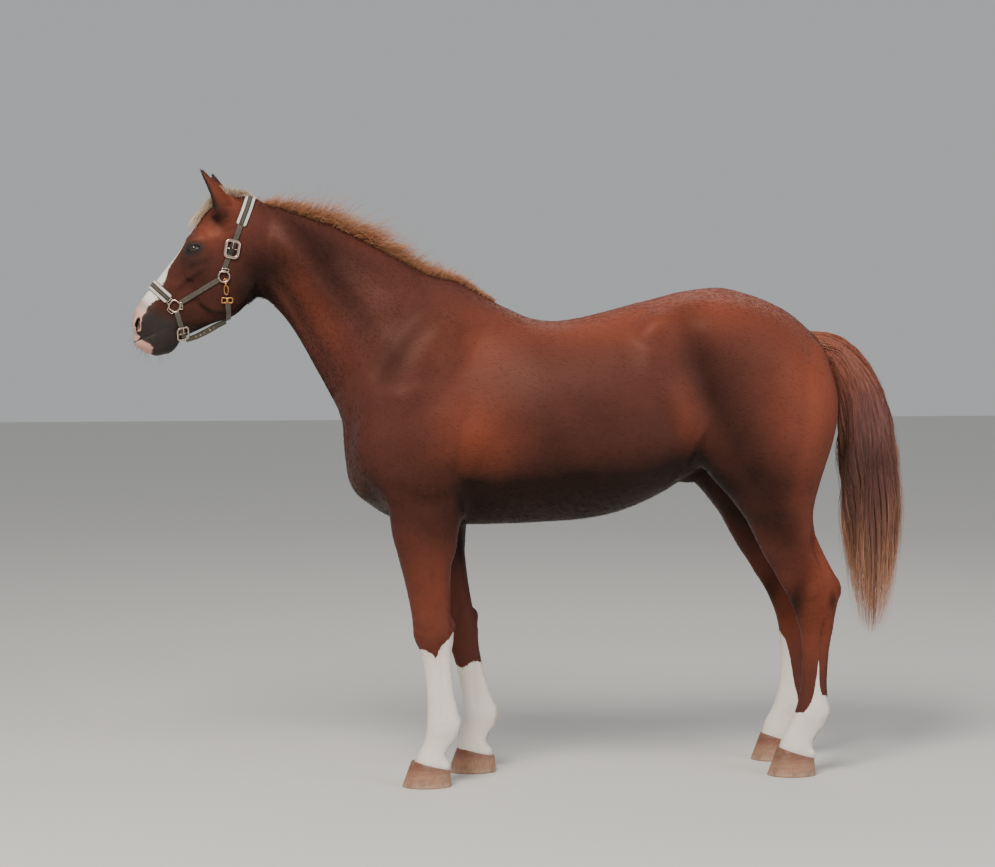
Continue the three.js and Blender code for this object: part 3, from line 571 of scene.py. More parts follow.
@dataclass(frozen=True)
class Relief:
    """A low ridge, groove or step that follows a line on both sides of the body.

    Attributes:
        line: its course as (x, z) points.
        height: how far it stands out, or is carved in if negative, mm.
        width: how wide it is, or how soft a step's edge is, mm.
        step: how far a step's raised side reaches to the left of its course, or 0 for a ridge.
        inner: it fades out nearer to the middle plane than this, mm.
        side: -1 or 1 for the left or the right alone.
    """

    line: tuple
    height: float
    width: float
    step: float = 0.0
    inner: float = 30.0
    side: int = 0

    def box(self) -> tuple:
        """The lowest and highest x and z that it touches.

        Returns:
            X from, x to, z from and z to, mm.
        """
        x, z = np.array(self.line, float).T
        reach = max(3 * self.width, 2.2 * self.step)
        return x.min() - reach, x.max() + reach, z.min() - reach, z.max() + reach

    def apply(self, p: Array, d: Array) -> None:
        """Changes distances at the points that it touches.

        Args:
            p: points, in millimetres.
            d: distances there, changed in place.
        """
        x0, x1, z0, z1 = self.box()
        near = (p[:, 0] > x0) & (p[:, 0] < x1) & (p[:, 2] > z0) & (p[:, 2] < z1)
        if self.side:
            near &= p[:, 1] * self.side > 0
        if not near.any():
            return
        q, depth = p[near][:, [0, 2]], np.abs(p[near][:, 1])
        line = np.array(self.line, float)
        lengths = np.linalg.norm(np.diff(line, axis=0), axis=1)
        best, signed, share = np.full(len(q), np.inf), np.zeros(len(q)), np.zeros(len(q))
        for i, length in enumerate(lengths):
            way = (line[i + 1] - line[i]) / length
            off = q - line[i]
            h = np.clip(off @ way, 0, length)
            gap = np.linalg.norm(off - h[:, None] * way, axis=1)
            closer = gap < best
            best = np.where(closer, gap, best)
            signed = np.where(closer, np.sign(way[0] * off[:, 1] - way[1] * off[:, 0]) * gap, signed)
            share = np.where(closer, (lengths[:i].sum() + h) / lengths.sum(), share)
        ends = smooth_step(share, 0, 0.22) * smooth_step(1 - share, 0, 0.22)
        if self.step:
            shape = smooth_step(signed, -self.width, self.width)
            shape *= np.exp(-((np.maximum(signed, 0) / self.step) ** 2))
        else:
            shape = np.exp(-((best / self.width) ** 2))
        d[near] -= self.height * shape * ends * smooth_step(depth, 0, self.inner)


HEAD_RELIEFS = (
    Relief(((-1500, 1446), (-1480, 1455), (-1452, 1467), (-1428, 1478)), -2.6, 4, inner=0.1),  # mouth
    Relief(((-1432, 1476), (-1412, 1484), (-1400, 1500)), -2, 14),  # corner of the mouth
    Relief(((-1470, 1436), (-1440, 1444), (-1416, 1458)), 2.5, 12, inner=10),  # lower lip
    Relief(((-1346, 1764), (-1322, 1777), (-1290, 1777), (-1262, 1760)), 4, 14),  # brow
    Relief(((-1292, 1800), (-1262, 1818), (-1238, 1842)), -6, 20),  # hollow above the eye
    Relief(((-1262, 1722), (-1296, 1704), (-1336, 1708)), 3, 15),  # bone below the eye
    Relief(((-1262, 1696), (-1330, 1655), (-1388, 1604)), 5, 12),  # facial crest
    Relief(((-1250, 1655), (-1330, 1612), (-1410, 1560)), -3, 26),  # below the crest
    Relief(((-1390, 1680), (-1430, 1610), (-1462, 1556)), -5, 18),  # beside the nose bone
    Relief(((-1150, 1560), (-1200, 1545), (-1262, 1560), (-1290, 1600), (-1292, 1640)), 3, 18, step=70),
    Relief(((-1178, 1800), (-1165, 1740), (-1150, 1680), (-1146, 1620)), -8, 17),  # behind the jaw
    Relief(((-1235, 1690), (-1222, 1720), (-1230, 1770), (-1252, 1800)), 4, 14),  # arch behind the eye
    Relief(((-1300, 1500), (-1345, 1492), (-1392, 1470)), -3, 14),  # above the jaw's edge
)
RELIEFS = (
    Relief(((-490, 915), (-500, 1037), (-480, 1165), (-452, 1270)), 12, 20, 150),  # back of the triceps
    Relief(((-430, 1275), (-582, 1312), (-735, 1275)), 8, 26, 110),  # top of the triceps
    Relief(((-715, 1010), (-600, 926), (-490, 945)), -8, 24),  # below the triceps
    Relief(((-620, 1580), (-680, 1490), (-728, 1370), (-745, 1270)), -5, 60),  # before the shoulder blade
    Relief(((-460, 1500), (-565, 1388), (-650, 1270)), 2, 60),  # shoulder blade's ridge
    # The band of muscle down the neck.
    Relief(((-1060, 1800), (-934, 1683), (-820, 1480), (-775, 1320), (-770, 1170)), 11, 38),
    Relief(((-920, 1770), (-770, 1590), (-690, 1440)), -10, 40),  # hollow behind that band
    Relief(((-1090, 1700), (-1007, 1575), (-905, 1405), (-835, 1240)), -9, 17),  # jugular groove
    Relief(((-1040, 1850), (-820, 1760), (-600, 1630)), -4, 24),  # below the crest
    Relief(((-440, 1500), (-395, 1350)), -6, 70),  # behind the shoulder
    Relief(((-440, 1010), (-445, 880)), -7, 34, inner=10),  # girth
    Relief(((205, 1545), (145, 1508), (118, 1430)), 5, 40),  # point of the hip
    # The edge of the belly wall.
    Relief(((125, 1470), (150, 1360), (215, 1263), (276, 1160), (330, 1080)), 10, 44),
    Relief(((215, 1540), (285, 1440), (322, 1310), (335, 1180)), -12, 50),  # flank hollow
    Relief(((225, 940), (262, 1032), (300, 1125), (345, 1200)), 7, 13),  # flank fold
    Relief(((585, 1345), (606, 1187), (565, 1000)), 7, 44),  # outer hamstring
    Relief(((690, 1450), (668, 1187), (640, 1022), (600, 900)), -4, 28),  # behind it
    Relief(((505, 880), (575, 745)), -4, 16),  # shin bone
    Relief(((-580, 880), (-552, 730), (-545, 600)), -6, 13),  # between the forearm's muscles
    Relief(((-640, 850), (-622, 720), (-600, 620)), 3, 16),
    Relief(((330, 1560), (420, 1400), (440, 1230)), 5, 70),  # front of the thigh
)


@dataclass(frozen=True)
class Stance:
    """How one leg differs from the near leg of its pair.

    Attributes:
        name: which leg it is.
        fore: whether it is a foreleg.
        sign: -1 on the left, 1 on the right.
        lean: how far it trails back for each millimetre below its pivot.
        spread: how much further out its foot stands.
    """

    name: str
    fore: bool
    sign: int
    lean: float
    spread: float

    @property
    def rows(self) -> tuple:
        """The sections of the near leg of this pair."""
        return FORE_ROWS if self.fore else HIND_ROWS

    def trail(self, z: float) -> float:
        """How far back the leg lies at a height."""
        pivot = POSE.pivot_fore if self.fore else POSE.pivot_hind
        return self.lean * max(pivot - z, 0.0)

    def side(self, z: float, y: float) -> float:
        """Distance out from the middle plane, on the leg's own side."""
        return y + self.spread * min(max(1 - z / 1000, 0.0), 1.0)

    def limb(self) -> Limb:
        """The leg's sections, threaded on an upright line.

        Returns:
            The limb.
        """
        rows, sides = [], []
        for z, front, back, width, y in self.rows:
            x = self.trail(z)
            rows.append((z, -front - x, -back - x, width, -(front + back) / 2 - x, 2.3, 2.3))
            sides.append((z, self.sign * self.side(z, y)))
        return Limb((0, 0, 0), (0, 0, 1), (-1, 0, 0), rows, sides)

    def lumps(self) -> list[Lump]:
        """The leg's muscles and bones, moved to where this leg stands.

        Returns:
            The moved lumps.
        """
        moved = []
        for lump in FORE_LUMPS if self.fore else HIND_LUMPS:
            x, y, z = lump.at
            at = (x + self.trail(z), self.side(z, y), z)
            moved.append(Lump(at, lump.size, lump.turn, lump.blend, lump.yaw, lump.hollow, self.sign))
        return moved


STANCES = (
    Stance("fore_left", True, -1, 0.0, 0.0),
    Stance("fore_right", True, 1, POSE.lean_fore, -20.0),
    Stance("hind_left", False, -1, 0.0, 0.0),
    Stance("hind_right", False, 1, POSE.lean_hind, 24.0),
)


# An ear's half width and half depth, as shares of its greatest, at shares of its length.
EAR_LEAF = ((0, 0.2, 0.45, 0.7, 0.88, 1), (0.94, 1.06, 0.98, 0.68, 0.34, 0.1))
EAR_CUP = (
    (0, 0.2, 0.38, 0.48, 0.6, 0.71, 0.81, 0.94, 1),
    (1.08, 1.12, 0.97, 0.8, 0.64, 0.46, 0.33, 0.16, 0.07),
)


@dataclass(frozen=True)
class EarShape:
    """One pricked ear: a leaf rolled round a straight stem, open to the front."""

    root: tuple
    tip: tuple
    facing: tuple
    width: float = 31.0
    wall: float = 7.4

    def axes(self) -> tuple[Array, Array, Array, float]:
        """The stem's direction, the way it opens, its wide direction, and its length.

        Returns:
            Three unit directions and a length in mm.
        """
        stem = np.array(self.tip, float) - np.array(self.root, float)
        length = float(np.linalg.norm(stem))
        stem /= length
        open_way = unit(np.array(self.facing, float) - np.dot(self.facing, stem) * stem)
        return stem, open_way, np.cross(stem, open_way), length

    def profile(self, t: Array) -> tuple[Array, Array, Array]:
        """Half width, half depth and forward curl at a share of the length.

        Args:
            t: shares of the length, 0 at the base.

        Returns:
            The three sizes at each share, mm.
        """
        t = np.clip(t, 0, 1)
        leaf = np.interp(t, *EAR_LEAF)
        cup = np.interp(t, *EAR_CUP)
        return self.width * leaf, self.width * cup, 8 * np.sin(math.pi * t)

    def distance(self, p: Array) -> Array:
        """Signed distance to the ear's wall.

        Args:
            p: points, in millimetres.

        Returns:
            A distance for each point, mm.
        """
        stem, open_way, wide, length = self.axes()
        d = p - np.array(self.root, float)
        along = d @ stem
        t = along / length
        width, depth, curl = self.profile(t)
        u = d @ open_way + curl - 6
        v = d @ wide
        near = np.hypot(u / depth, v / width) + 1e-9
        outer = (near - 1) * np.minimum(depth, width) * 0.5 + (near - 1) * np.hypot(u, v) / near * 0.5
        wall = np.minimum(self.wall, 0.42 * width)
        slot = np.abs(v) - (width - wall) * np.sqrt(np.clip((u + depth) / (1.9 * depth), 0.0, 1.0))
        hollow = smooth_max(np.maximum(slot, wall * 1.15 - (u + depth)), 22 - along, 14)
        shell = smooth_max(outer, -hollow, 3.0)
        past = np.maximum(along - length, 0)
        below = np.maximum(-0.2 * length - along, 0)
        return np.hypot(np.maximum(shell, 0), past + below) + np.minimum(shell, 0)


EARS = (
    EarShape((-1209, -60, 1850), (-1293, -79, 2007), (-1, 0.0, 0)),
    EarShape((-1201, 60, 1852), (-1245, 89, 2001), (-1, 0.5, 0)),
)
EYE_CENTRE = head_at(POSE.eye_along, POSE.eye_up, POSE.eye_side)
EYE_RADIUS = 21.0
EYE_OUT = unit((-0.30, 0.95, 0.10))  # the way the right eye looks; the left is its mirror image
EYE_SLIT = 23.5  # half the length of the opening between the lids, mm
EYE_TILT = 9.0  # how far the slit rises to the back, degrees
LID_THICKNESS = 5.4


def eye_axes() -> tuple[Array, Array]:
    """The right eye's slit direction, to the back, and its upward direction.

    Returns:
        Two unit directions.
    """
    tilt = math.radians(EYE_TILT)
    along = np.array([math.cos(tilt), 0.0, math.sin(tilt)])
    along = unit(along - (along @ EYE_OUT) * EYE_OUT)
    return along, np.cross(along, EYE_OUT)


def eye_places(p: Array) -> tuple[Array, Array, Array]:
    """Places about the nearer eye: along its slit, up, and out.

    Args:
        p: points, in millimetres.

    Returns:
        The three coordinates of each point, mm.
    """
    d = np.stack([p[:, 0], np.abs(p[:, 1]), p[:, 2]], 1) - np.array(EYE_CENTRE)
    along, up = eye_axes()
    return d @ along, d @ up, d @ EYE_OUT


def lid_edges(along: Array) -> tuple[Array, Array]:
    """Levels of the upper and the lower lid's edge along the slit.

    Args:
        along: places along the slit from the eye's middle, mm.

    Returns:
        Two levels for each place, mm.
    """
    t = np.clip(np.abs(along / EYE_SLIT), 0, 1)
    peak = np.clip(1 - t**2, 0, 1)
    skew = 1 + 0.18 * along / EYE_SLIT
    return 11.0 * peak**0.75 * skew - 1.0, -7.6 * peak**0.85 + 1.0


NOSTRIL = (-1491.0, 38.0, 1498.0)
NOSTRIL_TURN = 98.0  # how the nostril stands in the side view, degrees


class HorseField:
    """The horse's form as a signed distance, negative inside.

    Attributes:
        FAR: the distance given where no part is near.
        NECK_BLEND: how softly the neck joins the trunk; the others say the same of their parts.
    """

    FAR = 400.0
    NECK_BLEND = 90.0
    DOCK_BLEND = 46.0
    FORE_BLEND = 52.0
    HIND_BLEND = 62.0
    HEAD_BLEND = 30.0
    EAR_BLEND = 12.0

    def __init__(self) -> None:
        """Threads the limbs and gathers the lumps."""
        self.trunk = Limb((0, 0, 0), (1, 0, 0), (0, 0, 1), TRUNK_ROWS)
        self.neck = Limb(POSE.neck_origin, NECK_ALONG, NECK_UP, NECK_ROWS)
        self.head = Limb(POSE.head_origin, HEAD_ALONG, HEAD_UP, HEAD_ROWS)
        self.legs = {s.name: (s, s.limb(), s.lumps()) for s in STANCES}

    def leg(self, name: str, p: Array) -> Array:
        """Distance to one leg alone.

        Args:
            name: which leg.
            p: points, in millimetres.

        Returns:
            A distance for each point, mm.
        """
        _, limb, lumps = self.legs[name]
        d = limb.distance(p)
        for lump in lumps:
            lump.apply(p, d)
        return smooth_max(d, SKIN_END - p[:, 2], 8)

    def dock(self, p: Array) -> Array:
        """Distance to the fleshy root of the tail.

        Args:
            p: points, in millimetres.

        Returns:
            A distance for each point, mm.
        """
        out = np.full(len(p), math.inf)
        for (x0, z0, r0), (x1, z1, r1) in zip(DOCK, DOCK[1:]):
            a, b = np.array([x0, 0, z0]), np.array([x1, 0, z1])
            h = np.clip((p - a) @ (b - a) / np.dot(b - a, b - a), 0, 1)
            gap = np.linalg.norm(p - a - h[:, None] * (b - a), axis=1)
            out = np.minimum(out, gap - r0 - (r1 - r0) * h)
        return out

    def face(self, p: Array) -> Array:
        """Distance to the head with its features, and the neck behind it.

        Args:
            p: points, in millimetres.

        Returns:
            A distance for each point, mm.
        """
        d = self.head.distance(p)
        for lump in HEAD_LUMPS:
            lump.apply(p, d)
        return d

    def eyelids(self, p: Array, d: Array) -> None:
        """Lays the lids over each eyeball and opens them on an almond-shaped slit.

        Args:
            p: points, in millimetres.
            d: distances there, changed in place.
        """
        near = np.abs(p - np.array([EYE_CENTRE[0], 0, EYE_CENTRE[2]]))[:, [0, 2]].max(1) < 60
        q, dq = p[near], d[near]
        along, level, out = eye_places(q)
        r = np.sqrt(along**2 + level**2 + out**2)
        dq = smooth_min(dq, r - EYE_RADIUS - LID_THICKNESS, 9)
        top, bottom = lid_edges(along)
        crease = np.exp(-(((level - top - 9) / 3.2) ** 2)) * np.exp(-((along / 27) ** 2))
        dq += 3.2 * crease * (out > 0)
        pouch = np.exp(-(((level - bottom + 8) / 3.0) ** 2)) * np.exp(-((along / 24) ** 2))
        dq += 1.8 * pouch * (out > 0)
        slit = np.maximum(np.maximum(level - top, bottom - level), np.abs(along) - EYE_SLIT)
        slit += FACE_COAT_DEPTH * 0.5
        opening = np.maximum(slit, EYE_RADIUS - 3.5 - r)
        opening = np.maximum(opening, -out)
        d[near] = smooth_max(dq, -opening, 2.0)

    def nostrils(self, p: Array, d: Array) -> None:
        """Hollows the nostrils, each an upright comma with a soft raised rim.

        Args:
            p: points, in millimetres.
            d: distances there, changed in place.
        """
        Lump(NOSTRIL, (27, 16, 12), NOSTRIL_TURN, 10).apply(p, d)
        x, y, z = NOSTRIL
        Lump((x, y + 4, z), (16, 6, 24), NOSTRIL_TURN, 4, hollow=True).apply(p, d)
        Lump((x + 3, y + 4, z + 17), (7, 3.4, 14), NOSTRIL_TURN - 14, 5, hollow=True).apply(p, d)

    def torso(self, p: Array) -> Array:
        """Distance to the trunk, the neck and the dock with their muscles.

        Args:
            p: points, in millimetres.

        Returns:
            A distance for each point, mm.
        """
        d = smooth_min(self.trunk.distance(p), self.neck.distance(p), self.NECK_BLEND)
        for lump in TRUNK_LUMPS + NECK_LUMPS:
            lump.apply(p, d)
        return smooth_min(d, self.dock(p), self.DOCK_BLEND)

    def whole(self, p: Array, ears: bool = True) -> Array:
        """Distance to all the flesh.

        Args:
            p: points, in millimetres.
            ears: whether the ears are part of it.

        Returns:
            One signed distance for each point.
        """
        d = np.full(len(p), self.FAR)
        torso = (p[:, 0] > -1230) & (p[:, 2] > 700)
        if torso.any():
            d[torso] = self.torso(p[torso])
        for name, (stance, _, _) in self.legs.items():
            near = (p[:, 1] * stance.sign > -60) & (p[:, 2] < 1560)
            near &= (p[:, 0] < -180) if stance.fore else (p[:, 0] > 180)
            if near.any():
                width = self.FORE_BLEND if stance.fore else self.HIND_BLEND
                d[near] = smooth_min(d[near], self.leg(name, p[near]), width)
        close = np.abs(d) < RELIEF_REACH
        q, dq = p[close], d[close]
        for relief in RELIEFS:
            relief.apply(q, dq)
        d[close] = dq
        head = (p[:, 0] < -1000) & (p[:, 2] > 1300)
        if head.any():
            q = p[head]
            dh = smooth_min(d[head], self.face(q), self.HEAD_BLEND)
            if ears:
                for ear in EARS:
                    dh = smooth_min(dh, ear.distance(q), self.EAR_BLEND)
            for relief in HEAD_RELIEFS:
                relief.apply(q, dh)
            self.eyelids(q, dh)
            self.nostrils(q, dh)
            d[head] = dh
        return d


# ------------------------------------------------------------------------------------------ meshes


def axis_steps(low: float, high: float, step: float) -> Array:
    """Evenly spaced places from low to high."""
    return np.linspace(low, high, max(2, int(round((high - low) / step)) + 1))


def surface_net(values: Array, xs: Array, ys: Array, zs: Array) -> tuple[Array, Array]:
    """One smooth quad mesh over the zero level of a grid of distances.

    Args:
        values: distances, indexed by x, y and z.
        xs: places of the grid's planes along X.
        ys: the same along Y.
        zs: the same along Z.

    Returns:
        The vertices, and the quads, facing out.
    """
    inside = values < 0
    corner = [(i, j, k) for i in (0, 1) for j in (0, 1) for k in (0, 1)]
    count = sum(at_corner(inside, c).astype(np.int8) for c in corner)
    cells = np.argwhere((count > 0) & (count < 8))
    index = -np.ones(count.shape, np.int64)
    index[tuple(cells.T)] = np.arange(len(cells))
    at = np.array(
        [
            np.stack([xs[cells[:, 0] + c[0]], ys[cells[:, 1] + c[1]], zs[cells[:, 2] + c[2]]], 1)
            for c in corner
        ]
    )
    level = np.array([values[cells[:, 0] + c[0], cells[:, 1] + c[1], cells[:, 2] + c[2]] for c in corner])
    total, hits = np.zeros((len(cells), 3)), np.zeros(len(cells))
    for a in range(8):
        for bit in (1, 2, 4):
            b = a | bit
            if a & bit:
                continue
            cross = (level[a] < 0) != (level[b] < 0)
            t = np.where(cross, level[a] / np.where(cross, level[a] - level[b], 1), 0)[:, None]
            total += np.where(cross[:, None], at[a] + t * (at[b] - at[a]), 0)
            hits += cross
    return total / hits[:, None], net_faces(inside, index)


def at_corner(grid: Array, corner: tuple) -> Array:
    """A grid's values at one corner of every cell."""
    return grid[tuple(slice(c, n - 1 + c) for c, n in zip(corner, grid.shape))]


def net_faces(inside: Array, index: Array) -> Array:
    """One quad for each step of the grid that crosses the surface.

    Args:
        inside: whether each place of the grid lies inside.
        index: the number of each cell's vertex.

    Returns:
        The quads, facing out.
    """
    quads = []
    for axis in range(3):
        first = [slice(1, -1)] * 3
        first[axis] = slice(0, -1)
        second = list(first)
        second[axis] = slice(1, None)
        a, b = inside[tuple(first)], inside[tuple(second)]
        edges = np.argwhere(a != b)
        leaving = a[tuple(edges.T)]
        edges[:, [x for x in range(3) if x != axis]] += 1
        u, v = [x for x in range(3) if x != axis]
        ring = []
        for du, dv in ((-1, -1), (0, -1), (0, 0), (-1, 0)):
            cell = edges.copy()
            cell[:, u] += du
            cell[:, v] += dv
            ring.append(index[tuple(cell.T)])
        ring = np.stack(ring, 1)
        flip = ~leaving if axis != 1 else leaving
        ring[flip] = ring[flip][:, ::-1]
        quads.append(ring)
    return np.concatenate(quads)


def graded_steps(marks: Sequence[tuple]) -> Array:
    """Places whose spacing changes along an axis.

    Args:
        marks: pairs of a place and the spacing wanted there, in order along the axis.

    Returns:
        The places, from the first mark to the last.
    """
    at, steps = np.array(marks, float).T
    fine = np.linspace(at[0], at[-1], 4000)
    per_gap = np.diff(fine) / np.interp((fine[1:] + fine[:-1]) / 2, at, steps)
    count = np.concatenate([[0], np.cumsum(per_gap)])
    whole = int(math.ceil(count[-1]))
    return np.interp(np.linspace(0, count[-1], whole + 1), count, fine)


def sample_grid(distance: Callable[[Array], Array], xs: Array, ys: Array, zs: Array) -> Array:
    """Distances at every crossing of three sets of planes, worked out slab by slab.

    Args:
        distance: the signed distance, as a function of points.
        xs: where the planes across x stand, mm.
        ys: the same for y.
        zs: the same for z.

    Returns:
        The distances, indexed by x, y and z.
    """
    slab = max(1, POINTS_AT_ONCE // (len(ys) * len(zs)))
    gy, gz = (g.ravel() for g in np.meshgrid(ys, zs, indexing="ij"))
    parts = []
    for i in range(0, len(xs), slab):
        x = xs[i : i + slab]
        p = np.stack([np.repeat(x, gy.size), np.tile(gy, len(x)), np.tile(gz, len(x))], 1)
        parts.append(distance(p).reshape(len(x), len(ys), len(zs)))
    return np.concatenate(parts)


def gradient(distance: Callable[[Array], Array], p: Array, h: float = 0.6) -> Array:
    """How fast a distance grows along each axis.

    Args:
        distance: the signed distance, as a function of points.
        p: points, in millimetres.
        h: how far apart to measure, mm.

    Returns:
        A row of three slopes for each point.
    """
    out = np.empty_like(p)
    for axis in range(3):
        step = np.zeros(3)
        step[axis] = h
        out[:, axis] = (distance(p + step) - distance(p - step)) / (2 * h)
    return out


def open_loops(quads: Array) -> list[list[int]]:
    """The edges that bound a mesh on one side only, each loop in its faces' own order.

    Args:
        quads: the faces, as rows of four vertex numbers.

    Returns:
        The vertex numbers of each loop.
    """
    tails = quads.ravel()
    heads = np.roll(quads, -1, axis=1).ravel()
    forward = {(a, b) for a, b in zip(tails.tolist(), heads.tolist())}
    after = {a: b for a, b in forward if (b, a) not in forward}
    loops = []
    while after:
        start, b = after.popitem()
        loop = [start]
        while b != start:
            loop.append(b)
            b = after.pop(b)
        loops.append(loop)
    return loops


def bridge(verts: Array, first: list[int], second: list[int]) -> list[tuple]:
    """Triangles that join two open loops of outward-facing meshes.

    Args:
        verts: the places of all vertices.
        first: one loop, in its faces' own order.
        second: the other loop, in its faces' own order.

    Returns:
        The triangles that close the gap.
    """
    second = second[::-1]
    near = np.linalg.norm(verts[second] - verts[first[0]], axis=1)
    k = int(np.argmin(near))
    second = second[k:] + second[:k]
    a, b = first + first[:1], second + second[:1]
    i = j = 0
    faces = []
    while i < len(a) - 1 or j < len(b) - 1:
        along_a = np.linalg.norm(verts[a[i + 1]] - verts[b[j]]) if i < len(a) - 1 else math.inf
        along_b = np.linalg.norm(verts[a[i]] - verts[b[j + 1]]) if j < len(b) - 1 else math.inf
        if along_a <= along_b:
            faces.append((a[i + 1], a[i], b[j]))
            i += 1
        else:
            faces.append((a[i], b[j], b[j + 1]))
            j += 1
    return faces


@dataclass(frozen=True)
class Region:
    """A box of the horse's form meshed at one fineness."""

    name: str
    xs: Array
    ys: Array
    zs: Array


def skin_regions() -> list[Region]:
    """The boxes that the skin is meshed in: body, head and neck top, and four legs.

    Returns:
        The regions, in the order they are joined.
    """
    leg_heights = graded_steps([(34, 6.5), (120, 7), (300, 9), (LEG_PLANE - LEG_GAP, 9.5)])
    muzzle_to_poll = [(-1540, 3.4), (-1390, 3.4), (-1350, 2.9), (-1275, 2.9), (-1230, 4.2), (-1160, 5.5)]
    chin_to_ears = [(1380, 4), (1450, 3.4), (1510, 3.4), (1600, 4.4), (1705, 3.2), (1775, 2.8)]
    regions = [
        Region(
            "body",
            graded_steps([(NECK_PLANE + NECK_GAP, 12), (-700, BODY_STEP), (925, BODY_STEP)]),
            graded_steps([(-350, BODY_STEP), (0, 15), (350, BODY_STEP)]),
            axis_steps(LEG_PLANE + LEG_GAP, 1960, BODY_STEP),
        ),
        Region(
            "head",
            graded_steps(muzzle_to_poll + [(NECK_PLANE - NECK_GAP, 11)]),
            graded_steps([(-132, 3.6), (-60, 3.4), (-10, 5), (10, 5), (60, 3.4), (132, 3.6)]),
            graded_steps(chin_to_ears + [(1840, 3.8), (2025, 3.6)]),
        ),
    ]
    for stance in STANCES:
        low, high, wide = (-750, -390, 230) if stance.fore else (460, 850, 254)
        xs = axis_steps(low, high + stance.trail(0), LEG_STEP)
        ys = stance.sign * axis_steps(44, wide, LEG_STEP)
        regions.append(Region(stance.name, xs, np.sort(ys), leg_heights))
    return regions


class SkinBuilder:
    """Meshes the horse's form as one closed skin, a coat's depth inside the form."""

    def __init__(self, field: HorseField) -> None:
        """Takes the form."""
        self.field = field

    def surface(self, ears: bool) -> Callable[[Array], Array]:
        """The distance whose zero level is the skin."""
        return lambda p: self.field.whole(p, ears) + coat_depth(p)

    def settle(self, verts: Array, ears: bool, rounds: int = 2) -> Array:
        """Moves vertices onto the true surface.

        Args:
            verts: the vertices.
            ears: whether the ears are part of the surface.
            rounds: how often to repeat it.

        Returns:
            The moved vertices.
        """
        surface = self.surface(ears)
        for _ in range(rounds):
            slope = gradient(surface, verts)
            size = np.maximum((slope**2).sum(1), 0.2)
            move = surface(verts)[:, None] * slope / size[:, None]
            length = np.linalg.norm(move, axis=1, keepdims=True)
            verts = verts - move * np.minimum(1, 3.0 / np.maximum(length, 1e-9))
        return verts

    def relax(self, verts: Array, faces: list, rounds: int, ears: bool) -> Array:
        """Evens out the mesh along the surface.

        Args:
            verts: the vertices.
            faces: the faces, as rows of vertex numbers.
            rounds: how often to repeat it.
            ears: whether the ears are part of the surface.

        Returns:
            The moved vertices.
        """
        pairs = np.concatenate([np.stack([f.ravel(), np.roll(f, -1, axis=1).ravel()], 1) for f in faces])
        pairs = np.concatenate([pairs, pairs[:, ::-1]])
        count = np.bincount(pairs[:, 0], minlength=len(verts))[:, None]
        for _ in range(rounds):
            sums = [np.bincount(pairs[:, 0], verts[pairs[:, 1], k], len(verts)) for k in range(3)]
            total = np.stack(sums, 1)
            verts = verts + 0.5 * (total / np.maximum(count, 1) - verts)
            verts = self.settle(verts, ears, 1)
        return verts

    def build(self) -> tuple[Array, list]:
        """Meshes every region and joins them.

        Returns:
            The vertices in the horse's own millimetres, and arrays of quads and of triangles.
        """
        verts, quads, loops, start = [], [], {}, 0
        for region in skin_regions():
            ears = region.name in ("body", "head")
            values = sample_grid(self.surface(ears), region.xs, region.ys, region.zs)
            v, q = surface_net(values, region.xs, region.ys, region.zs)
            v = self.settle(v, ears)
            v = self.relax(v, [q], 2, ears)
            loops[region.name] = [[i + start for i in loop] for loop in open_loops(q)]
            verts.append(v)
            quads.append(q + start)
            start += len(v)
        verts = np.concatenate(verts)
        triangles = []
        for own in loops.pop("body"):
            middle = verts[own].mean(0)
            name, other = min(
                ((n, l) for n, ls in loops.items() for l in ls),
                key=lambda pair: np.linalg.norm(verts[pair[1]].mean(0) - middle),
            )
            log.info("skin: %s joins the body over %d and %d edges", name, len(own), len(other))
            triangles += bridge(verts, own, other)
        return verts, [np.concatenate(quads), np.array(triangles)]


# ------------------------------------------------------------------------------------------ building


def in_frame(p: Array) -> Array:
    """The horse's own millimetres as metres of the shared frame."""
    return np.asarray(p, float) * 0.001 + np.array([SHIFT, 0.0, 0.0])


def make_object(name: str, verts: Array, faces: Sequence[Array], smooth: bool = True) -> bpy.types.Object:
    """A mesh object from arrays.

    Args:
        name: the piece's name.
        verts: places in the horse's own millimetres.
        faces: arrays of polygons, each array with its own number of corners.
        smooth: whether the faces are shaded smoothly.

    Returns:
        The object, linked to the scene at the origin.
    """
    mesh = bpy.data.meshes.new(name)
    faces = [np.asarray(f, np.int32) for f in faces if len(f)]
    corners = np.concatenate([f.ravel() for f in faces])
    sizes = np.concatenate([np.full(len(f), f.shape[1], np.int32) for f in faces])
    mesh.vertices.add(len(verts))
    mesh.vertices.foreach_set("co", in_frame(verts).astype(np.float32).ravel())
    mesh.loops.add(len(corners))
    mesh.loops.foreach_set("vertex_index", corners)
    mesh.polygons.add(len(sizes))
    mesh.polygons.foreach_set("loop_start", np.concatenate([[0], np.cumsum(sizes)[:-1]]).astype(np.int32))
    mesh.polygons.foreach_set("use_smooth", np.full(len(sizes), smooth))
    mesh.update(calc_edges=True)
    mesh.validate()
    return link(bpy.data.objects.new(name, mesh))


def link(made: bpy.types.Object) -> bpy.types.Object:
    """Links an object to the scene, and hands it back."""
    bpy.context.scene.collection.objects.link(made)
    return made


def store(made: bpy.types.Object, name: str, values: Array) -> None:
    """Keeps a number or a colour for each vertex of a mesh.

    Args:
        made: the mesh object.
        name: what the values are called.
        values: one number for each vertex, or four.
    """
    kind, key = ("FLOAT", "value") if values.ndim == 1 else ("FLOAT_COLOR", "color")
    layer = made.data.attributes.new(name, kind, "POINT")
    layer.data.foreach_set(key, values.astype(np.float32).ravel())


def pairs_of(rows: int, columns: int) -> tuple[Array, Array]:
    """Every row number with every column number."""
    return tuple(g.ravel() for g in np.meshgrid(np.arange(rows), np.arange(columns), indexing="ij"))


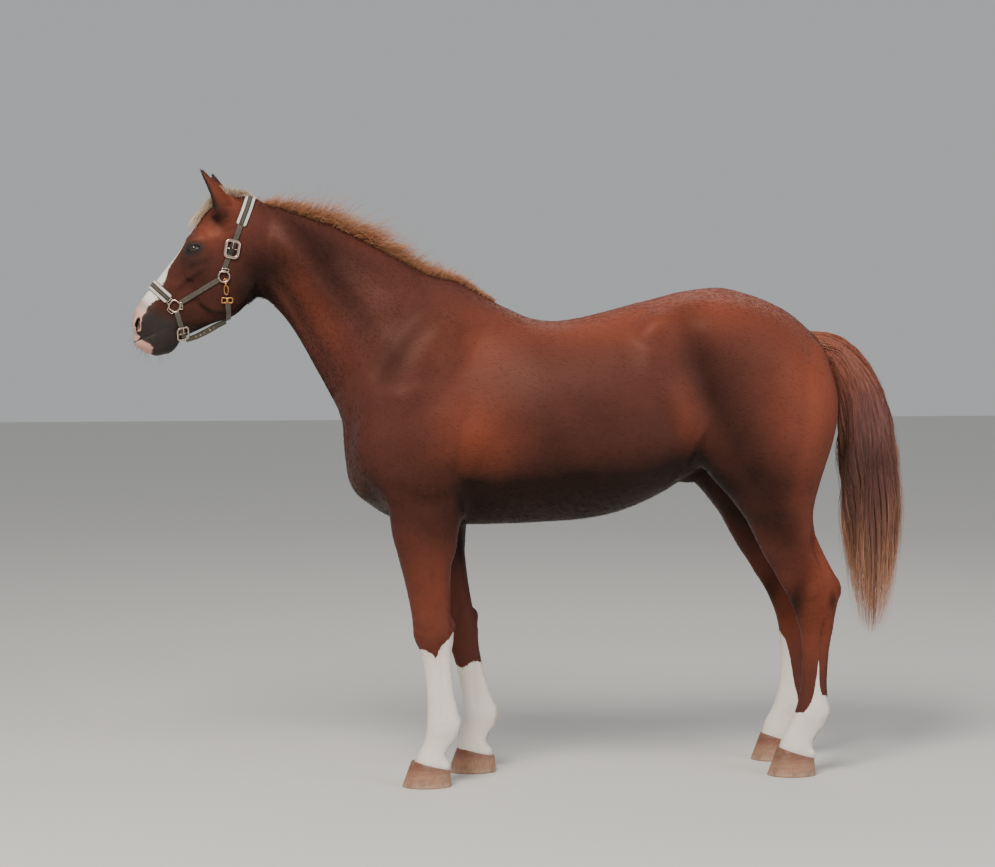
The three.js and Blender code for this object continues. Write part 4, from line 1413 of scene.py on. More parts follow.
def tube_faces(rows: int, spokes: int) -> list[Array]:
    """Faces of a closed tube of rings that ends in two points, which come after the rings.

    Args:
        rows: how many rings it has.
        spokes: how many points each ring has.

    Returns:
        The quads and the triangles.
    """
    i, j = pairs_of(rows - 1, spokes)
    nxt = (j + 1) % spokes
    quads = np.stack([i * spokes + j, i * spokes + nxt, (i + 1) * spokes + nxt, (i + 1) * spokes + j], 1)
    j = np.arange(spokes)
    nxt = (j + 1) % spokes
    first, last, end = rows * spokes, rows * spokes + 1, (rows - 1) * spokes
    near = np.stack([np.full(spokes, first), nxt, j], 1)
    away = np.stack([np.full(spokes, last), end + j, end + nxt], 1)
    return [quads, np.concatenate([near, away])]


def face_outward(made: bpy.types.Object) -> None:
    """Turns a closed mesh's faces so that they look out.

    Args:
        made: the mesh object, changed in place.
    """
    mesh = bmesh.new()
    mesh.from_mesh(made.data)
    bmesh.ops.recalc_face_normals(mesh, faces=mesh.faces)
    mesh.to_mesh(made.data)
    mesh.free()


# ------------------------------------------------------------------------------------------ finishes


def colour(code: str) -> tuple:
    """A linear colour from an sRGB hex code."""
    parts = [int(code.lstrip("#")[i : i + 2], 16) / 255 for i in (0, 2, 4)]
    return tuple(c / 12.92 if c <= 0.04045 else ((c + 0.055) / 1.055) ** 2.4 for c in parts) + (1.0,)


class Tree:
    """A node tree being laid out, one node at a time."""

    def __init__(self, tree: bpy.types.NodeTree) -> None:
        """Takes the tree that nodes are added to."""
        self.tree = tree

    def add(self, kind: str, inputs: Optional[dict] = None, **settings: object) -> bpy.types.Node:
        """Adds a node.

        Args:
            kind: the node's type, without its prefix for shader nodes.
            inputs: for each socket's name or number, a value or another node's output to link to it.
            **settings: the node's own properties.

        Returns:
            The new node.
        """
        made = self.tree.nodes.new(kind if "Node" in kind else "ShaderNode" + kind)
        for name, value in settings.items():
            setattr(made, name, value)
        for name, value in (inputs or {}).items():
            if isinstance(value, bpy.types.NodeSocket):
                self.tree.links.new(value, made.inputs[name])
            else:
                made.inputs[name].default_value = value
        return made

    def values(self, name: str) -> bpy.types.NodeSocket:
        """A colour stored on the mesh, as one socket."""
        return self.add("Attribute", attribute_name=name).outputs["Color"]

    def mix(self, share: object, first: object, second: object, **settings: object) -> bpy.types.NodeSocket:
        """Blends two colours.

        Args:
            share: how much of the second colour shows.
            first: a socket, or a hex code.
            second: the same.
            **settings: the node's own properties.

        Returns:
            The blend.
        """
        pair = [colour(c) if isinstance(c, str) else c for c in (first, second)]
        return self.add("Mix", {0: share, 6: pair[0], 7: pair[1]}, data_type="RGBA", **settings).outputs[2]

    def number(self, kind: str, first: object, second: object, clamp: bool = False) -> bpy.types.NodeSocket:
        """Works out one number from two, by the named operation."""
        return self.add("Math", {0: first, 1: second}, operation=kind, use_clamp=clamp).outputs[0]

    def noise(self, place: object, scale: float, detail: float, **more: float) -> bpy.types.NodeSocket:
        """Soft noise at a place, as a number."""
        return self.add("TexNoise", {"Vector": place, "Scale": scale, "Detail": detail, **more}).outputs[0]

    def stretch(self, place: object, scale: tuple, slope: float = 0.0) -> bpy.types.NodeSocket:
        """A place scaled along each axis, and turned in the side view by some degrees."""
        turn = (0, math.radians(slope), 0)
        return self.add("Mapping", {"Vector": place, "Rotation": turn, "Scale": scale}).outputs[0]

    def remap(
        self, value: object, low: float, high: float, to: tuple = (0, 1), soft: bool = False
    ) -> bpy.types.NodeSocket:
        """Carries a number from one range to another.

        Args:
            value: the number's socket.
            low: the value that becomes the first of `to`.
            high: the value that becomes the second.
            to: the range it is carried to.
            soft: whether it eases in and out.

        Returns:
            The carried number.
        """
        kind = "SMOOTHSTEP" if soft else "LINEAR"
        ends = {0: value, 1: low, 2: high, 3: to[0], 4: to[1]}
        return self.add("MapRange", ends, interpolation_type=kind).outputs[0]

    def bump(self, height: bpy.types.NodeSocket, strength: float, depth: float) -> bpy.types.NodeSocket:
        """A fine relief, its depth in metres."""
        return self.add("Bump", {"Strength": strength, "Distance": depth, "Height": height}).outputs[0]

    def surface(self, settings: dict) -> None:
        """Ends a material's tree in one surface shader with these settings."""
        shader = self.add("BsdfPrincipled", settings)
        self.add("OutputMaterial", {"Surface": shader.outputs[0]})


def new_material(name: str) -> tuple[bpy.types.Material, Tree]:
    """An empty material and its tree.

    Args:
        name: what the material is called.

    Returns:
        The material, and its tree without nodes.
    """
    material = bpy.data.materials.new(name)
    material.use_nodes = True
    material.node_tree.nodes.clear()
    return material, Tree(material.node_tree)


# ------------------------------------------------------------------------------------------ markings


@dataclass(frozen=True)
class Patch:
    """A soft-edged patch of tone on the coat, mirrored left and right; the tables below use such patches for
    painted shade and painted light too.

    Attributes:
        at: its middle as x, distance from the middle plane, and z, mm.
        size: how far it reaches along those axes, mm.
        turn: how it is turned in the side view, degrees.
        weight: how strongly it changes the tone.
    """

    at: tuple
    size: tuple
    turn: float
    weight: float

    def value(self, p: Array) -> Array:
        """Its weight at each point, falling away smoothly.

        Args:
            p: points, in millimetres.

        Returns:
            A weight for each point.
        """
        turn = math.radians(self.turn)
        dx, dz = p[:, 0] - self.at[0], p[:, 2] - self.at[2]
        along = (dx * math.cos(turn) + dz * math.sin(turn)) / self.size[0]
        up = (dz * math.cos(turn) - dx * math.sin(turn)) / self.size[2]
        across = (np.abs(p[:, 1]) - self.at[1]) / self.size[1]
        return self.weight * np.exp(-(along**2 + up**2 + across**2))


# Darker places of the coat: partly its own darker tone, partly painted shade on the belly, in hollows and
# folds, between the legs and on sides turned from the light.
DARK_AND_SHADED_PATCHES = (
    Patch((-150, 0, 880), (560, 290, 190), 0, 1.15),  # belly
    Patch((260, 150, 1000), (150, 160, 90), 20, 0.5),  # flank fold
    Patch((440, 190, 1180), (110, 120, 240), 20, 0.75),  # front of the thigh
    Patch((560, 190, 1010), (150, 90, 90), -50, 0.6),  # above the gaskin
    Patch((-480, 180, 1010), (110, 100, 110), 10, 0.28),  # elbow
    Patch((-680, 120, 1040), (150, 130, 150), 0, 0.4),  # breast by the foreleg
    Patch((-1250, 70, 1600), (120, 70, 110), 40, 0.3),  # cheek
    Patch((-1234, 60, 1848), (38, 70, 36), 0, 1.0),  # hollow before the ear
    Patch((-1300, 70, 1670), (110, 90, 90), -55, 0.3),  # face
    Patch((-560, 170, 1480), (120, 120, 110), 0, 0.25),  # shoulder
    Patch((-1120, 60, 1620), (70, 110, 130), -30, 0.9),  # throat
    Patch((-680, 150, 1400), (60, 110, 130), -25, 0.5),  # hollow before the shoulder
    Patch((-420, 90, 800), (120, 60, 160), 0, 0.5),  # inside the forelegs
    Patch((560, 70, 860), (140, 70, 300), 20, 0.7),  # inside the hind legs
    Patch((720, 150, 560), (90, 90, 90), 0, 0.45),  # below the hock
    Patch((-60, 220, 1120), (380, 170, 150), 0, 0.5),  # lower ribs
    Patch((-60, 240, 960), (480, 150, 90), 4, 0.6),  # turn of the belly
    Patch((-880, 70, 1760), (200, 110, 50), -38, 0.5),  # below the crest
    Patch((650, 180, 985), (60, 90, 40), 0, 0.5),  # top of the gaskin
    Patch((585, 200, 860), (56, 90, 150), 28, 0.8),  # front of the gaskin
    Patch((655, 180, 590), (34, 80, 110), -14, 0.6),  # front of the hock
    Patch((782, 180, 585), (16, 80, 30), 0, 0.6),  # point of the hock
    Patch((-850, 90, 1636), (220, 110, 46), -54, 0.42),  # behind the band of the neck
    Patch((330, 0, 1000), (110, 60, 60), 8, 1.0),  # sheath
    Patch((-960, 70, 1650), (190, 130, 90), -45, 0.5),  # side of the neck
    Patch((318, 200, 1380), (60, 110, 180), 16, 0.6),  # flank hollow
)
# Warmer, lighter places: partly the coat's own orange tone, partly painted light on the croup, loin, buttock
# and the muscles that face the light.
WARM_AND_LIT_PATCHES = (
    Patch((690, 180, 1290), (150, 160, 220), -10, 1.0),  # buttock
    Patch((690, 170, 900), (110, 120, 260), 20, 0.7),  # back of the gaskin
    Patch((360, 100, 1570), (330, 200, 120), 0, 1.0),  # croup
    Patch((-60, 100, 1500), (260, 200, 90), 0, 0.6),  # loin
    Patch((-420, 200, 1130), (130, 120, 130), 0, 1.0),  # triceps
    Patch((262, 200, 1200), (56, 120, 120), 14, 0.9),  # before the stifle
    Patch((-560, 150, 660), (120, 110, 220), 0, 0.5),  # forearm
    Patch((-450, 150, 1450), (160, 200, 120), 0, 0.4),  # shoulder
    Patch((-1268, 80, 1795), (44, 60, 44), 0, 0.5),  # above the eye
    Patch((-1215, 60, 1900), (70, 60, 110), 0, 0.7),  # ears
    Patch((-945, 100, 1590), (190, 110, 40), -58, 0.5),  # band of the neck
    Patch((740, 170, 560), (90, 90, 170), 0, 0.9),  # hock
)


@dataclass(frozen=True)
class Stocking:
    """The white on one leg, by how high it reaches round the leg.

    Attributes:
        leg: which leg it is.
        bearings: degrees round the leg: 0 at the front, 90 on its outer side, 180 at the back.
        heights: the white's height at each bearing, mm.
    """

    leg: str
    bearings: tuple
    heights: tuple

    def reach(self, bearing: Array) -> Array:
        """Height of the white's edge at each bearing in degrees."""
        return np.interp(bearing % 360, self.bearings + (360,), self.heights + self.heights[:1])


STOCKINGS = (
    Stocking(
        "fore_left",
        (0, 40, 62, 80, 98, 130, 165, 200, 270, 330),
        (452, 448, 436, 418, 446, 474, 506, 470, 440, 448),
    ),
    Stocking("fore_right", (0, 60, 120, 180, 240, 270, 300, 330), (362, 372, 380, 368, 372, 366, 356, 350)),
    Stocking(
        "hind_left",
        (0, 40, 74, 86, 93, 97, 101, 105, 114, 128, 180, 250, 320),
        (208, 212, 262, 312, 345, 385, 392, 350, 300, 268, 262, 250, 215),
    ),
    Stocking("hind_right", (0, 60, 110, 180, 250, 275, 300, 330), (446, 400, 300, 205, 200, 260, 340, 420)),
)
# Half width of the blaze, and level of the pink's lower edge, at distances down the head.
BLAZE = ((-80, 0, 124, 164, 235, 312, 380, 420, 460, 490), (12, 17, 18, 22, 33, 37, 44, 54, 52, 46))
NOSE_EDGE = ((300, 330, 362, 393, 425, 450, 467, 485), (60, 84, 90, 79, 65, 52, 32, 4))


@dataclass
class Marks:
    """What the coat is like at a set of points; each value runs from 0 to 1.

    Attributes:
        white: passes one half at the edge of the white hair.
        pink: bare pink skin.
        grey: bare dark skin and dark ear tips, with painted shade inside the ears, along the line of the
            mouth and inside the nostrils.
        dark: how far the coat turns to black-brown, partly its own darker tone and partly painted shade.
        warm: how far it turns to orange, partly its own warm tone and partly painted light.
    """

    white: Array
    pink: Array
    grey: Array
    dark: Array
    warm: Array


WHITE_REACH = 60.0  # how far from a white edge its distance is still kept, mm


class Markings:
    """Works out the coat's markings, with the shade and light painted into them, anywhere on the horse."""

    def __init__(self, form: HorseField) -> None:
        """Takes the form, for where its legs stand."""
        self.form = form

    def legs_white(self, p: Array) -> Array:
        """Distance below the stockings' edges, mm; negative above them.

        Args:
            p: points, in millimetres.

        Returns:
            A distance for each point, mm.
        """
        out = np.full(len(p), -WHITE_REACH)
        for stocking in STOCKINGS:
            stance, limb, _ = self.form.legs[stocking.leg]
            own = (p[:, 2] < 640) & (p[:, 1] * stance.sign > 0)
            own &= (p[:, 0] < 0) if stance.fore else (p[:, 0] > 0)
            q = p[own]
            _, up, side = limb.section(q)
            bearing = np.degrees(np.arctan2(side * stance.sign, up))
            out[own] = stocking.reach(bearing) - q[:, 2]
        return out

    def head_places(self, p: Array) -> tuple[Array, Array, Array]:
        """Distance down the head, level, and distance from the middle plane."""
        return down_head(p), (p - HEAD_ORIGIN) @ HEAD_UP, np.abs(p[:, 1])

    def ear_tips(self, p: Array) -> Array:
        """How black the ears are: their own dark tips, with painted shade along their open sides and lower
        down on the far ear.

        Args:
            p: points, in millimetres.

        Returns:
            A value from 0 to 1 for each point.
        """
        tips = np.zeros(len(p))
        for shape in EARS:
            stem, open_way, _, length = shape.axes()
            d = p - np.array(shape.root)
            t = (d @ stem) / length
            _, depth, curl = shape.profile(t)
            rim = np.clip((d @ open_way + curl * 0.5 - 4) / np.maximum(depth, 1), -1, 2)
            # Painted shade: the far ear turns black from lower down, and the open side's black is shade
            # inside the cup.
            black_from = 0.78 if shape.root[1] < 0 else 0.6
            black = np.maximum(smooth_step(t, black_from, black_from + 0.19), smooth_step(rim, 0.0, 0.35))
            tips += black * (p[:, 1] * shape.root[1] > 0) * (t > 0.12)
        return tips

    def at(self, p: Array, normals: Array) -> Marks:
        """The markings at points on the coat.

        Args:
            p: points in the horse's own millimetres.
            normals: the surface's outward directions there.

        Returns:
            The markings.
        """
        along, level, side = self.head_places(p)
        on_head = (p[:, 0] < -1060) & (along > -110) & (p[:, 2] > 1380)
        frontal = smooth_step(normals @ HEAD_UP, -0.25, 0.35)
        blaze = np.interp(along, *BLAZE) * frontal - side
        nose_side = level - np.interp(along, *NOSE_EDGE)
        blaze = np.where(along > 300, np.minimum(blaze, nose_side), blaze)
        blaze = np.where(on_head & (p[:, 2] < 1870), blaze, -WHITE_REACH)
        white = np.maximum(self.legs_white(p), blaze)
        muzzle = smooth_step(along - 0.25 * level, 318, 372) * on_head
        muzzle = np.maximum(muzzle, on_head * smooth_step(along, 330, 380))
        pink = smooth_step(along, 345, 400) * on_head * smooth_step(blaze, -2, 4)
        mouth = (p[:, 2] - 1450) - (p[:, 0] + 1492) * 0.42
        lip = smooth_step(-(p[:, 0] + 1448 + 3 * np.sin(p[:, 2] / 6) + 2 * np.sin(p[:, 2] / 2.3)), -3, 3)
        below_lip = 1453 - p[:, 2] - (p[:, 0] + 1482) * 0.5
        pink = np.maximum(pink, lip * smooth_step(below_lip, -2, 2) * on_head * (along > 400))
        x, y, z = EYE_CENTRE
        eye_along, eye_up, eye_out = eye_places(p)
        round_eye = np.sqrt(((eye_along + 2) / 42) ** 2 + ((eye_up - 1) / 25) ** 2) + (eye_out < 0)
        eye = smooth_step(-round_eye, -1.15, -0.5) * on_head
        below = Patch((x - 12, y, z - 34), (44, 40, 28), 0, 0.9).value(p)
        ear = (p[:, 2] > 1865) & (along < -20)
        tips = ear * self.ear_tips(p)
        # Painted shade: black along the line where the lips meet, and inside each nostril.
        lips = smooth_step(-np.abs(mouth), -5, -1.5) * on_head * (along > 385)
        nostril_shade = Patch(NOSTRIL, (17, 90, 6.5), NOSTRIL_TURN, 1.0).value(p)
        opening = smooth_step(nostril_shade, 0.46, 0.72) * on_head * (side > 20)
        grey = np.clip(muzzle + eye * 0.95 + 0.85 * tips + below * 0.5, 0, 1)
        black = np.clip(np.maximum(lips, opening), 0, 1)
        # The coat's darker tone, with painted shade from the patches.
        dark = sum(patch.value(p) for patch in DARK_AND_SHADED_PATCHES)
        # Painted shade on every surface that faces down.
        dark += 0.45 * smooth_step(-normals[:, 2], 0.25, 0.95) * (p[:, 2] > 780)
        dark += 0.5 * smooth_step(along, 250, 330) * on_head
        # The coat's warm tone, with painted light from the patches.
        warm = sum(patch.value(p) for patch in WARM_AND_LIT_PATCHES)
        return Marks(
            white=np.clip(0.5 + white / (2 * WHITE_REACH), 0, 1),
            pink=pink * (1 - black),
            grey=np.maximum(grey * (1 - pink), black),
            dark=np.clip(dark, 0, 1),
            warm=np.clip(warm, 0, 1),
        )


def paint(made: bpy.types.Object, marks: Marks) -> None:
    """Stores the markings, with their painted shade and painted light, on a mesh, as two colours for each
    vertex.

    Args:
        made: the mesh object.
        marks: the rules for the markings.
    """
    ones = np.ones(len(marks.dark))
    store(made, "marks", np.stack([marks.white, marks.pink, marks.grey, ones], 1))
    store(made, "tones_and_shading", np.stack([marks.dark, marks.warm, 0 * ones, ones], 1))


def vertex_normals(made: bpy.types.Object) -> Array:
    """The outward direction at each vertex.

    Args:
        made: the mesh object.

    Returns:
        A unit row for each vertex.
    """
    out = np.empty(len(made.data.vertices) * 3, np.float32)
    made.data.vertices.foreach_get("normal", out)
    return out.reshape(-1, 3).astype(float)


@dataclass(frozen=True)
class CoatFinish:
    """A short chestnut coat with white and bare points, with painted shade and painted light mixed in through
    the stored tones.
    """

    chestnut: str = "#532f28"
    # Black-brown for the dark coat and for painted shade.
    dark: str = "#1a1210"
    # Orange for the warm coat and for painted light.
    warm: str = "#85432f"
    white: str = "#e8dfd2"
    pink: str = "#c79a8b"
    grey: str = "#2b2a29"
    white_root: str = "#bdb1a1"
    gloss: str = "#eeb8a2"
    bloom: str = "#ffb9a2"
    roughness: float = 0.47
    hair_width: float = 0.0009  # metres across one streak of the bump

    def material(self, name: str, bump: float) -> bpy.types.Material:
        """The coat's material.

        Args:
            name: what the material is called.
            bump: depth of the hair's relief, metres; none on hair that is modelled.

        Returns:
            The material.
        """
        material, tree = new_material(name)
        place = tree.add("TexCoord").outputs["Object"]
        mark = tree.add("SeparateColor", {0: tree.values("marks")}).outputs
        tone = tree.add("SeparateColor", {0: tree.values("tones_and_shading")}).outputs
        combed = tree.stretch(place, (0.08, 1, 1), 24)
        streak = tree.noise(combed, 1 / self.hair_width / 3, 3)
        blotch = tree.noise(place, 9, 3)
        jag = tree.noise(tree.stretch(place, (1, 1, 0.28)), 190, 4, Roughness=0.65)

        def swing(value: bpy.types.NodeSocket, size: float) -> bpy.types.NodeSocket:
            """Noise made to swing about nothing."""
            return tree.number("MULTIPLY", tree.number("SUBTRACT", value, 0.5), size)

        fine = swing(streak, 0.35)
        # The stored tones bring painted shade and painted light in with the coat's own tone.
        dark = tree.number("ADD", tone[0], tree.number("ADD", swing(blotch, 0.5), fine), True)
        base = tree.mix(dark, tree.mix(tone[1], self.chestnut, self.warm), self.dark)
        edge = tree.number("ADD", mark[0], swing(jag, 0.16))
        is_white = tree.remap(edge, 0.488, 0.512, soft=True)
        white = tree.mix(tree.number("MULTIPLY", fine, 1.2, True), self.white, self.white_root)
        base = tree.mix(is_white, base, white)
        base = tree.mix(mark[2], base, self.grey)
        base = tree.mix(mark[1], base, self.pink)
        settings = {
            "Base Color": base,
            "Roughness": self.roughness,
            "Specular IOR Level": 0.2,
            "Specular Tint": colour(self.gloss),
            "Sheen Weight": 0.01,
            "Sheen Roughness": 0.4,
            "Sheen Tint": colour(self.bloom),
        }
        if bump:
            settings["Normal"] = tree.bump(streak, 0.55, bump)
        tree.surface(settings)
        return material


FLESH = ["head", "neck", "chest", "barrel", "hindquarters", "tail_dock", "ear_left", "ear_right"]
FLESH += [f"fore_{side}_{part}" for side in ("left", "right") for part in ("forearm", "cannon", "pastern")]
FLESH += [f"hind_{side}_{part}" for side in ("left", "right") for part in ("gaskin", "cannon", "pastern")]


class Skin:
    """The one skin that covers all the flesh."""

    def __init__(self, form: HorseField) -> None:
        """Takes the form that it covers."""
        self.form = form

    def build(self) -> bpy.types.Object:
        """Meshes the skin and gives it its coat colours.

        Returns:
            The mesh object.
        """
        verts, faces = SkinBuilder(self.form).build()
        made = make_object("skin", verts, faces)
        paint(made, Markings(self.form).at(verts, vertex_normals(made)))
        made.data.materials.append(CoatFinish().material("chestnut hide", 0.0006))
        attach(made, "root")
        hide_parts(*FLESH)
        log.info("skin: %d vertices, %d faces", len(verts), sum(len(f) for f in faces))
        return made


# ------------------------------------------------------------------------------------------ eyes


@dataclass(frozen=True)
class EyeFinish:
    """A wet dark brown eye: the clear coat gives the eye its spark."""

    iris: str = "#3a2414"
    pupil: str = "#050607"
    rim: str = "#15100d"
    white: str = "#6d5a4c"

    def material(self) -> bpy.types.Material:
        """The eyeball's material, coloured by how far each place lies from the middle of the eye.

        Returns:
            The material.
        """
        material, tree = new_material("wet dark eye")
        zone = tree.add("SeparateColor", {0: tree.values("zones")}).outputs
        base = tree.mix(zone[0], self.iris, self.pupil)
        base = tree.mix(zone[1], base, self.rim)
        base = tree.mix(zone[2], base, self.white)
        tree.surface({"Base Color": base, "Roughness": 0.12, "Coat Weight": 1.0, "Coat Roughness": 0.02})
        return material


@dataclass(frozen=True)
class Eye:
    """One eyeball with a bulging cornea and a wide pupil."""

    side: int
    rings: int = 40
    spokes: int = 64
    iris_edge: float = 46.0  # angle from the middle of the eye, degrees
    bulge: float = 2.2  # how far the cornea stands out, mm
    gap: float = 0.4  # how far the ball lies inside its socket, mm
    pupil_long: float = 0.42  # half sizes of the pupil, as shares of the ball's radius
    pupil_high: float = 0.17

    def build(self, material: bpy.types.Material) -> bpy.types.Object:
        """Makes the eyeball.

        Args:
            material: what it is made of.

        Returns:
            The mesh object.
        """
        along, up = eye_axes()
        angle = np.linspace(0, math.pi, self.rings + 1)[1:-1]
        turn = np.linspace(0, 2 * math.pi, self.spokes, endpoint=False)
        a, t = (g.ravel() for g in np.meshgrid(angle, turn, indexing="ij"))
        a, t = np.append(a, (0, math.pi)), np.append(t, (0, 0))
        degrees = np.degrees(a)
        r = EYE_RADIUS - self.gap + self.bulge * smooth_step(-degrees, -self.iris_edge, -5)
        x, y = np.sin(a) * np.cos(t), np.sin(a) * np.sin(t)
        local = r[:, None] * (x[:, None] * along + y[:, None] * up + np.cos(a)[:, None] * EYE_OUT)
        verts = local + np.array(EYE_CENTRE)
        verts[:, 1] *= self.side
        name = "right" if self.side > 0 else "left"
        made = make_object("eyeball_" + name, verts, tube_faces(len(angle), self.spokes))
        face_outward(made)
        pupil = np.hypot(x / self.pupil_long, y / self.pupil_high)
        opening = smooth_step(-pupil, -1.12, -0.88)
        rim = smooth_step(degrees, self.iris_edge - 9, self.iris_edge - 1)
        white = smooth_step(degrees, self.iris_edge, self.iris_edge + 10)
        store(made, "zones", np.stack([opening, rim, white, np.ones(len(a))], 1))
        made.data.materials.append(material)
        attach(made, "root")
        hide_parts("eye_" + name)
        return made


# ------------------------------------------------------------------------------------------ hooves


@dataclass(frozen=True)
class HornFinish:
    """Ribbed hoof horn, darker below the coronet and paler towards the ground."""

    horn: str = "#a87c60"
    upper: str = "#7a4c38"
    lower: str = "#b9967c"
    scuffed: str = "#8b6f5c"
    grain: str = "#6b4635"

    def material(self) -> bpy.types.Material:
        """The horn's material; growth rings lie level and fibres run down the wall.

        Returns:
            The material.
        """
        material, tree = new_material("hoof horn")
        place = tree.add("TexCoord").outputs["Object"]
        height = tree.add("SeparateXYZ", {0: place}).outputs[2]
        fibre = tree.noise(tree.stretch(place, (1, 1, 0.07)), 330, 4)
        ring = tree.noise(tree.stretch(place, (0.12, 0.12, 1)), 210, 2)
        base = tree.mix(tree.remap(height, 0.030, 0.074, soft=True), self.horn, self.upper)
        base = tree.mix(tree.remap(height, 0.024, 0.0, soft=True), base, self.lower)
        worn = tree.remap(tree.noise(place, 38, 3), 0.48, 0.72, (0, 0.75))
        base = tree.mix(worn, base, self.scuffed)
        base = tree.mix(tree.remap(fibre, 0.35, 0.7, (0, 0.45)), base, self.grain)
        relief = tree.bump(tree.number("ADD", ring, fibre), 0.5, 0.0012)
        tree.surface({"Base Color": base, "Roughness": 0.5, "Normal": relief})
        return material


HOOF_ROWS = (  # height, length, half width, and how far back the toe lies
    (0, 166, 66, 0),
    (3, 167, 66.5, 0.5),
    (25, 157, 62, 9),
    (55, 143, 56, 20),
    (85, 128, 51, 32),
    (112, 112, 45, 44),
)
# Rings of the coronet's rounded edge and of the hollow sole: how far in they lie, and their level, mm.
CORONET_ROWS = ((0.035, 1.6), (0.09, 1.8), (0.2, -3.0))
SOLE_ROWS = ((0.14, 0.0), (0.2, 5.0), (0.55, 8.0))


@dataclass(frozen=True)
class Hoof:
    """One hoof: a ringed wall under a sloping coronet, with heels and a hollow sole."""

    stance: Stance
    spokes: int = 72
    levels: int = 22

    def outline(self, height: Array, turn: Array) -> tuple[Array, Array]:
        """Where the wall stands at a height and a bearing; 0 is the toe.

        Args:
            height: height above the floor, mm.
            turn: bearing, in radians.

        Returns:
            X along the horse, and the distance to the side of the hoof's own middle, mm.
        """
        heights, length, width, back = np.array(HOOF_ROWS, float).T
        long, wide = np.interp(height, heights, length) / 2, np.interp(height, heights, width)
        toe = (-652 if self.stance.fore else 576) + self.stance.trail(0) + np.interp(height, heights, back)
        c, s = np.cos(turn), np.sin(turn)
        power = 2.0 + 0.5 * smooth_step(-c, 0.0, 0.8)
        r = (np.abs(c) ** power + np.abs(s) ** power) ** (-1 / power)
        waist = 1 - 0.10 * smooth_step(-c, 0.55, 1.0) * (1 - np.abs(s) ** 2)
        narrow = 1 - 0.12 * smooth_step(-c, 0.1, 1.0)
        ring = 0.35 * np.sin(height * 0.95) + 0.25 * np.sin(height * 0.41 + 2 * c)
        x = toe + long - (long + ring) * c * r * waist
        y = (wide + ring) * s * r * narrow
        return x, y

    def coronet(self, x: Array) -> Array:
        """Height of the coronet above the floor at a place along the hoof.

        Args:
            x: places along the hoof, mm.

        Returns:
            A height for each place, mm.
        """
        middle = (-552 if self.stance.fore else 672) + self.stance.trail(60)
        height, fall = (66, 0.235) if self.stance.fore else (72, 0.29)
        return height - fall * (x - middle)

    def build(self, material: bpy.types.Material) -> bpy.types.Object:
        """Makes the hoof as one closed body.

        Args:
            material: what it is made of.

        Returns:
            The mesh object.
        """
        turn = np.linspace(0, 2 * math.pi, self.spokes, endpoint=False)
        top = np.full(self.spokes, 70.0)
        for _ in range(4):
            x, _ = self.outline(top, turn)
            top = self.coronet(x)
        middle_y = self.stance.side(0, 128 if self.stance.fore else 136)
        middle_x = float(self.outline(np.zeros(1), np.zeros(1))[0][0] + 84)
        rows = []
        for share in np.linspace(0, 1, self.levels):
            z = top * share
            x, y = self.outline(z, turn)
            rows.append(np.stack([x, y, z], 1))
        rim = rows[-1]
        centre = np.array([rim[:, 0].mean(), 0, 0])
        for inward, up in CORONET_ROWS:
            row = rim + (centre - rim) * np.array([inward, inward, 0])
            row[:, 2] += up
            rows.append(row)
        sole = []
        for inward, up in SOLE_ROWS:
            row = rows[0] + (np.array([middle_x, 0, 0]) - rows[0]) * np.array([inward, inward, 0])
            row[:, 2] = up
            sole.append(row)
        rows = sole[::-1] + rows
        verts = np.concatenate(rows + [rows[0].mean(0)[None], rows[-1].mean(0)[None]])
        verts[:, 1] = self.stance.sign * (verts[:, 1] + middle_y)
        made = make_object(self.stance.name + "_horn", verts, tube_faces(len(rows), self.spokes))
        face_outward(made)
        made.data.materials.append(material)
        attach(made, "root")
        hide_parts(self.stance.name + "_hoof")
        return made


# ------------------------------------------------------------------------------------------ halter


class Trim(Enum):
    """The ways in which the halter's straps are woven or covered."""

    PADDED = 0
    NARROW = 1
    TONGUE = 2


@dataclass(frozen=True)
class WebbingFinish:
    """Woven webbing: taupe with dark edges, or striped pale padding with thin dark lines."""

    taupe: str = "#474136"
    edge: str = "#12100f"
    pale: str = "#d9d1c8"
    olive: str = "#4e4a38"
    dust: str = "#6b5b49"

    def material(self, trim: Trim) -> bpy.types.Material:
        """The material of one kind of strap, striped by the place across it.

        Args:
            trim: which kind of strap.

        Returns:
            The material.
        """
        material, tree = new_material(f"{trim.name.lower()} webbing")
        across = tree.add("Attribute", attribute_name="across").outputs["Fac"]
        along = tree.add("Attribute", attribute_name="along").outputs["Fac"]
        wide = tree.number("ABSOLUTE", across, 0.0)
        stripes = tree.add("ValToRGB", {0: wide})
        stripes.color_ramp.interpolation = "CONSTANT"
        bands = {
            Trim.PADDED: ((0, self.taupe), (0.2, self.edge), (0.42, self.pale), (0.86, self.edge)),
            Trim.NARROW: ((0, self.taupe), (0.62, self.edge)),
            Trim.TONGUE: ((0, self.olive), (0.74, self.edge)),
        }[trim]
        while len(stripes.color_ramp.elements) < len(bands):
            stripes.color_ramp.elements.new(0.5)
        for element, (place, code) in zip(stripes.color_ramp.elements, bands):
            element.position = place
            element.color = colour(code)
        weave = tree.stretch(tree.add("CombineXYZ", {0: across, 1: along}).outputs[0], (11, 900, 1))
        thread = tree.add("TexWave", {"Vector": weave, "Scale": 1.0}, bands_direction="DIAGONAL")
        grime = tree.noise(tree.add("TexCoord").outputs["Object"], 60, 4)
        base = tree.mix(tree.remap(grime, 0.35, 0.75, (0, 0.2)), stripes.outputs[0], self.dust)
        relief = tree.bump(thread.outputs["Fac"], 0.5, 0.0006)
        tree.surface({"Base Color": base, "Roughness": 0.78, "Sheen Weight": 0.15, "Normal": relief})
        return material


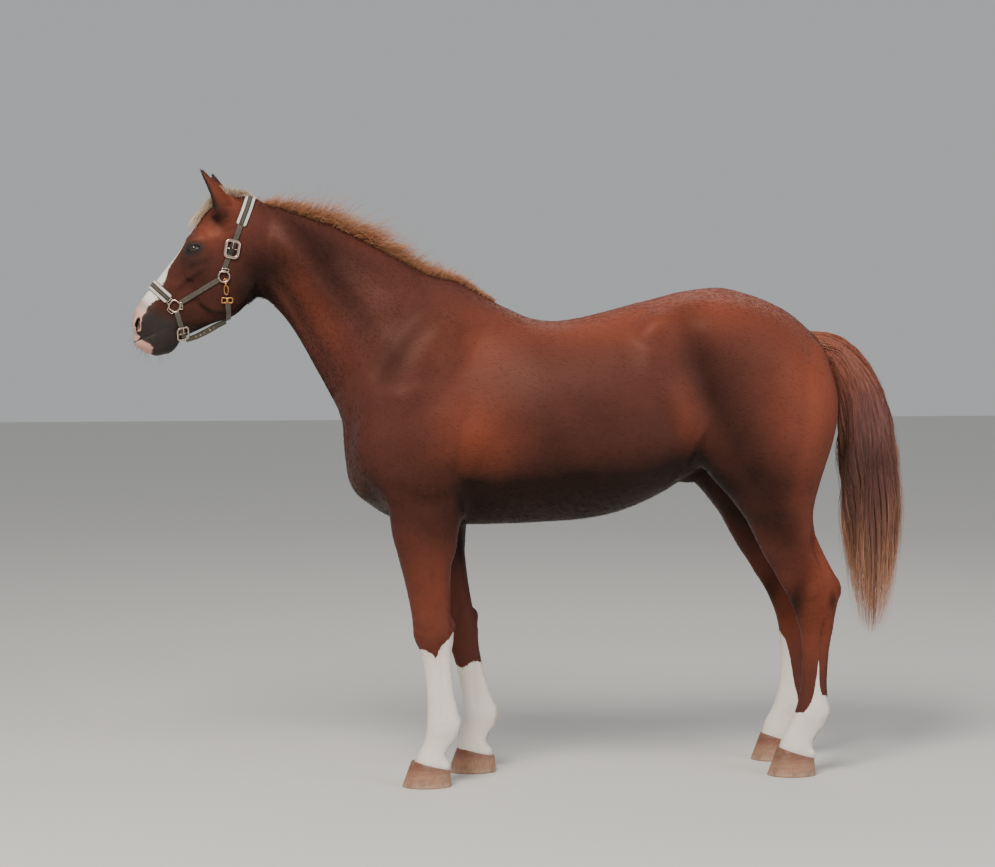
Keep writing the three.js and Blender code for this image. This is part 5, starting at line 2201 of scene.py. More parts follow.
@dataclass(frozen=True)
class MetalFinish:
    """Cast metal, worn smooth by use."""

    name: str
    tint: str
    roughness: float

    def material(self) -> bpy.types.Material:
        """The metal, with faint wear in its polish.

        Returns:
            The material.
        """
        material, tree = new_material(self.name)
        wear = tree.noise(tree.add("TexCoord").outputs["Object"], 160, 3)
        rough = tree.remap(wear, 0, 1, (self.roughness - 0.06, self.roughness + 0.12))
        tree.surface({"Base Color": colour(self.tint), "Metallic": 1.0, "Roughness": rough})
        return material


NICKEL = MetalFinish("plated nickel", "#c4aa9c", 0.26)
BRASS = MetalFinish("cast brass", "#c08a58", 0.3)


@dataclass(frozen=True)
class Hoop:
    """A strap's path round the head: where its plane lies and how much of the turn it takes.

    Attributes:
        centre: a point inside the head as (x, z).
        slope: the way from there that counts as angle 0, degrees up from the tail's direction.
        start: angle where the strap starts; positive angles lie on the right.
        end: angle where it ends.
        slack: how far it hangs off the head, mm.
    """

    centre: tuple
    slope: float
    start: float
    end: float
    slack: float = 0.0


class Lie:
    """Lays straps on the head."""

    def __init__(self, form: HorseField) -> None:
        """Takes the form that they lie on."""
        self.form = form

    def flesh(self, p: Array) -> Array:
        """Distance to the head and neck without the ears."""
        return self.form.whole(p, False)

    def cast(self, origin: Array, ways: Array, far: float) -> Array:
        """Where rays from outside first meet the head, as distances from their origin.

        Args:
            origin: where the rays start, mm.
            ways: the directions that they look in.
            far: how far out the search begins, mm.

        Returns:
            A distance for each ray, mm.
        """
        reach = np.linspace(far, 8, 110)
        p = origin[:, None, :] + reach[None, :, None] * ways[:, None, :]
        inside = self.flesh(p.reshape(-1, 3)).reshape(len(ways), -1) < 0
        first = np.argmax(inside, axis=1)
        low, high = reach[first], reach[np.maximum(first - 1, 0)]
        for _ in range(12):
            middle = (low + high) / 2
            hit = self.flesh(origin + middle[:, None] * ways) < 0
            low, high = np.where(hit, middle, low), np.where(hit, high, middle)
        return (low + high) / 2

    def hoop(self, hoop: Hoop, lift: float) -> tuple[Array, Array]:
        """A taut path round the head in a plane, and the plane's direction.

        Args:
            hoop: where the strap runs.
            lift: how far off the skin it lies, mm.

        Returns:
            The path and a unit direction.
        """
        slope = math.radians(hoop.slope)
        top = np.array([math.cos(slope), 0, math.sin(slope)])
        out = np.array([0.0, 1.0, 0.0])
        angles = np.radians(np.linspace(hoop.start, hoop.end, 1 + int(abs(hoop.end - hoop.start) / 2)))
        ways = np.cos(angles)[:, None] * top + np.sin(angles)[:, None] * out
        centre = np.array([hoop.centre[0], 0, hoop.centre[1]])
        reach = self.cast(np.repeat(centre[None], len(ways), 0), ways, 230) + lift + hoop.slack
        flat = taut(np.stack([reach * np.cos(angles), reach * np.sin(angles)], 1))
        path = centre + flat[:, :1] * top + flat[:, 1:] * out
        return resample(path, STRAP_STEP), np.cross(top, out)

    def cheek(self, start: tuple, end: tuple, side: int, lift: float) -> tuple[Array, Array]:
        """A taut path over one cheek between two places of the side view.

        Args:
            start: x and z of the first place, mm.
            end: x and z of the last place, mm.
            side: -1 for the left cheek, 1 for the right.
            lift: how far off the skin it lies, mm.

        Returns:
            The path and a unit direction.
        """
        share = np.linspace(0, 1, 40)[:, None]
        line = np.array(start) + share * (np.array(end) - np.array(start))
        origin = np.stack([line[:, 0], np.zeros(40), line[:, 1]], 1)
        ways = np.repeat(np.array([[0.0, side, 0.0]]), 40, 0)
        reach = self.cast(origin, ways, 170) + lift
        length = share[:, 0] * math.dist(start, end)
        flat = taut(np.stack([length, reach], 1), closed_side=1)
        line = np.array(start) + flat[:, :1] / math.dist(start, end) * (np.array(end) - np.array(start))
        path = np.stack([line[:, 0], side * flat[:, 1], line[:, 1]], 1)
        way = unit(np.array([end[0] - start[0], 0, end[1] - start[1]]))
        return resample(path, STRAP_STEP), np.cross(way, (0, 1.0, 0))


STRAP_STEP = 5.0  # spacing of a strap's sections along it, mm


def taut(points: Array, closed_side: int = 0) -> Array:
    """The shortest path past a row of points: keeps only those that push it outwards.

    Args:
        points: places in the strap's plane; the head lies about the origin, or below the first axis.
        closed_side: 0 when the path runs round the origin, 1 when it runs along the first axis.

    Returns:
        The kept points, in the same order.
    """
    kept: list = []
    turning = -1.0 if closed_side or np.cross(points[0], points[1]) <= 0 else 1.0
    for point in points:
        while len(kept) > 1 and turning * np.cross(kept[-1] - kept[-2], point - kept[-1]) <= 0:
            kept.pop()
        kept.append(point)
    return np.array(kept)


def resample(path: Array, step: float) -> Array:
    """The same path with points at an even spacing, its corners softened.

    Args:
        path: the points it runs through, mm.
        step: the spacing, mm.

    Returns:
        The new points.
    """
    for _ in range(2):
        lengths = np.concatenate([[0], np.cumsum(np.linalg.norm(np.diff(path, axis=0), axis=1))])
        count = max(3, int(round(lengths[-1] / step)) + 1)
        at = np.linspace(0, lengths[-1], count)
        path = np.stack([np.interp(at, lengths, path[:, k]) for k in range(3)], 1)
        path[1:-1] = (path[:-2] + 2 * path[1:-1] + path[2:]) / 4
    return path


def normed(v: Array) -> Array:
    """Vectors of length one."""
    return v / np.maximum(np.linalg.norm(v, axis=-1, keepdims=True), 1e-9)


@dataclass
class Band:
    """The swept body of one strap: its sections, ready to be joined to others."""

    verts: Array
    faces: list
    across: Array
    along: Array
    middle: Array
    wide: Array


def sweep_band(path: Array, wide: Array, out: Array, width: float, thick: float, pad: float = 0.0) -> Band:
    """Sweeps a rounded flat section along a path.

    Args:
        path: the strap's middle line on its under side.
        wide: the direction across the strap at each point.
        out: the direction away from the head at each point.
        width: the strap's width.
        thick: its thickness.
        pad: how far its middle swells, for padding.

    Returns:
        The strap's body.
    """
    share = np.linspace(-1, 1, 13)
    crown = thick / 2 + pad * (1 - share**2) ** 0.5
    top = np.stack([share * width / 2, thick / 2 + crown * np.sqrt(np.clip(1 - share**8, 0, 1))], 1)
    under = np.stack([share[::-1][1:-1] * width / 2 * 0.97, np.zeros(11)], 1)
    ring = np.concatenate([top, under])
    rounded = np.concatenate([share, share[::-1][1:-1]])
    rows = []
    n = len(path)
    ends = np.minimum(np.arange(n), np.arange(n)[::-1]) * np.linalg.norm(path[1] - path[0])
    for i in range(n):
        narrow = 0.86 + 0.14 * min(1.0, ends[i] / 4)
        flat = 0.5 + 0.5 * min(1.0, ends[i] / 6) if pad else 0.75 + 0.25 * min(1.0, ends[i] / 4)
        rows.append(path[i] + ring[:, :1] * narrow * wide[i] + ring[:, 1:] * flat * out[i])
    verts = np.concatenate(rows + [rows[0].mean(0)[None], rows[-1].mean(0)[None]])
    across = np.concatenate([np.tile(rounded, n), (0, 0)])
    lengths = np.concatenate([[0], np.cumsum(np.linalg.norm(np.diff(path, axis=0), axis=1))]) * 0.001
    along = np.concatenate([np.repeat(lengths, len(ring)), (0, lengths[-1])])
    middle = path + (thick + pad * 0.45) * out
    return Band(verts, tube_faces(n, len(ring)), across, along, middle[1:-1], wide[1:-1])


def join_bands(name: str, bands: Sequence[Band], material: bpy.types.Material) -> bpy.types.Object:
    """One object of several straps, which keeps the places across and along each.

    Args:
        name: what it is called.
        bands: the straps.
        material: what it is made of.

    Returns:
        The mesh object.
    """
    start, verts, quads, caps = 0, [], [], []
    for band in bands:
        verts.append(band.verts)
        quads.append(band.faces[0] + start)
        caps.append(band.faces[1] + start)
        start += len(band.verts)
    made = make_object(name, np.concatenate(verts), [np.concatenate(quads), np.concatenate(caps)])
    face_outward(made)
    for label in ("across", "along"):
        store(made, label, np.concatenate([getattr(b, label) for b in bands]))
    made.data.materials.append(material)
    return made


@dataclass(frozen=True)
class Stitching:
    """Short stitches of waxed thread, sewn along a path by Geometry Nodes."""

    thread: str
    spacing: float = 0.0042
    length: float = 0.003
    radius: float = 0.00042

    def material(self) -> bpy.types.Material:
        """The thread, slightly shiny with wax.

        Returns:
            The material.
        """
        material, tree = new_material("waxed thread")
        tree.surface({"Base Color": colour(self.thread), "Roughness": 0.55})
        return material

    def nodes(self, material: bpy.types.Material) -> bpy.types.NodeTree:
        """The tree that sets a stitch at every step of a path.

        Args:
            material: what it is made of.

        Returns:
            The node tree.
        """
        group = bpy.data.node_groups.new("stitches along a path", "GeometryNodeTree")
        sockets = {"Path": "Geometry", "Spacing": "Float", "Length": "Float", "Radius": "Float"}
        for label, kind in sockets.items():
            group.interface.new_socket(label, in_out="INPUT", socket_type=f"NodeSocket{kind}")
        group.interface.new_socket("Stitches", in_out="OUTPUT", socket_type="NodeSocketGeometry")
        tree = Tree(group)
        start = tree.add("NodeGroupInput").outputs
        curve = tree.add("GeometryNodeMeshToCurve", {"Mesh": start["Path"]})
        spaced = {"Curve": curve.outputs[0], "Length": start["Spacing"]}
        steps = tree.add("GeometryNodeResampleCurve", spaced, mode="LENGTH")
        way = tree.add("GeometryNodeInputTangent")
        turn = tree.add("FunctionNodeAlignRotationToVector", {"Vector": way.outputs[0]}, axis="Z")
        stitch = tree.add(
            "GeometryNodeMeshCylinder", {"Vertices": 6, "Radius": start["Radius"], "Depth": start["Length"]}
        )
        set_out = tree.add(
            "GeometryNodeInstanceOnPoints",
            {"Points": steps.outputs[0], "Instance": stitch.outputs[0], "Rotation": turn.outputs[0]},
        )
        real = tree.add("GeometryNodeRealizeInstances", {0: set_out.outputs[0]})
        painted = tree.add("GeometryNodeSetMaterial", {"Geometry": real.outputs[0], "Material": material})
        tree.add("NodeGroupOutput", {0: painted.outputs[0]})
        return group

    def sew(self, name: str, paths: Sequence[Array]) -> bpy.types.Object:
        """Makes one object of all the stitches along some paths.

        Args:
            name: what it is called.
            paths: the lines that the seams follow, mm.

        Returns:
            The mesh object.
        """
        material = self.material()
        mesh = bpy.data.meshes.new(name + "_path")
        verts, edges = [], []
        for path in paths:
            edges += [(len(verts) + i, len(verts) + i + 1) for i in range(len(path) - 1)]
            verts += [tuple(p) for p in in_frame(path)]
        mesh.from_pydata(verts, edges, [])
        guide = link(bpy.data.objects.new(name + "_path", mesh))
        modifier = guide.modifiers.new("stitches", "NODES")
        modifier.node_group = self.nodes(material)
        for item in modifier.node_group.interface.items_tree:
            if item.in_out == "INPUT" and item.name != "Path":
                modifier[item.identifier] = getattr(self, item.name.lower())
        guide.update_tag()
        done = bpy.data.meshes.new_from_object(guide.evaluated_get(bpy.context.evaluated_depsgraph_get()))
        bpy.data.objects.remove(guide)
        if not len(done.materials):
            done.materials.append(material)
        return link(bpy.data.objects.new(name, done))


@dataclass(frozen=True)
class Frame:
    """A place and three directions for a buckle or a ring."""

    at: Array
    right: Array
    up: Array
    out: Array

    def place(self, flat: Array, lift: float = 0.0) -> Array:
        """Points of the frame's own plane, in the horse's axes."""
        flat = np.atleast_2d(flat)
        return self.at + flat[:, :1] * self.right + flat[:, 1:2] * self.up + lift * self.out


def wire(path: Array, closed: bool, radius: tuple, up: Array, spokes: int = 12) -> tuple[Array, list]:
    """A bent bar of oval section.

    Args:
        path: its middle line.
        closed: whether it joins its own start.
        radius: half sizes across and along `up`.
        up: the direction out of the bend's plane.
        spokes: points round the section.

    Returns:
        Vertices and faces.
    """
    if closed:
        ahead, behind = np.roll(path, -1, axis=0), np.roll(path, 1, axis=0)
    else:
        ahead = np.concatenate([path[1:], path[-1:]])
        behind = np.concatenate([path[:1], path[:-1]])
    side = normed(np.cross(normed(ahead - behind), up))
    over = normed(np.cross(side, normed(ahead - behind)))
    angle = np.linspace(0, 2 * math.pi, spokes, endpoint=False)
    rows = [
        path[i] + radius[0] * np.cos(angle)[:, None] * side[i] + radius[1] * np.sin(angle)[:, None] * over[i]
        for i in range(len(path))
    ]
    if closed:
        n = len(path)
        i, j = pairs_of(n, spokes)
        a, b = (i + 1) % n, (j + 1) % spokes
        quads = np.stack([i * spokes + j, i * spokes + b, a * spokes + b, a * spokes + j], 1)
        return np.concatenate(rows), [quads]
    verts = np.concatenate(rows + [path[:1], path[-1:]])
    return verts, tube_faces(len(path), spokes)


def rounded_frame(width: float, height: float, corner: float, steps: int = 7) -> Array:
    """The outline of a rectangle with rounded corners.

    Args:
        width: its width, mm.
        height: its height, mm.
        corner: the corners' radius, mm.
        steps: how many points each corner has.

    Returns:
        The points of the outline, mm.
    """
    out = []
    for quarter in range(4):
        cx = (width / 2 - corner) * (1 if quarter in (0, 3) else -1)
        cy = (height / 2 - corner) * (1 if quarter in (0, 1) else -1)
        for k in range(steps):
            angle = math.pi / 2 * (quarter + k / (steps - 1))
            out.append((cx + corner * math.cos(angle), cy + corner * math.sin(angle)))
    return np.array(out)


class MetalWork:
    """Buckles, rings and snaps of one metal, gathered into one object."""

    def __init__(self) -> None:
        """Starts with nothing."""
        self.verts: list = []
        self.faces: list = []
        self.count = 0

    def add(self, verts: Array, faces: list) -> None:
        """Takes another closed body.

        Args:
            verts: the vertices.
            faces: the faces, as rows of vertex numbers.
        """
        self.verts.append(verts)
        self.faces += [np.asarray(f) + self.count for f in faces]
        self.count += len(verts)

    def ring(self, frame: Frame, flat: Array, radius: tuple, lift: float = 0.0) -> None:
        """Adds a closed bar that follows an outline of the frame's plane."""
        self.add(*wire(frame.place(flat, lift), True, radius, frame.out))

    def bar(self, path: Array, radius: tuple, up: Array) -> None:
        """Adds an open bar."""
        self.add(*wire(path, False, radius, up))

    def build(self, name: str, finish: MetalFinish) -> bpy.types.Object:
        """Makes the object.

        Args:
            name: what it is called.
            finish: the metal it is made of.

        Returns:
            The mesh object.
        """
        made = make_object(name, np.concatenate(self.verts), self.faces)
        face_outward(made)
        made.data.materials.append(finish.material())
        return made


ROUND = np.linspace(0, 2 * math.pi, 40, endpoint=False)
CIRCLE = np.stack([np.cos(ROUND), np.sin(ROUND)], 1)


@dataclass(frozen=True)
class HalterSizes:
    """The halter's measures, mm."""

    padded: float = 36.0
    narrow: float = 17.0
    tongue: float = 22.0
    thick: float = 2.6
    padding: float = 3.2
    lift: float = 1.2
    crown: Hoop = Hoop((-1190, 1752), 69, -50, 50)
    cheeks: Hoop = Hoop((-1190, 1752), 69, 44, 134)
    nose: Hoop = Hoop((-1397, 1585), 136, -97, 97)
    chin: Hoop = Hoop((-1362, 1520), -74, -118, 118, 3)
    throat: Hoop = Hoop((-1206, 1560), -84, -100, 128, 3)
    jaw_ring: tuple = (-1219, 1655)
    nose_ring: tuple = (-1374, 1560)
    big_buckle: tuple = (-1193, 1743)
    chin_buckle: tuple = (-1349, 1474)
    snap: tuple = (-1213, 1622)
    fitting: tuple = (-1209, 1580)
    jaw_line: tuple = ((-1208, 1512), (-1235, 1500), (-1270, 1480), (-1305, 1463), (-1338, 1452))
    ring_gap: float = 15.0  # how far the side strap stops short of the rings' middles
    ring_radius: float = 17.5
    ring_side: float = 34.0  # the square nose ring
    ring_bar: float = 3.0
    eyelets: tuple = (0.3, 0.42, 0.54, 0.66, 0.78)  # places of the holes along the jaw strap


class Halter:
    """The stable halter: padded over poll and nose, buckled on the left, with no lead rope."""

    def __init__(self, form: HorseField, sizes: HalterSizes) -> None:
        """Takes the head that it sits on and its measures."""
        self.lie = Lie(form)
        self.sizes = sizes

    def band(self, path: Array, plane: Array, width: float, pad: float = 0.0, lift: float = 0.0) -> Band:
        """Lays one strap flat on the head along a path.

        Args:
            path: the points it runs through, mm.
            plane: the direction across the strap.
            width: its width, mm.
            pad: how far its padding swells, mm.
            lift: how far off the skin it lies, mm.

        Returns:
            The strap.
        """
        out = normed(gradient(self.lie.flesh, path, 4.0))
        for _ in range(6):
            out[1:-1] = (out[:-2] + out[1:-1] * 2 + out[2:]) / 4
        way = normed(np.gradient(path, axis=0))
        out = normed(out - (out * way).sum(1)[:, None] * way)
        wide = normed(np.cross(out, way))
        if (wide @ plane).sum() < 0:
            wide = -wide
        return sweep_band(path + lift * out, wide, out, width, self.sizes.thick, pad)

    def frame(self, at: tuple, side: int, turn: float, lift: float) -> Frame:
        """A frame lying on one cheek, turned in the side view by some degrees.

        Args:
            at: x and z of its middle, mm.
            side: -1 for the left cheek, 1 for the right.
            turn: how far it is turned, in degrees.
            lift: how far off the skin it lies, mm.

        Returns:
            The frame.
        """
        origin = np.array([[at[0], 0.0, at[1]]])
        reach = float(self.lie.cast(origin, np.array([[0.0, side, 0.0]]), 170)[0])
        on = origin[0] + np.array([0, side * reach, 0])
        out = normed(gradient(self.lie.flesh, on[None], 14.0))[0]
        angle = math.radians(turn)
        up = np.array([-math.sin(angle), 0, math.cos(angle)])
        up = unit(up - (up @ out) * out)
        right = np.cross(up, out) * (1 if side < 0 else -1)
        return Frame(on + lift * out, right, up, out)

    def build(self) -> None:
        """Makes the straps, the metal and the stitches."""
        s = self.sizes
        webbing = WebbingFinish()
        pads = []
        for hoop in (s.crown, s.nose):
            path, plane = self.lie.hoop(hoop, s.lift)
            pads.append(self.band(path, plane, s.padded, s.padding))
        straps = []
        for side in (1, -1):
            hoop = Hoop(s.cheeks.centre, s.cheeks.slope, side * s.cheeks.start, side * s.cheeks.end)
            path, plane = self.lie.hoop(hoop, s.lift)
            straps.append(self.band(path, plane, s.narrow))
            step = s.ring_gap * unit(np.array(s.nose_ring) - np.array(s.jaw_ring))
            ends = np.array(s.jaw_ring) + step, np.array(s.nose_ring) - step
            path, plane = self.lie.cheek(tuple(ends[0]), tuple(ends[1]), side, s.lift)
            straps.append(self.band(path, plane, s.narrow))
        for hoop in (s.chin, s.throat):
            path, plane = self.lie.hoop(hoop, s.lift)
            straps.append(self.band(path, plane, s.narrow))
        pad_object = join_bands("halter_pads", pads, webbing.material(Trim.PADDED))
        strap_object = join_bands("halter_webbing", straps, webbing.material(Trim.NARROW))
        jaw = self.tongue = self.jaw_strap()
        tongue = join_bands("halter_jaw_tongue", [jaw, self.fold()], webbing.material(Trim.TONGUE))
        self.stitch(pads, s.padded * 0.43, "halter_pad_stitches", "#efe9dd")
        self.stitch(straps, s.narrow * 0.36, "halter_strap_stitches", "#8d8472")
        metal, brass = MetalWork(), MetalWork()
        self.fit_nickel(metal)
        self.fit_brass(brass)
        shiny = metal.build("halter_nickel_fittings", NICKEL)
        yellow = brass.build("halter_brass_fittings", BRASS)
        for made, slot, nodes in (
            (pad_object, "webbing", ("halter_crown", "halter_nose")),
            (strap_object, "webbing", STRAP_NODES),
            (tongue, "webbing", ("halter_jaw",)),
            (shiny, "nickel", NICKEL_NODES),
            (yellow, "brass", ("halter_snap", "halter_fitting")),
        ):
            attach(made, "root")
            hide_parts(*nodes)
        fittings = len(metal.verts) + len(brass.verts)
        log.info("halter: %d straps, %d fittings", len(pads) + len(straps) + 1, fittings)

    def jaw_strap(self) -> Band:
        """The flat strap that joins the throat to the chin below the jaw.

        Returns:
            The strap.
        """
        path = resample(np.array([(x, 0, z) for x, z in self.sizes.jaw_line], float), STRAP_STEP)
        way = normed(np.gradient(path, axis=0))
        out = normed(np.cross(way, (0.0, 1.0, 0.0)))
        out *= -np.sign(out[:, 2:3])
        turn = np.radians(60 * np.sin(np.linspace(0.25, 0.75, len(path)) * math.pi))[:, None]
        wide = np.cos(turn) * np.array([[0.0, 1.0, 0.0]]) + np.sin(turn) * out
        out = normed(np.cross(way, wide))
        out *= -np.sign(out[:, 1:2])
        return sweep_band(path, wide, out, self.sizes.tongue, self.sizes.thick)

    def fold(self) -> Band:
        """The dark end of the crown strap, folded through the big buckle on the left.

        Returns:
            The strap.
        """
        s = self.sizes
        hoop = Hoop(s.cheeks.centre, s.cheeks.slope, -66, -112)
        path, plane = self.lie.hoop(hoop, s.lift)
        near = np.linalg.norm(path[:, [0, 2]] - np.array(s.big_buckle), axis=1) < 21
        made = self.band(path[near], plane, s.narrow * 1.05, lift=s.thick)
        made.across[:] = 0.9
        return made

    def stitch(self, bands: Sequence[Band], inset: float, name: str, thread: str) -> None:
        """Sews along both edges of some straps.

        Args:
            bands: the straps.
            inset: how far from the strap's edge, mm.
            name: what it is called.
            thread: the thread's colour.
        """
        paths = [band.middle + side * inset * band.wide for band in bands for side in (-1, 1)]
        made = Stitching(thread).sew(name, paths)
        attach(made, "root")

    def fit_nickel(self, metal: MetalWork) -> None:
        """Adds the rings at jaw and nose, and the two buckles.

        Args:
            metal: the metalwork that it is added to.
        """
        s = self.sizes
        for side in (-1, 1):
            frame = self.frame(s.jaw_ring, side, 0, 5.5)
            metal.ring(frame, CIRCLE * s.ring_radius, (s.ring_bar, s.ring_bar))
            metal.ring(frame, rounded_frame(23, 11, 4) + np.array([4, 19.5]), (1.8, 1.8), 0.5)
            frame = self.frame(s.nose_ring, side, -35, 5.0)
            metal.ring(frame, rounded_frame(s.ring_side, s.ring_side, 11), (3.1, 2.8))
            for turn in (35, 170, 262):
                a = math.radians(turn)
                flat = np.array([s.ring_radius * math.cos(a), s.ring_radius * math.sin(a)])
                metal.ring(frame, rounded_frame(9, 21, 3) @ rotation(a) + flat * 1.18, (1.4, 1.4), 0.6)
        line = self.tongue.middle
        for share in s.eyelets:
            place, across = line[int(share * len(line))], self.tongue.wide[int(share * len(line))]
            way = normed(line[-1] - line[0])
            flat = Frame(place, across, way, normed(np.cross(across, way)))
            metal.ring(flat, CIRCLE * 2.6, (0.7, 0.7))
        self.buckle(metal, self.frame(s.big_buckle, -1, -10, 5.0), 42, 53, 5.0)
        self.buckle(metal, self.frame(s.chin_buckle, -1, 14, 5.5), 37, 44, 3.4)

    def buckle(self, metal: MetalWork, frame: Frame, width: float, height: float, bar: float) -> None:
        """Adds a buckle with a middle bar, a prong and two keepers.

        Args:
            metal: the metalwork that it is added to.
            frame: where it lies.
            width: its width, mm.
            height: its height, mm.
            bar: the wire's thickness, mm.
        """
        metal.ring(frame, rounded_frame(width, height, width * 0.27), (bar, bar * 0.6))
        cross = frame.place(np.array([(-width / 2, 0), (0, 0), (width / 2, 0)], float), -1.2)
        metal.bar(cross, (2.0, 2.0), frame.out)
        share = np.linspace(0, 1, 10)[:, None]
        prong = np.concatenate([np.zeros((10, 1)), share * height * 0.5], 1)
        path = frame.place(prong) + (1.2 + 3.6 * np.sin(share * 2.6)) * frame.out
        metal.bar(path, (1.9, 1.9), frame.right)

    def fit_brass(self, brass: MetalWork) -> None:
        """Adds the snap below the jaw ring and the two-eyed fitting under it.

        Args:
            brass: the metalwork that it is added to.
        """
        upper = self.frame(self.sizes.snap, -1, 4, 6.0)
        swivel = upper.place(np.array([(0, 15), (0, 9), (0, 4)], float))
        brass.bar(swivel, (3.4, 3.4), upper.out)
        share = np.linspace(0, 2 * math.pi, 30, endpoint=False)
        loop = np.stack([6.4 * np.sin(share), 15 * np.cos(share) - 10], 1)
        brass.ring(upper, loop, (2.3, 2.3))
        brass.ring(upper, CIRCLE * 6.5 + np.array([0, 19]), (2.0, 2.0))
        lower = self.frame(self.sizes.fitting, -1, 0, 6.0)
        for step in (-9.5, 9.5):
            brass.ring(lower, rounded_frame(15.5, 16, 4) + np.array([step, 0]), (2.5, 2.2))
        brass.bar(lower.place(np.array([(0, -9), (0, 0), (0, 9)], float)), (3.0, 2.4), lower.out)


def rotation(angle: float) -> Array:
    """Turns rows of flat points by an angle."""
    return np.array([[math.cos(angle), math.sin(angle)], [-math.sin(angle), math.cos(angle)]])


STRAP_NODES = ("halter_side_left", "halter_side_right", "halter_chin", "halter_throat")
STRAP_NODES += ("halter_cheek_left", "halter_cheek_right")
NICKEL_NODES = ("halter_buckle", "halter_chin_buckle", "halter_ring_jaw_left", "halter_ring_jaw_right")
NICKEL_NODES += ("halter_ring_nose_left", "halter_ring_nose_right")


# ------------------------------------------------------------------------------------------ hair


@dataclass(frozen=True)
class HairFinish:
    """Long hair, from the colour at its roots to that of its ends."""

    name: str
    root: str
    end: str
    pale: str
    roughness: float = 0.42

    def material(self) -> bpy.types.Material:
        """The hair's material, coloured by the strands' own `strand` values.

        Returns:
            The material.
        """
        material, tree = new_material(self.name)
        part = tree.add("SeparateColor", {0: tree.values("strand")}).outputs
        base = tree.mix(part[1], tree.mix(part[0], self.root, self.end), self.pale)
        shade = tree.remap(part[2], 0, 1, (0.55, 1.2))
        grey = tree.add("CombineXYZ", {0: shade, 1: shade, 2: shade}).outputs[0]
        base = tree.mix(1.0, base, grey, blend_type="MULTIPLY")
        tree.surface({"Base Color": base, "Roughness": self.roughness, "Sheen Weight": 0.1})
        return material


MANE_HAIR = HairFinish("flaxen mane hair", "#7b3f2a", "#bd7040", "#e0ae78")
FORELOCK_HAIR = HairFinish("pale forelock hair", "#94603f", "#cfa981", "#e8dcc4")
TAIL_HAIR = HairFinish("chestnut tail hair", "#8c452e", "#633530", "#d79c74")
DARK_HAIR = HairFinish("dark lashes", "#1a1310", "#2b211b", "#3a2f28", 0.5)
MANE_RISE_AT = (-130, -60, 0, 60, 140, 200, 320, 440, 520, 600, 668)  # places up the neck, mm
MANE_LOCK = (318, 14)  # where up the neck one longer lock stands out, and how wide it is, mm
MANE_RISE = (0.14, 0.3, 0.55, 0.7, 0.86, 1.05, 1.25, 1.32, 1.1, 0.85, 0.6)  # fullness from withers to poll
PATCH = 0.003  # size of one tuft's or strand's place on the unwrapped skin
TRUNK_MIDDLE = np.array([0, 0, 1210.0])  # the line that the trunk is unwrapped about


@dataclass
class Strands:
    """A set of strands, each a row of points with a half width at each.

    Attributes:
        paths: points, indexed by strand and step.
        half: half widths, in the same way.
        out: the way each strand's flat side faces.
        looks: values from 0 to 1 for each point: end colour, pale colour, brightness.
        roots: each strand's place on the unwrapped skin.
    """

    paths: Array
    half: Array
    out: Array
    looks: Array
    roots: Array

    def build(self, name: str, material: bpy.types.Material, slot: str) -> bpy.types.Object:
        """Makes one solid mesh: a flat three-cornered body for each strand.

        Args:
            name: what it is called.
            material: what it is made of.
            slot: the colour slot that it belongs to; not used.

        Returns:
            The mesh object.
        """
        n, k, _ = self.paths.shape
        way = np.empty_like(self.paths)
        way[:, 1:-1] = self.paths[:, 2:] - self.paths[:, :-2]
        way[:, 0] = self.paths[:, 1] - self.paths[:, 0]
        way[:, -1] = self.paths[:, -1] - self.paths[:, -2]
        way = normed(way)
        side = normed(np.cross(way, self.out[:, None, :]))
        over = np.cross(side, way)
        half = self.half[..., None]
        corners = np.stack(
            [self.paths - half * side, self.paths + half * side, self.paths + 0.75 * half * over], 2
        )
        verts = corners.reshape(-1, 3)
        ring = np.arange(3)
        base = (np.arange(n)[:, None] * k + np.arange(k - 1)[None, :]).ravel() * 3
        sides = [(base + a, base + b) for a, b in zip(ring, np.roll(ring, -1))]
        quads = np.concatenate([np.stack([a, b, b + 3, a + 3], 1) for a, b in sides])
        first = np.arange(n) * k * 3
        last = first + (k - 1) * 3
        caps = np.concatenate([first[:, None] + (2, 1, 0), last[:, None] + (0, 1, 2)])
        made = make_object(name, verts, [quads, caps])
        values = np.repeat(self.looks.reshape(-1, 3), 3, 0)
        store(made, "strand", np.concatenate([values, np.ones((len(values), 1))], 1))
        u = np.tile(np.array([-0.5, 0.5, 0.0]), n * k) * PATCH
        v = np.repeat(np.tile(np.linspace(-0.5, 0.5, k), n), 3) * PATCH
        places = np.repeat(self.roots, k * 3, 0) + np.stack([u, v], 1)
        lay_out(made, places)
        made.data.materials.append(material)
        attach(made, "root")
        return made


def lay_out(made: bpy.types.Object, places: Array) -> None:
    """Stores each vertex's place on the unwrapped skin as a map that the colours can be baked to.

    Args:
        made: the mesh object.
        places: a place between 0 and 1 both ways for each vertex.
    """
    corners = np.empty(len(made.data.loops), np.int32)
    made.data.loops.foreach_get("vertex_index", corners)
    layer = made.data.uv_layers.new(name="OFBake")
    layer.data.foreach_set("uv", np.clip(places, 0, 1)[corners].astype(np.float32).ravel())


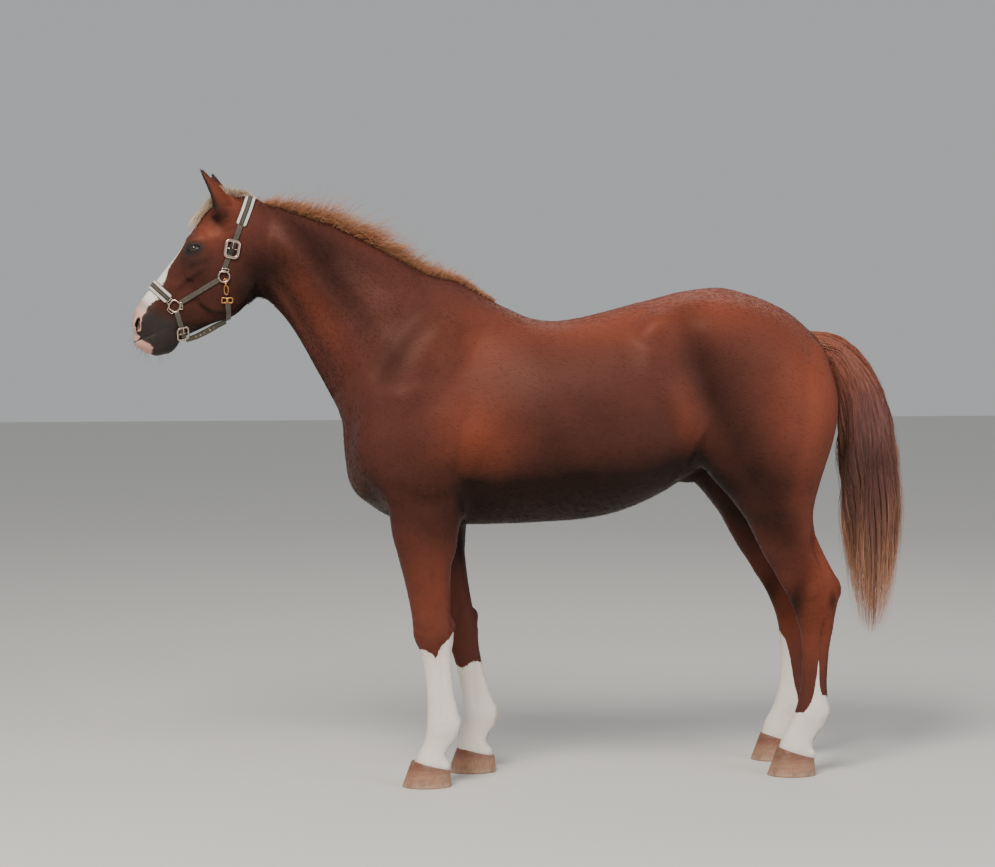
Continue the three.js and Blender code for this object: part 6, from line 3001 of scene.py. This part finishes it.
class Scatter:
    """Picks places on the skin."""

    def __init__(self, skin: bpy.types.Object) -> None:
        """Reads the skin's triangles in the horse's own millimetres.

        Args:
            skin: the skin.
        """
        mesh = skin.data
        mesh.calc_loop_triangles()
        triangles = np.empty(len(mesh.loop_triangles) * 3, np.int32)
        mesh.loop_triangles.foreach_get("vertices", triangles)
        co = np.empty(len(mesh.vertices) * 3, np.float32)
        mesh.vertices.foreach_get("co", co)
        self.verts = (co.reshape(-1, 3).astype(float) - (SHIFT, 0, 0)) * 1000
        self.normals = vertex_normals(skin)
        self.triangles = triangles.reshape(-1, 3)
        a, b, c = (self.verts[self.triangles[:, i]] for i in range(3))
        self.area = np.linalg.norm(np.cross(b - a, c - a), axis=1) / 2
        self.middle = (a + b + c) / 3
        self.facing = normed(self.normals[self.triangles].sum(1))

    def pick(
        self, count: int, weight: Callable[[Array, Array], Array], draw: np.random.Generator
    ) -> tuple[Array, Array]:
        """Places picked at random, more where the weight is greater.

        Args:
            count: how many places.
            weight: takes points and normals, gives how likely each is.
            draw: the source of chance.

        Returns:
            The places and the skin's directions there.
        """
        chance = np.cumsum(self.area * weight(self.middle, self.facing))
        faces = np.searchsorted(chance, draw.random(count) * chance[-1])
        faces = np.sort(np.clip(faces, 0, len(chance) - 1))
        u, v = draw.random((2, count))
        over = u + v > 1
        u, v = np.where(over, 1 - u, u), np.where(over, 1 - v, v)
        shares = np.stack([1 - u - v, u, v], 1)[..., None]
        corners = self.triangles[faces]
        return (self.verts[corners] * shares).sum(1), normed((self.normals[corners] * shares).sum(1))


def on_head(p: Array) -> Array:
    """Whether each point belongs to the head rather than to the neck."""
    return (p[:, 0] < -1190 + 0.147 * (1900 - p[:, 2])) & (p[:, 2] > 1380)


def on_neck(p: Array) -> Array:
    """Whether each point belongs to the neck."""
    return ~on_head(p) & (up_neck(p) > 120) & (p[:, 2] > 1250)


def on_legs(p: Array) -> Array:
    """Whether each point belongs to a leg."""
    return p[:, 2] < 800


def turn_about(p: Array, along: Array, up: Array) -> Array:
    """Share of a turn about an axis for each point, counted from below."""
    side = np.cross(along, up)
    return np.arctan2(p @ side, p @ up) / (2 * math.pi) + 0.5


class Unwrap:
    """Where each place on the skin lies on the skin's own unwrapped map, one map for each coat piece."""

    def __init__(self, form: HorseField) -> None:
        """Takes the form, for its legs."""
        self.form = form

    def trunk(self, p: Array) -> Array:
        """The barrel and quarters: along and round."""
        turn = turn_about(p - TRUNK_MIDDLE, np.array([1.0, 0, 0]), np.array([0, 0, 1.0]))
        return np.stack([(p[:, 0] + 1000) / 1860, turn], 1)

    def neck(self, p: Array) -> Array:
        """The neck: along and round."""
        return np.stack([(up_neck(p) - 60) / 760, turn_about(p - NECK_ORIGIN, NECK_ALONG, NECK_UP)], 1)

    def head(self, p: Array) -> Array:
        """The head, with the ears beside it.

        Args:
            p: points, in millimetres.

        Returns:
            A place for each point.
        """
        turn = turn_about(p - HEAD_ORIGIN, HEAD_ALONG, HEAD_UP)
        out = np.stack([(down_head(p) + 130) / 660 * 0.72, turn], 1)
        for row, ear in enumerate(EARS):
            stem, open_way, _, length = ear.axes()
            d = p - np.array(ear.root)
            t = d @ stem / length
            mine = (t > 0.1) & (p[:, 1] * ear.root[1] > 0) & (p[:, 2] > 1868)
            turn = turn_about(d, stem, open_way)
            out[mine] = np.stack([0.75 + 0.23 * t, (row + turn) / 2], 1)[mine]
        return out

    def legs(self, p: Array) -> Array:
        """The four legs side by side: down and round.

        Args:
            p: points, in millimetres.

        Returns:
            A place for each point.
        """
        out = np.zeros((len(p), 2))
        for row, (stance, limb, _) in enumerate(self.form.legs.values()):
            own = (p[:, 1] * stance.sign > 0) & ((p[:, 0] < 0) == stance.fore)
            _, up, side = limb.section(p[own])
            turn = np.arctan2(side, up) / (2 * math.pi) + 0.5
            out[own] = np.stack([(row + turn) / 4, p[own][:, 2] / 830], 1)
        return out


def lie_of_coat(p: Array, normals: Array) -> Array:
    """The way the hair lies on the skin at each place.

    Args:
        p: points, in millimetres.
        normals: the skin's outward directions there.

    Returns:
        A unit row for each point.
    """
    head, legs = on_head(p), smooth_step(-p[:, 2], -940, -760)
    neck = smooth_step(-p[:, 0], 560, 820)
    way = np.stack([np.ones(len(p)), -0.25 * np.sign(p[:, 1]) * (p[:, 2] < 1000), np.full(len(p), -0.35)], 1)
    way = way * (1 - neck)[:, None] + neck[:, None] * np.array([0.72, 0, -0.7])
    way = way * (1 - legs)[:, None] + legs[:, None] * np.array([0.1, 0, -1.0])
    down = smooth_step(down_head(p), 40, 120) * 2 - 1
    face = down[:, None] * HEAD_ALONG - 0.55 * HEAD_UP
    way = np.where(head[:, None], face, way)
    for ear in EARS:
        stem = ear.axes()[0]
        mine = (p[:, 2] > 1870) & (p[:, 1] * ear.root[1] > 0) & head
        way = np.where(mine[:, None], stem, way)
    return normed(way - (way * normals).sum(1)[:, None] * normals)


@dataclass(frozen=True)
class CoatPart:
    """One piece of the coat.

    Attributes:
        name: the piece's name.
        count: how many tufts it has.
        unwrap: which of the unwrapped maps it uses.
        covers: tells which places belong to it.
        length: length of its tufts where the coat lies flat, mm.
        width: their width, mm.
    """

    name: str
    count: int
    unwrap: str
    covers: Callable[[Array], Array]
    length: float
    width: float


def on_trunk(p: Array) -> Array:
    """Whether each point belongs to the trunk."""
    return ~(on_head(p) | on_neck(p) | on_legs(p))


COAT_PARTS = (
    CoatPart("coat_face", 38000, "head", on_head, 5.5, 0.8),
    CoatPart("coat_neck", 36000, "neck", on_neck, 12.0, 1.3),
    CoatPart("coat_barrel", 45000, "trunk", on_trunk, 13.0, 1.5),
    CoatPart("coat_legs", 42000, "legs", on_legs, 8.0, 1.1),
)


class Coat:
    """The short summer coat: flat tufts that break the outline, thickest where the hair is longest."""

    def __init__(self, form: HorseField, scatter: Scatter) -> None:
        """Takes the form and the skin that the tufts grow on.

        Args:
            form: the signed distance of the whole horse.
            scatter: picks places on the skin.
        """
        self.form = form
        self.scatter = scatter
        self.markings = Markings(form)

    def fringe(self, p: Array, n: Array) -> Array:
        """How far each place bears the longer hair of belly, throat, breast, fetlocks, coronets and ears.

        Args:
            p: points, in millimetres.
            n: the skin's outward directions there.

        Returns:
            A share for each place, 0 where the coat is short.
        """
        x, z = p[:, 0], p[:, 2]
        belly = smooth_step(-n[:, 2], 0.45, 0.95) * (z > 760) * (x > -700)
        throat = smooth_step(-n[:, 2], 0.3, 0.9) * (x < -760)
        breast = 0.4 * smooth_step(-n[:, 0], 0.55, 0.95) * (x < -700) * (z < 1300) * (z > 820)
        back = smooth_step(n[:, 0], 0.35, 0.9) * (z < 640)
        fetlock = back * smooth_step(-np.abs(z - 165), -75, -35) * 1.6
        coronet = smooth_step(-z, -84, -60) * (z < 100)
        rim = (z > 1875) * on_head(p)
        croup = 0.3 * smooth_step(n[:, 0], 0.5, 0.95) * smooth_step(z, 1150, 1300) * (x > 600)
        crest = smooth_step(n[:, 2], 0.55, 0.95) * (z > 1500) * 0.4
        places = [belly, throat, breast, 0.55 * back, fetlock, coronet, rim, croup, crest]
        return np.clip(np.max(places, 0), 0, 1.6)

    def grow(
        self, part: CoatPart, draw: np.random.Generator, material: bpy.types.Material
    ) -> bpy.types.Object:
        """Makes one piece of the coat.

        Args:
            part: the piece to make.
            draw: the source of chance.
            material: what it is made of.

        Returns:
            The mesh object.
        """

        def weight(p: Array, n: Array) -> Array:
            """More tufts on the fringes; none under bare skin."""
            return part.covers(p) * (1 + 3.0 * self.fringe(p, n)) * self.hairy(p)

        roots, normals = self.scatter.pick(part.count, weight, draw)
        long = self.fringe(roots, normals)
        muzzle = smooth_step(down_head(roots), 300, 400) * on_head(roots)
        length = part.length * (1 + 0.5 * long) * (1 - 0.5 * muzzle) * draw.uniform(0.7, 1.25, len(roots))
        way = lie_of_coat(roots, normals)
        side = np.cross(normals, way)
        way = normed(way + side * draw.normal(0, 0.16, len(roots))[:, None])
        lift = np.radians(4.5 + 6 * long + draw.uniform(-2, 3, len(roots)))[:, None]
        tip = roots + length[:, None] * (np.cos(lift) * way + np.sin(lift) * normals)
        half = part.width * draw.uniform(0.7, 1.2, len(roots))[:, None] / 2
        base = roots - 0.5 * normals
        crown = roots + 0.16 * length[:, None] * way + (0.22 + 0.08 * part.width) * normals
        verts = np.stack([base - half * side, base + half * side, crown, tip], 1).reshape(-1, 3)
        start = np.arange(len(roots))[:, None] * 4
        faces = np.concatenate([start + corner for corner in ((0, 2, 1), (1, 2, 3), (3, 2, 0), (0, 1, 3))])
        made = make_object(part.name, verts, [faces])
        marks = self.markings.at(roots, normals)
        for field_name in marks.__dataclass_fields__:
            setattr(marks, field_name, np.repeat(getattr(marks, field_name), 4))
        shade = np.repeat(draw.normal(0, 0.04, len(roots)), 4)
        marks.dark = np.clip(marks.dark + shade, 0, 1)
        paint(made, marks)
        places = getattr(Unwrap(self.form), part.unwrap)(roots)
        spots = np.array([(-0.5, -0.5), (0.5, -0.5), (0, 0), (0, 0.5)]) * PATCH
        places = np.clip(places, 0.002, 0.998)
        lay_out(made, (places[:, None] + spots[None]).reshape(-1, 2))
        shown = normed(normals * 1.0 + 0.25 * draw.normal(0, 1, (len(roots), 1)) * side)
        made.data.normals_split_custom_set_from_vertices(np.repeat(shown, 4, 0))
        made.data.materials.append(material)
        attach(made, "root")
        return made

    def hairy(self, p: Array) -> Array:
        """Where hair grows at all: not on the eyelids' edges, the nostrils' insides or the lips.

        Args:
            p: points, in millimetres.

        Returns:
            A share for each place, 1 where it grows full.
        """
        along, level, _ = eye_places(p)
        eye = np.hypot(along / 34, level / 22)
        bare = on_head(p) * smooth_step(down_head(p), 405, 450)
        return (1 - 0.9 * bare) * np.where((eye < 1) & on_head(p), 0.05, 1.0)

    def build(self) -> None:
        """Makes every piece of the coat."""
        draw = np.random.default_rng(41)
        material = CoatFinish().material("chestnut coat", 0.0)
        for part in COAT_PARTS:
            made = self.grow(part, draw, material)
            log.info("%s: %d tufts", made.name, part.count)


@dataclass(frozen=True)
class Growth:
    """How one kind of long hair grows.

    Attributes:
        count: how many strands.
        steps: how many parts each strand has.
        shortest: length of the shortest where the hair is full, mm.
        longest: length of the longest, mm.
        lift: how far off the skin it hangs, mm.
    """

    count: int
    steps: int
    shortest: float
    longest: float
    lift: float


MANE = Growth(6000, 5, 62, 128, 3.0)
FORELOCK = Growth(2600, 8, 40, 112, 2.5)
TIP = 0.12  # width of a strand's end, as a share of its root's
LASHES, WHISKERS = 30, 90  # lashes on each upper lid, and whiskers in all
BRISTLE_POINTS = 7  # points along each lash and whisker


class LongHair:
    """Mane, forelock, lashes and whiskers."""

    def __init__(self, form: HorseField, scatter: Scatter) -> None:
        """Takes the form and its skin."""
        self.form = form
        self.scatter = scatter

    def hang(self, roots: Array, start: Array, pull: Array, length: Array, steps: int, lift: float) -> Array:
        """Lets strands fall over the body.

        Args:
            roots: where they grow.
            start: the way each grows at its root.
            pull: what bends each, at every step.
            length: each strand's length, mm.
            steps: how many parts it has.
            lift: how far off the skin it stays, mm.

        Returns:
            Their points, indexed by strand and step.
        """
        rows, way = [roots - 2.0 * start], normed(start)
        at = roots.copy()
        for _ in range(steps):
            way = normed(way + pull)
            at = at + way * (length / steps)[:, None]
            for _ in range(2):
                d = self.form.whole(at, False)
                up = normed(gradient(lambda q: self.form.whole(q, False), at, 3.0))
                at = at + np.maximum(lift - d, 0)[:, None] * up
            way = normed(at - rows[-1])
            rows.append(at)
        return np.stack(rows, 1)

    def looks(self, count: int, steps: int, draw: np.random.Generator, pale: float) -> Array:
        """Colour values for strands: ends paler than roots, some strands paler than others.

        Args:
            count: how many there are.
            steps: how many points each one has.
            draw: the source of chance.
            pale: how much paler some of them are.

        Returns:
            Three values for each point: end, pale and bright.
        """
        share = np.linspace(0, 1, steps)[None, :]
        ends = np.clip(share + draw.normal(0, 0.2, (count, 1)), 0, 1)
        light = np.clip(draw.random((count, 1)) ** 2 * pale * 1.6, 0, 1)
        bright = np.clip(draw.normal(0.55, 0.2, (count, 1)), 0, 1)
        return np.stack(np.broadcast_arrays(ends, light, bright), -1)

    def mane(self) -> None:
        """The short pulled mane along the crest, which falls to the right."""
        draw = np.random.default_rng(7)
        count, steps = MANE.count, MANE.steps

        def crest(p: Array, n: Array) -> Array:
            """Where the mane grows.

            Args:
                p: points, in millimetres.
                n: the skin's outward directions there.

            Returns:
                A weight for each place.
            """
            along = up_neck(p)
            edge = smooth_step(-np.abs(p[:, 1] + 2), -30, -13) * smooth_step(-along, -700, -610)
            return edge * (along > -130) * (n[:, 2] > 0.2) * (p[:, 2] > 1500)

        roots, normals = self.scatter.pick(count, crest, draw)
        along = up_neck(roots)
        rise = np.interp(along, MANE_RISE_AT, MANE_RISE)
        lock = np.exp(-(((along - MANE_LOCK[0]) / MANE_LOCK[1]) ** 2))
        length = draw.uniform(MANE.shortest, MANE.longest, count) * rise * (1 + 0.5 * lock)
        near = draw.random(count) < np.where(roots[:, 1] < 1, 0.85, 0.1)
        lean = np.where(near, -0.55, 1.0)
        clump = np.sin(along / 17) + 0.6 * np.sin(along / 7.3 + 1)
        start = normals * 1.3 + NECK_ALONG * (draw.normal(-0.15, 0.22, count) + 0.1 * clump)[:, None]
        start[:, 1] += 0.35 * lean + draw.normal(0, 0.14, count) + 0.25 * near
        sag = draw.normal(-0.27, 0.06, count) * np.where(near, 0.85, 1.0)
        pull = np.stack([0.05 * clump + draw.normal(0.03, 0.04, count), 0.12 * lean, sag], 1)
        short = np.where(near, 0.58 * np.clip(1.35 + roots[:, 1] / 24, 0.3, 1), 1.0)
        paths = self.hang(roots, start, pull, length * short, steps, MANE.lift)
        half = 0.72 * np.linspace(1, TIP, steps + 1)[None] ** 0.7 * draw.uniform(0.7, 1.3, (count, 1))
        places = np.stack([(along + 130) / 800, 0.5 + roots[:, 1] / 40], 1)
        looks = self.looks(count, steps + 1, draw, 0.5)
        strands = Strands(paths, half, normals, looks, np.clip(places, 0.01, 0.99))
        made = strands.build("mane_hair", MANE_HAIR.material(), "mane_hair")
        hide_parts("mane")
        log.info("mane: %d strands", count)

    def forelock(self) -> None:
        """The thin pale forelock, and the tuft between the ears and the crown strap."""
        draw = np.random.default_rng(11)
        count, steps = FORELOCK.count, FORELOCK.steps

        def poll(p: Array, n: Array) -> Array:
            """Where the forelock grows."""
            s = down_head(p)
            return (s > -120) * (s < -14) * (np.abs(p[:, 1]) < 30) * (n[:, 2] > 0.3) * (p[:, 2] > 1840)

        roots, normals = self.scatter.pick(count, poll, draw)
        s = down_head(roots)
        front = smooth_step(s, -74, -36)
        full = np.interp(s, (-118, -90, -66, -40), (0.24, 0.38, 0.62, 1.0))
        length = draw.uniform(FORELOCK.shortest, FORELOCK.longest, count) * full
        start = normals * draw.uniform(0.7, 1.3, (count, 1)) + HEAD_ALONG * (0.9 * front - 0.1)[:, None]
        start[:, 1] += draw.normal(0, 0.18, count)
        spread = np.sign(roots[:, 1]) * draw.uniform(0, 0.05, count) + draw.normal(0, 0.05, count)
        pull = np.stack([-0.05 * front, spread, -0.2 - 0.14 * draw.random(count)], 1)
        paths = self.hang(roots, start, pull, length, steps, FORELOCK.lift)
        half = np.linspace(1, TIP, steps + 1)[None] ** 0.7 * draw.uniform(0.45, 0.9, (count, 1))
        places = np.stack([(s + 125) / 115, 0.5 + roots[:, 1] / 60], 1)
        looks = self.looks(count, steps + 1, draw, 0.7)
        strands = Strands(paths, half, normals, looks, np.clip(places, 0.01, 0.99))
        made = strands.build("forelock_hair", FORELOCK_HAIR.material(), "mane_hair")
        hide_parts("forelock")
        log.info("forelock: %d strands", count)

    def lashes(self) -> None:
        """Lashes on the upper lids, and whiskers on lips, chin and below the eyes."""
        draw = np.random.default_rng(5)
        along, up = eye_axes()
        rows = []
        share = np.linspace(0, 1, BRISTLE_POINTS)[:, None]
        for side in (-1, 1):
            places = np.linspace(-0.8, 0.85, LASHES) * EYE_SLIT + draw.normal(0, 0.6, LASHES)
            top = lid_edges(places)[0]
            for place, level in zip(places, top):
                root = np.sqrt(max(1.0, (EYE_RADIUS + 2.5) ** 2 - place**2 - level**2))
                start = place * along + (level + 0.5) * up + root * EYE_OUT
                long = draw.uniform(13, 20)
                outward = share * (0.8 * EYE_OUT + 0.2 * place / EYE_SLIT * along)
                path = start + long * (outward - 0.75 * share**1.3 * up)
                path = np.array(EYE_CENTRE) + path
                path[:, 1] *= side
                rows.append(path)

        def lips(p: Array, n: Array) -> Array:
            """Where the whiskers grow."""
            return on_head(p) * (down_head(p) > 400) * (n[:, 2] < 0.3)

        roots, normals = self.scatter.pick(WHISKERS, lips, draw)
        for root, normal in zip(roots, normals):
            long = draw.uniform(12, 30)
            bend = np.array([draw.normal(0, 0.2), draw.normal(0, 0.2), -0.35])
            rows.append(root - normal + long * (share * normal + share**2 * bend))
        paths = np.array(rows)
        half = np.linspace(0.42, 0.08, BRISTLE_POINTS)[None] * np.ones((len(paths), 1))
        out = np.tile((0.0, 0.0, 1.0), (len(paths), 1))
        grid = np.stack([np.arange(len(paths)) / len(paths), np.full(len(paths), 0.5)], 1)
        looks = self.looks(len(paths), BRISTLE_POINTS, draw, 0.3)
        strands = Strands(paths, half, out, looks, np.clip(grid, 0.01, 0.99))
        strands.build("lashes_and_whiskers", DARK_HAIR.material(), "mane_hair")
        log.info("lashes and whiskers: %d", len(paths))


TAIL_ROWS = (  # x, z, direction, half thickness, half width
    (725, 1446, 0, 38, 34),
    (768, 1447, -3, 36, 34),
    (808, 1441, -14, 37, 35),
    (842, 1420, -32, 44, 40),
    (872, 1384, -45, 56, 46),
    (905, 1330, -54, 70, 52),
    (938, 1250, -70, 83, 57),
    (956, 1150, -81, 91, 58),
    (964, 1050, -85, 96, 58),
    (974, 900, -88, 100, 56),
    (978, 790, -90, 99, 52),
    (980, 690, -90, 92, 46),
    (980, 600, -91, 80, 42),
    (980, 515, -93, 64, 34),
    (974, 435, -96, 40, 22),
)


TAIL_POINTS = 13  # points along each strand
TAIL_LOCKS = 30  # locks round the tail
TAIL_TAPER = ((0, 0.12, 0.6, 1), (0.7, 1, 0.75, 0.1))  # a strand's thickness at shares of its length
DOCK_COVER = ((0, 90, 240), (38, 31, 22))  # how far from the dock's middle the hair starts, down the dock, mm
DOCK_HAIR = 235.0  # length of the dock that hair grows on, mm


class Tail:
    """The tail: long hair that grows from the dock and hangs in wavy locks."""

    def __init__(self) -> None:
        """Reads the tail's line."""
        rows = np.array(TAIL_ROWS, float)
        self.at = np.concatenate([[0], np.cumsum(np.hypot(np.diff(rows[:, 0]), np.diff(rows[:, 1])))])
        self.rows = rows

    def place(self, t: Array, across: Array, turn: Array, flare: Array) -> Array:
        """Points inside the tail.

        Args:
            t: distance along it, mm.
            across: share of its half thickness.
            turn: bearing round its line, radians; 0 is the outer side.
            flare: extra share at the place.

        Returns:
            The points.
        """
        x, z, way, thick, wide = (np.interp(t, self.at, self.rows[:, i]) for i in range(5))
        a = np.radians(way)
        up = across * thick * np.cos(turn) * (1 + flare)
        side = across * wide * np.sin(turn) * (1 + flare)
        return np.stack([x - up * np.sin(a), side, z + up * np.cos(a)], -1)

    def strands(self, count: int, low: float, high: float, draw: np.random.Generator) -> Strands:
        """One layer of the tail's hair.

        Args:
            count: how many strands.
            low: innermost share of the tail's thickness that it fills.
            high: outermost share.
            draw: the source of chance.

        Returns:
            The strands.
        """
        root = draw.random(count) ** 1.25 * DOCK_HAIR + 6
        turn = draw.uniform(0, 2 * math.pi, count)
        whole = self.at[-1]
        outer = low + (high - low) * draw.random(count) ** 0.6
        sink = draw.uniform(0.35, 1.0, count)[:, None]
        reach = whole * (0.5 + 0.5 * draw.random(count) ** 2.4) - 20 * outer
        short = (root < 120) & (draw.random(count) < 0.3)
        reach = np.where(short, root + draw.uniform(130, 420, count), reach)
        reach = np.clip(reach, root + 90, whole - 2)
        share = np.linspace(0, 1, TAIL_POINTS)[None, :] ** 0.9
        t = root[:, None] + (reach - root)[:, None] * share
        dock = np.interp(root, self.at, self.rows[:, 3])
        start = (0.86 * np.minimum(dock, np.interp(root, *DOCK_COVER)) / dock)[:, None]
        settle = smooth_step((t - root[:, None]) / 130.0, 0.0, 1.0)
        across = start * (1 - settle) + outer[:, None] * settle
        across *= 1 - (1 - sink) * smooth_step(t / whole, 0.6, 1.0)
        uneven = np.append(draw.uniform(-0.3, 0.3, TAIL_LOCKS), 0)
        centres = (np.arange(TAIL_LOCKS + 1) + uneven) * 2 * math.pi / TAIL_LOCKS
        lock = centres[np.abs(turn[:, None] - centres[None]).argmin(1)]
        gather = 0.2 * smooth_step(t / whole, 0.25, 0.6) + 0.25 * smooth_step(t / whole, 0.6, 0.95)
        bearing = turn[:, None] * (1 - gather) + lock[:, None] * gather
        phase = lock[:, None] * 5.1
        wave = 0.055 * np.sin(t / 74 + phase) + 0.03 * np.sin(t / 31 + 2 * phase)
        bearing = bearing + 0.05 * np.sin(t / 120 + phase) * settle
        ends = 1 + 0.17 * smooth_step(share, 0.7, 1) * draw.normal(0, 1, (count, 1))
        points = self.place(t, np.clip(across * ends, 0, 1.12), bearing, wave * settle)
        points[..., 0] += 4.0 * np.sin(t / 53 + phase) * settle
        half = 1.35 * draw.uniform(0.7, 1.25, (count, 1)) * np.interp(share, *TAIL_TAPER)
        zero = np.zeros((count, 1))
        out = self.place(t[:, :1], np.ones((count, 1)), turn[:, None], zero)[:, 0]
        out = normed(out - self.place(t[:, :1], zero, turn[:, None], zero)[:, 0])
        looks = self.looks(t / whole, root, turn, lock, draw)
        places = np.stack([root / 245, (turn / (2 * math.pi)) % 1], 1)
        return Strands(points, half, out, looks, np.clip(places, 0.01, 0.99))

    def looks(self, down: Array, root: Array, turn: Array, lock: Array, draw: np.random.Generator) -> Array:
        """Colour values: paler down the tail, most so at its edges and in some of the locks, and brighter low
        down as painted light.

        Args:
            down: shares of the tail's length, for each point of each strand.
            root: how far down the dock each strand grows, mm.
            turn: each strand's bearing round the tail, radians.
            lock: the bearing of its lock.
            draw: the source of chance.

        Returns:
            Three values for each point: end, flaxen and bright.
        """
        count = len(root)
        edge = np.abs(np.sin(lock * 3.3 + 0.4))[:, None]
        side = np.abs(np.cos(turn))[:, None]
        low_down = smooth_step(down, 0.5, 0.95)
        flaxen = smooth_step(down, 0.15, 0.6) * 0.7 * edge * side**3 + low_down * (0.5 + 0.5 * edge)
        flaxen = np.clip((flaxen + 0.1 * (root[:, None] < 60)) * draw.uniform(0.15, 1.35, (count, 1)), 0, 1)
        end = np.clip(smooth_step(down, 0.1, 0.4) + draw.normal(0, 0.12, (count, 1)), 0, 1)
        # Brighter low down: painted light on the lower tail, which lies partly in shade.
        bright = 0.5 + 0.16 * draw.normal(0, 1, (count, 1)) + 0.18 * (edge - 0.5) + 0.3 * low_down
        return np.stack([end, flaxen, np.clip(bright, 0, 1)], -1)

    def core(self, material: bpy.types.Material) -> bpy.types.Object:
        """The dense inner hair, as one closed body.

        Args:
            material: what it is made of.

        Returns:
            The mesh object.
        """
        t = np.linspace(70, self.at[-1] * 0.58, 60)
        turn = np.linspace(0, 2 * math.pi, 48, endpoint=False)
        grid_t, grid_turn = np.meshgrid(t, turn, indexing="ij")
        share = 0.72 * np.interp(grid_t, (70, 240, 480, self.at[-1] * 0.58), (0.66, 0.9, 0.85, 0.25))
        groove = 0.06 * np.sin(grid_turn * 14 + grid_t / 150) + 0.04 * np.sin(grid_turn * 9)
        points = self.place(grid_t, share, grid_turn, groove)
        rows = points.reshape(-1, 3)
        ends = self.place(t[[0, -1]], np.zeros(2), np.zeros(2), np.zeros(2))
        made = make_object("tail_core", np.concatenate([rows, ends]), tube_faces(60, 48))
        face_outward(made)
        store(made, "strand", np.tile((0.8, 0.05, 0.2, 1.0), (len(rows) + 2, 1)))
        made.data.materials.append(material)
        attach(made, "root")
        return made

    def build(self) -> None:
        """Makes the tail in layers."""
        material = TAIL_HAIR.material()
        draw = np.random.default_rng(23)
        self.core(material)
        for name, count, low, high, nodes in (
            ("tail_inner_hair", 2300, 0.05, 0.85, ("tail_upper",)),
            ("tail_outer_hair", 2400, 0.8, 1.0, ("tail_lower",)),
            ("tail_surface_hair", 2400, 0.9, 1.0, ()),
        ):
            made = self.strands(count, low, high, draw).build(name, material, "tail_hair")
            if nodes:
                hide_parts(*nodes)
            log.info("%s: %d strands", name, count)


# ------------------------------------------------------------------------------------------ stage


@dataclass(frozen=True)
class Studio:
    """The floor, the light and the camera.

    Attributes:
        eye: where the camera stands, in the horse's own millimetres.
        heading: how far it looks to the tail's side of square, degrees.
        dip: how far it looks down, degrees.
        lens: its focal length, mm.
        floor_side: the floor's size, metres.
        floor_gap: how far the floor lies below the soles, metres.
    """

    eye: tuple = (-1663.0, -7825.0, 1500.0)
    heading: float = 9.77
    dip: float = 2.586
    lens: float = 86.9
    floor_side: float = 60.0
    floor_gap: float = 0.0005

    def floor(self) -> bpy.types.Object:
        """A plain pale floor under the hooves.

        Returns:
            The mesh object.
        """
        half = self.floor_side / 2
        mesh = bpy.data.meshes.new("floor")
        corners = [(-half, -half), (half, -half), (half, half), (-half, half)]
        mesh.from_pydata([(x, y, -self.floor_gap) for x, y in corners], [], [(0, 1, 2, 3)])
        material, tree = new_material("plain pale floor")
        tree.surface({"Base Color": colour("#d9d7d2"), "Roughness": 0.85})
        mesh.materials.append(material)
        return link(bpy.data.objects.new("floor", mesh))

    def lights(self) -> None:
        """A broad key light from the camera's left, a soft fill and a weak one from behind."""
        for name, at, aim, size, power, tint in (
            ("key", (-2.6, -4.6, 6.4), (0, 0, 1.0), 3.0, 640, "#fff8f0"),
            ("fill", (5.5, -5.0, 3.0), (0.2, 0, 0.9), 4.0, 170, "#f1f5ff"),
            ("back", (2.5, 5.0, 5.5), (0, 0, 1.2), 3.5, 50, "#ffeee4"),
        ):
            lamp = bpy.data.lights.new(name, "AREA")
            lamp.size = size
            lamp.energy = power
            lamp.color = colour(tint)[:3]
            made = bpy.data.objects.new(name, lamp)
            made.location = at
            made.rotation_euler = (Vector(aim) - Vector(at)).to_track_quat("-Z", "Y").to_euler()
            link(made)
        world = bpy.data.worlds.new("soft room")
        world.use_nodes = True
        background = world.node_tree.nodes["Background"]
        background.inputs["Color"].default_value = colour("#eceef0")
        background.inputs["Strength"].default_value = 0.5
        bpy.context.scene.world = world

    def camera(self) -> None:
        """The camera, level with the horse's back on its left side."""
        data = bpy.data.cameras.new("camera")
        data.lens = self.lens
        data.clip_end = 200
        made = bpy.data.objects.new("camera", data)
        made.location = in_frame(self.eye)
        made.rotation_euler = (math.radians(90 - self.dip), 0, math.radians(-self.heading))
        bpy.context.scene.camera = link(made)


def main() -> None:
    """Builds the horse, then its stage."""
    logging.basicConfig(level=logging.INFO, format="%(message)s")
    form = HorseField()
    scatter = Scatter(Skin(form).build())
    wet = EyeFinish().material()
    for side in (-1, 1):
        Eye(side).build(wet)
    horn = HornFinish().material()
    for stance in STANCES:
        Hoof(stance).build(horn)
    Halter(form, HalterSizes()).build()
    Coat(form, scatter).build()
    hair = LongHair(form, scatter)
    hair.mane()
    hair.forelock()
    hair.lashes()
    Tail().build()
    studio = Studio()
    studio.floor()
    studio.lights()
    studio.camera()


if __name__ == "__main__":
    main()
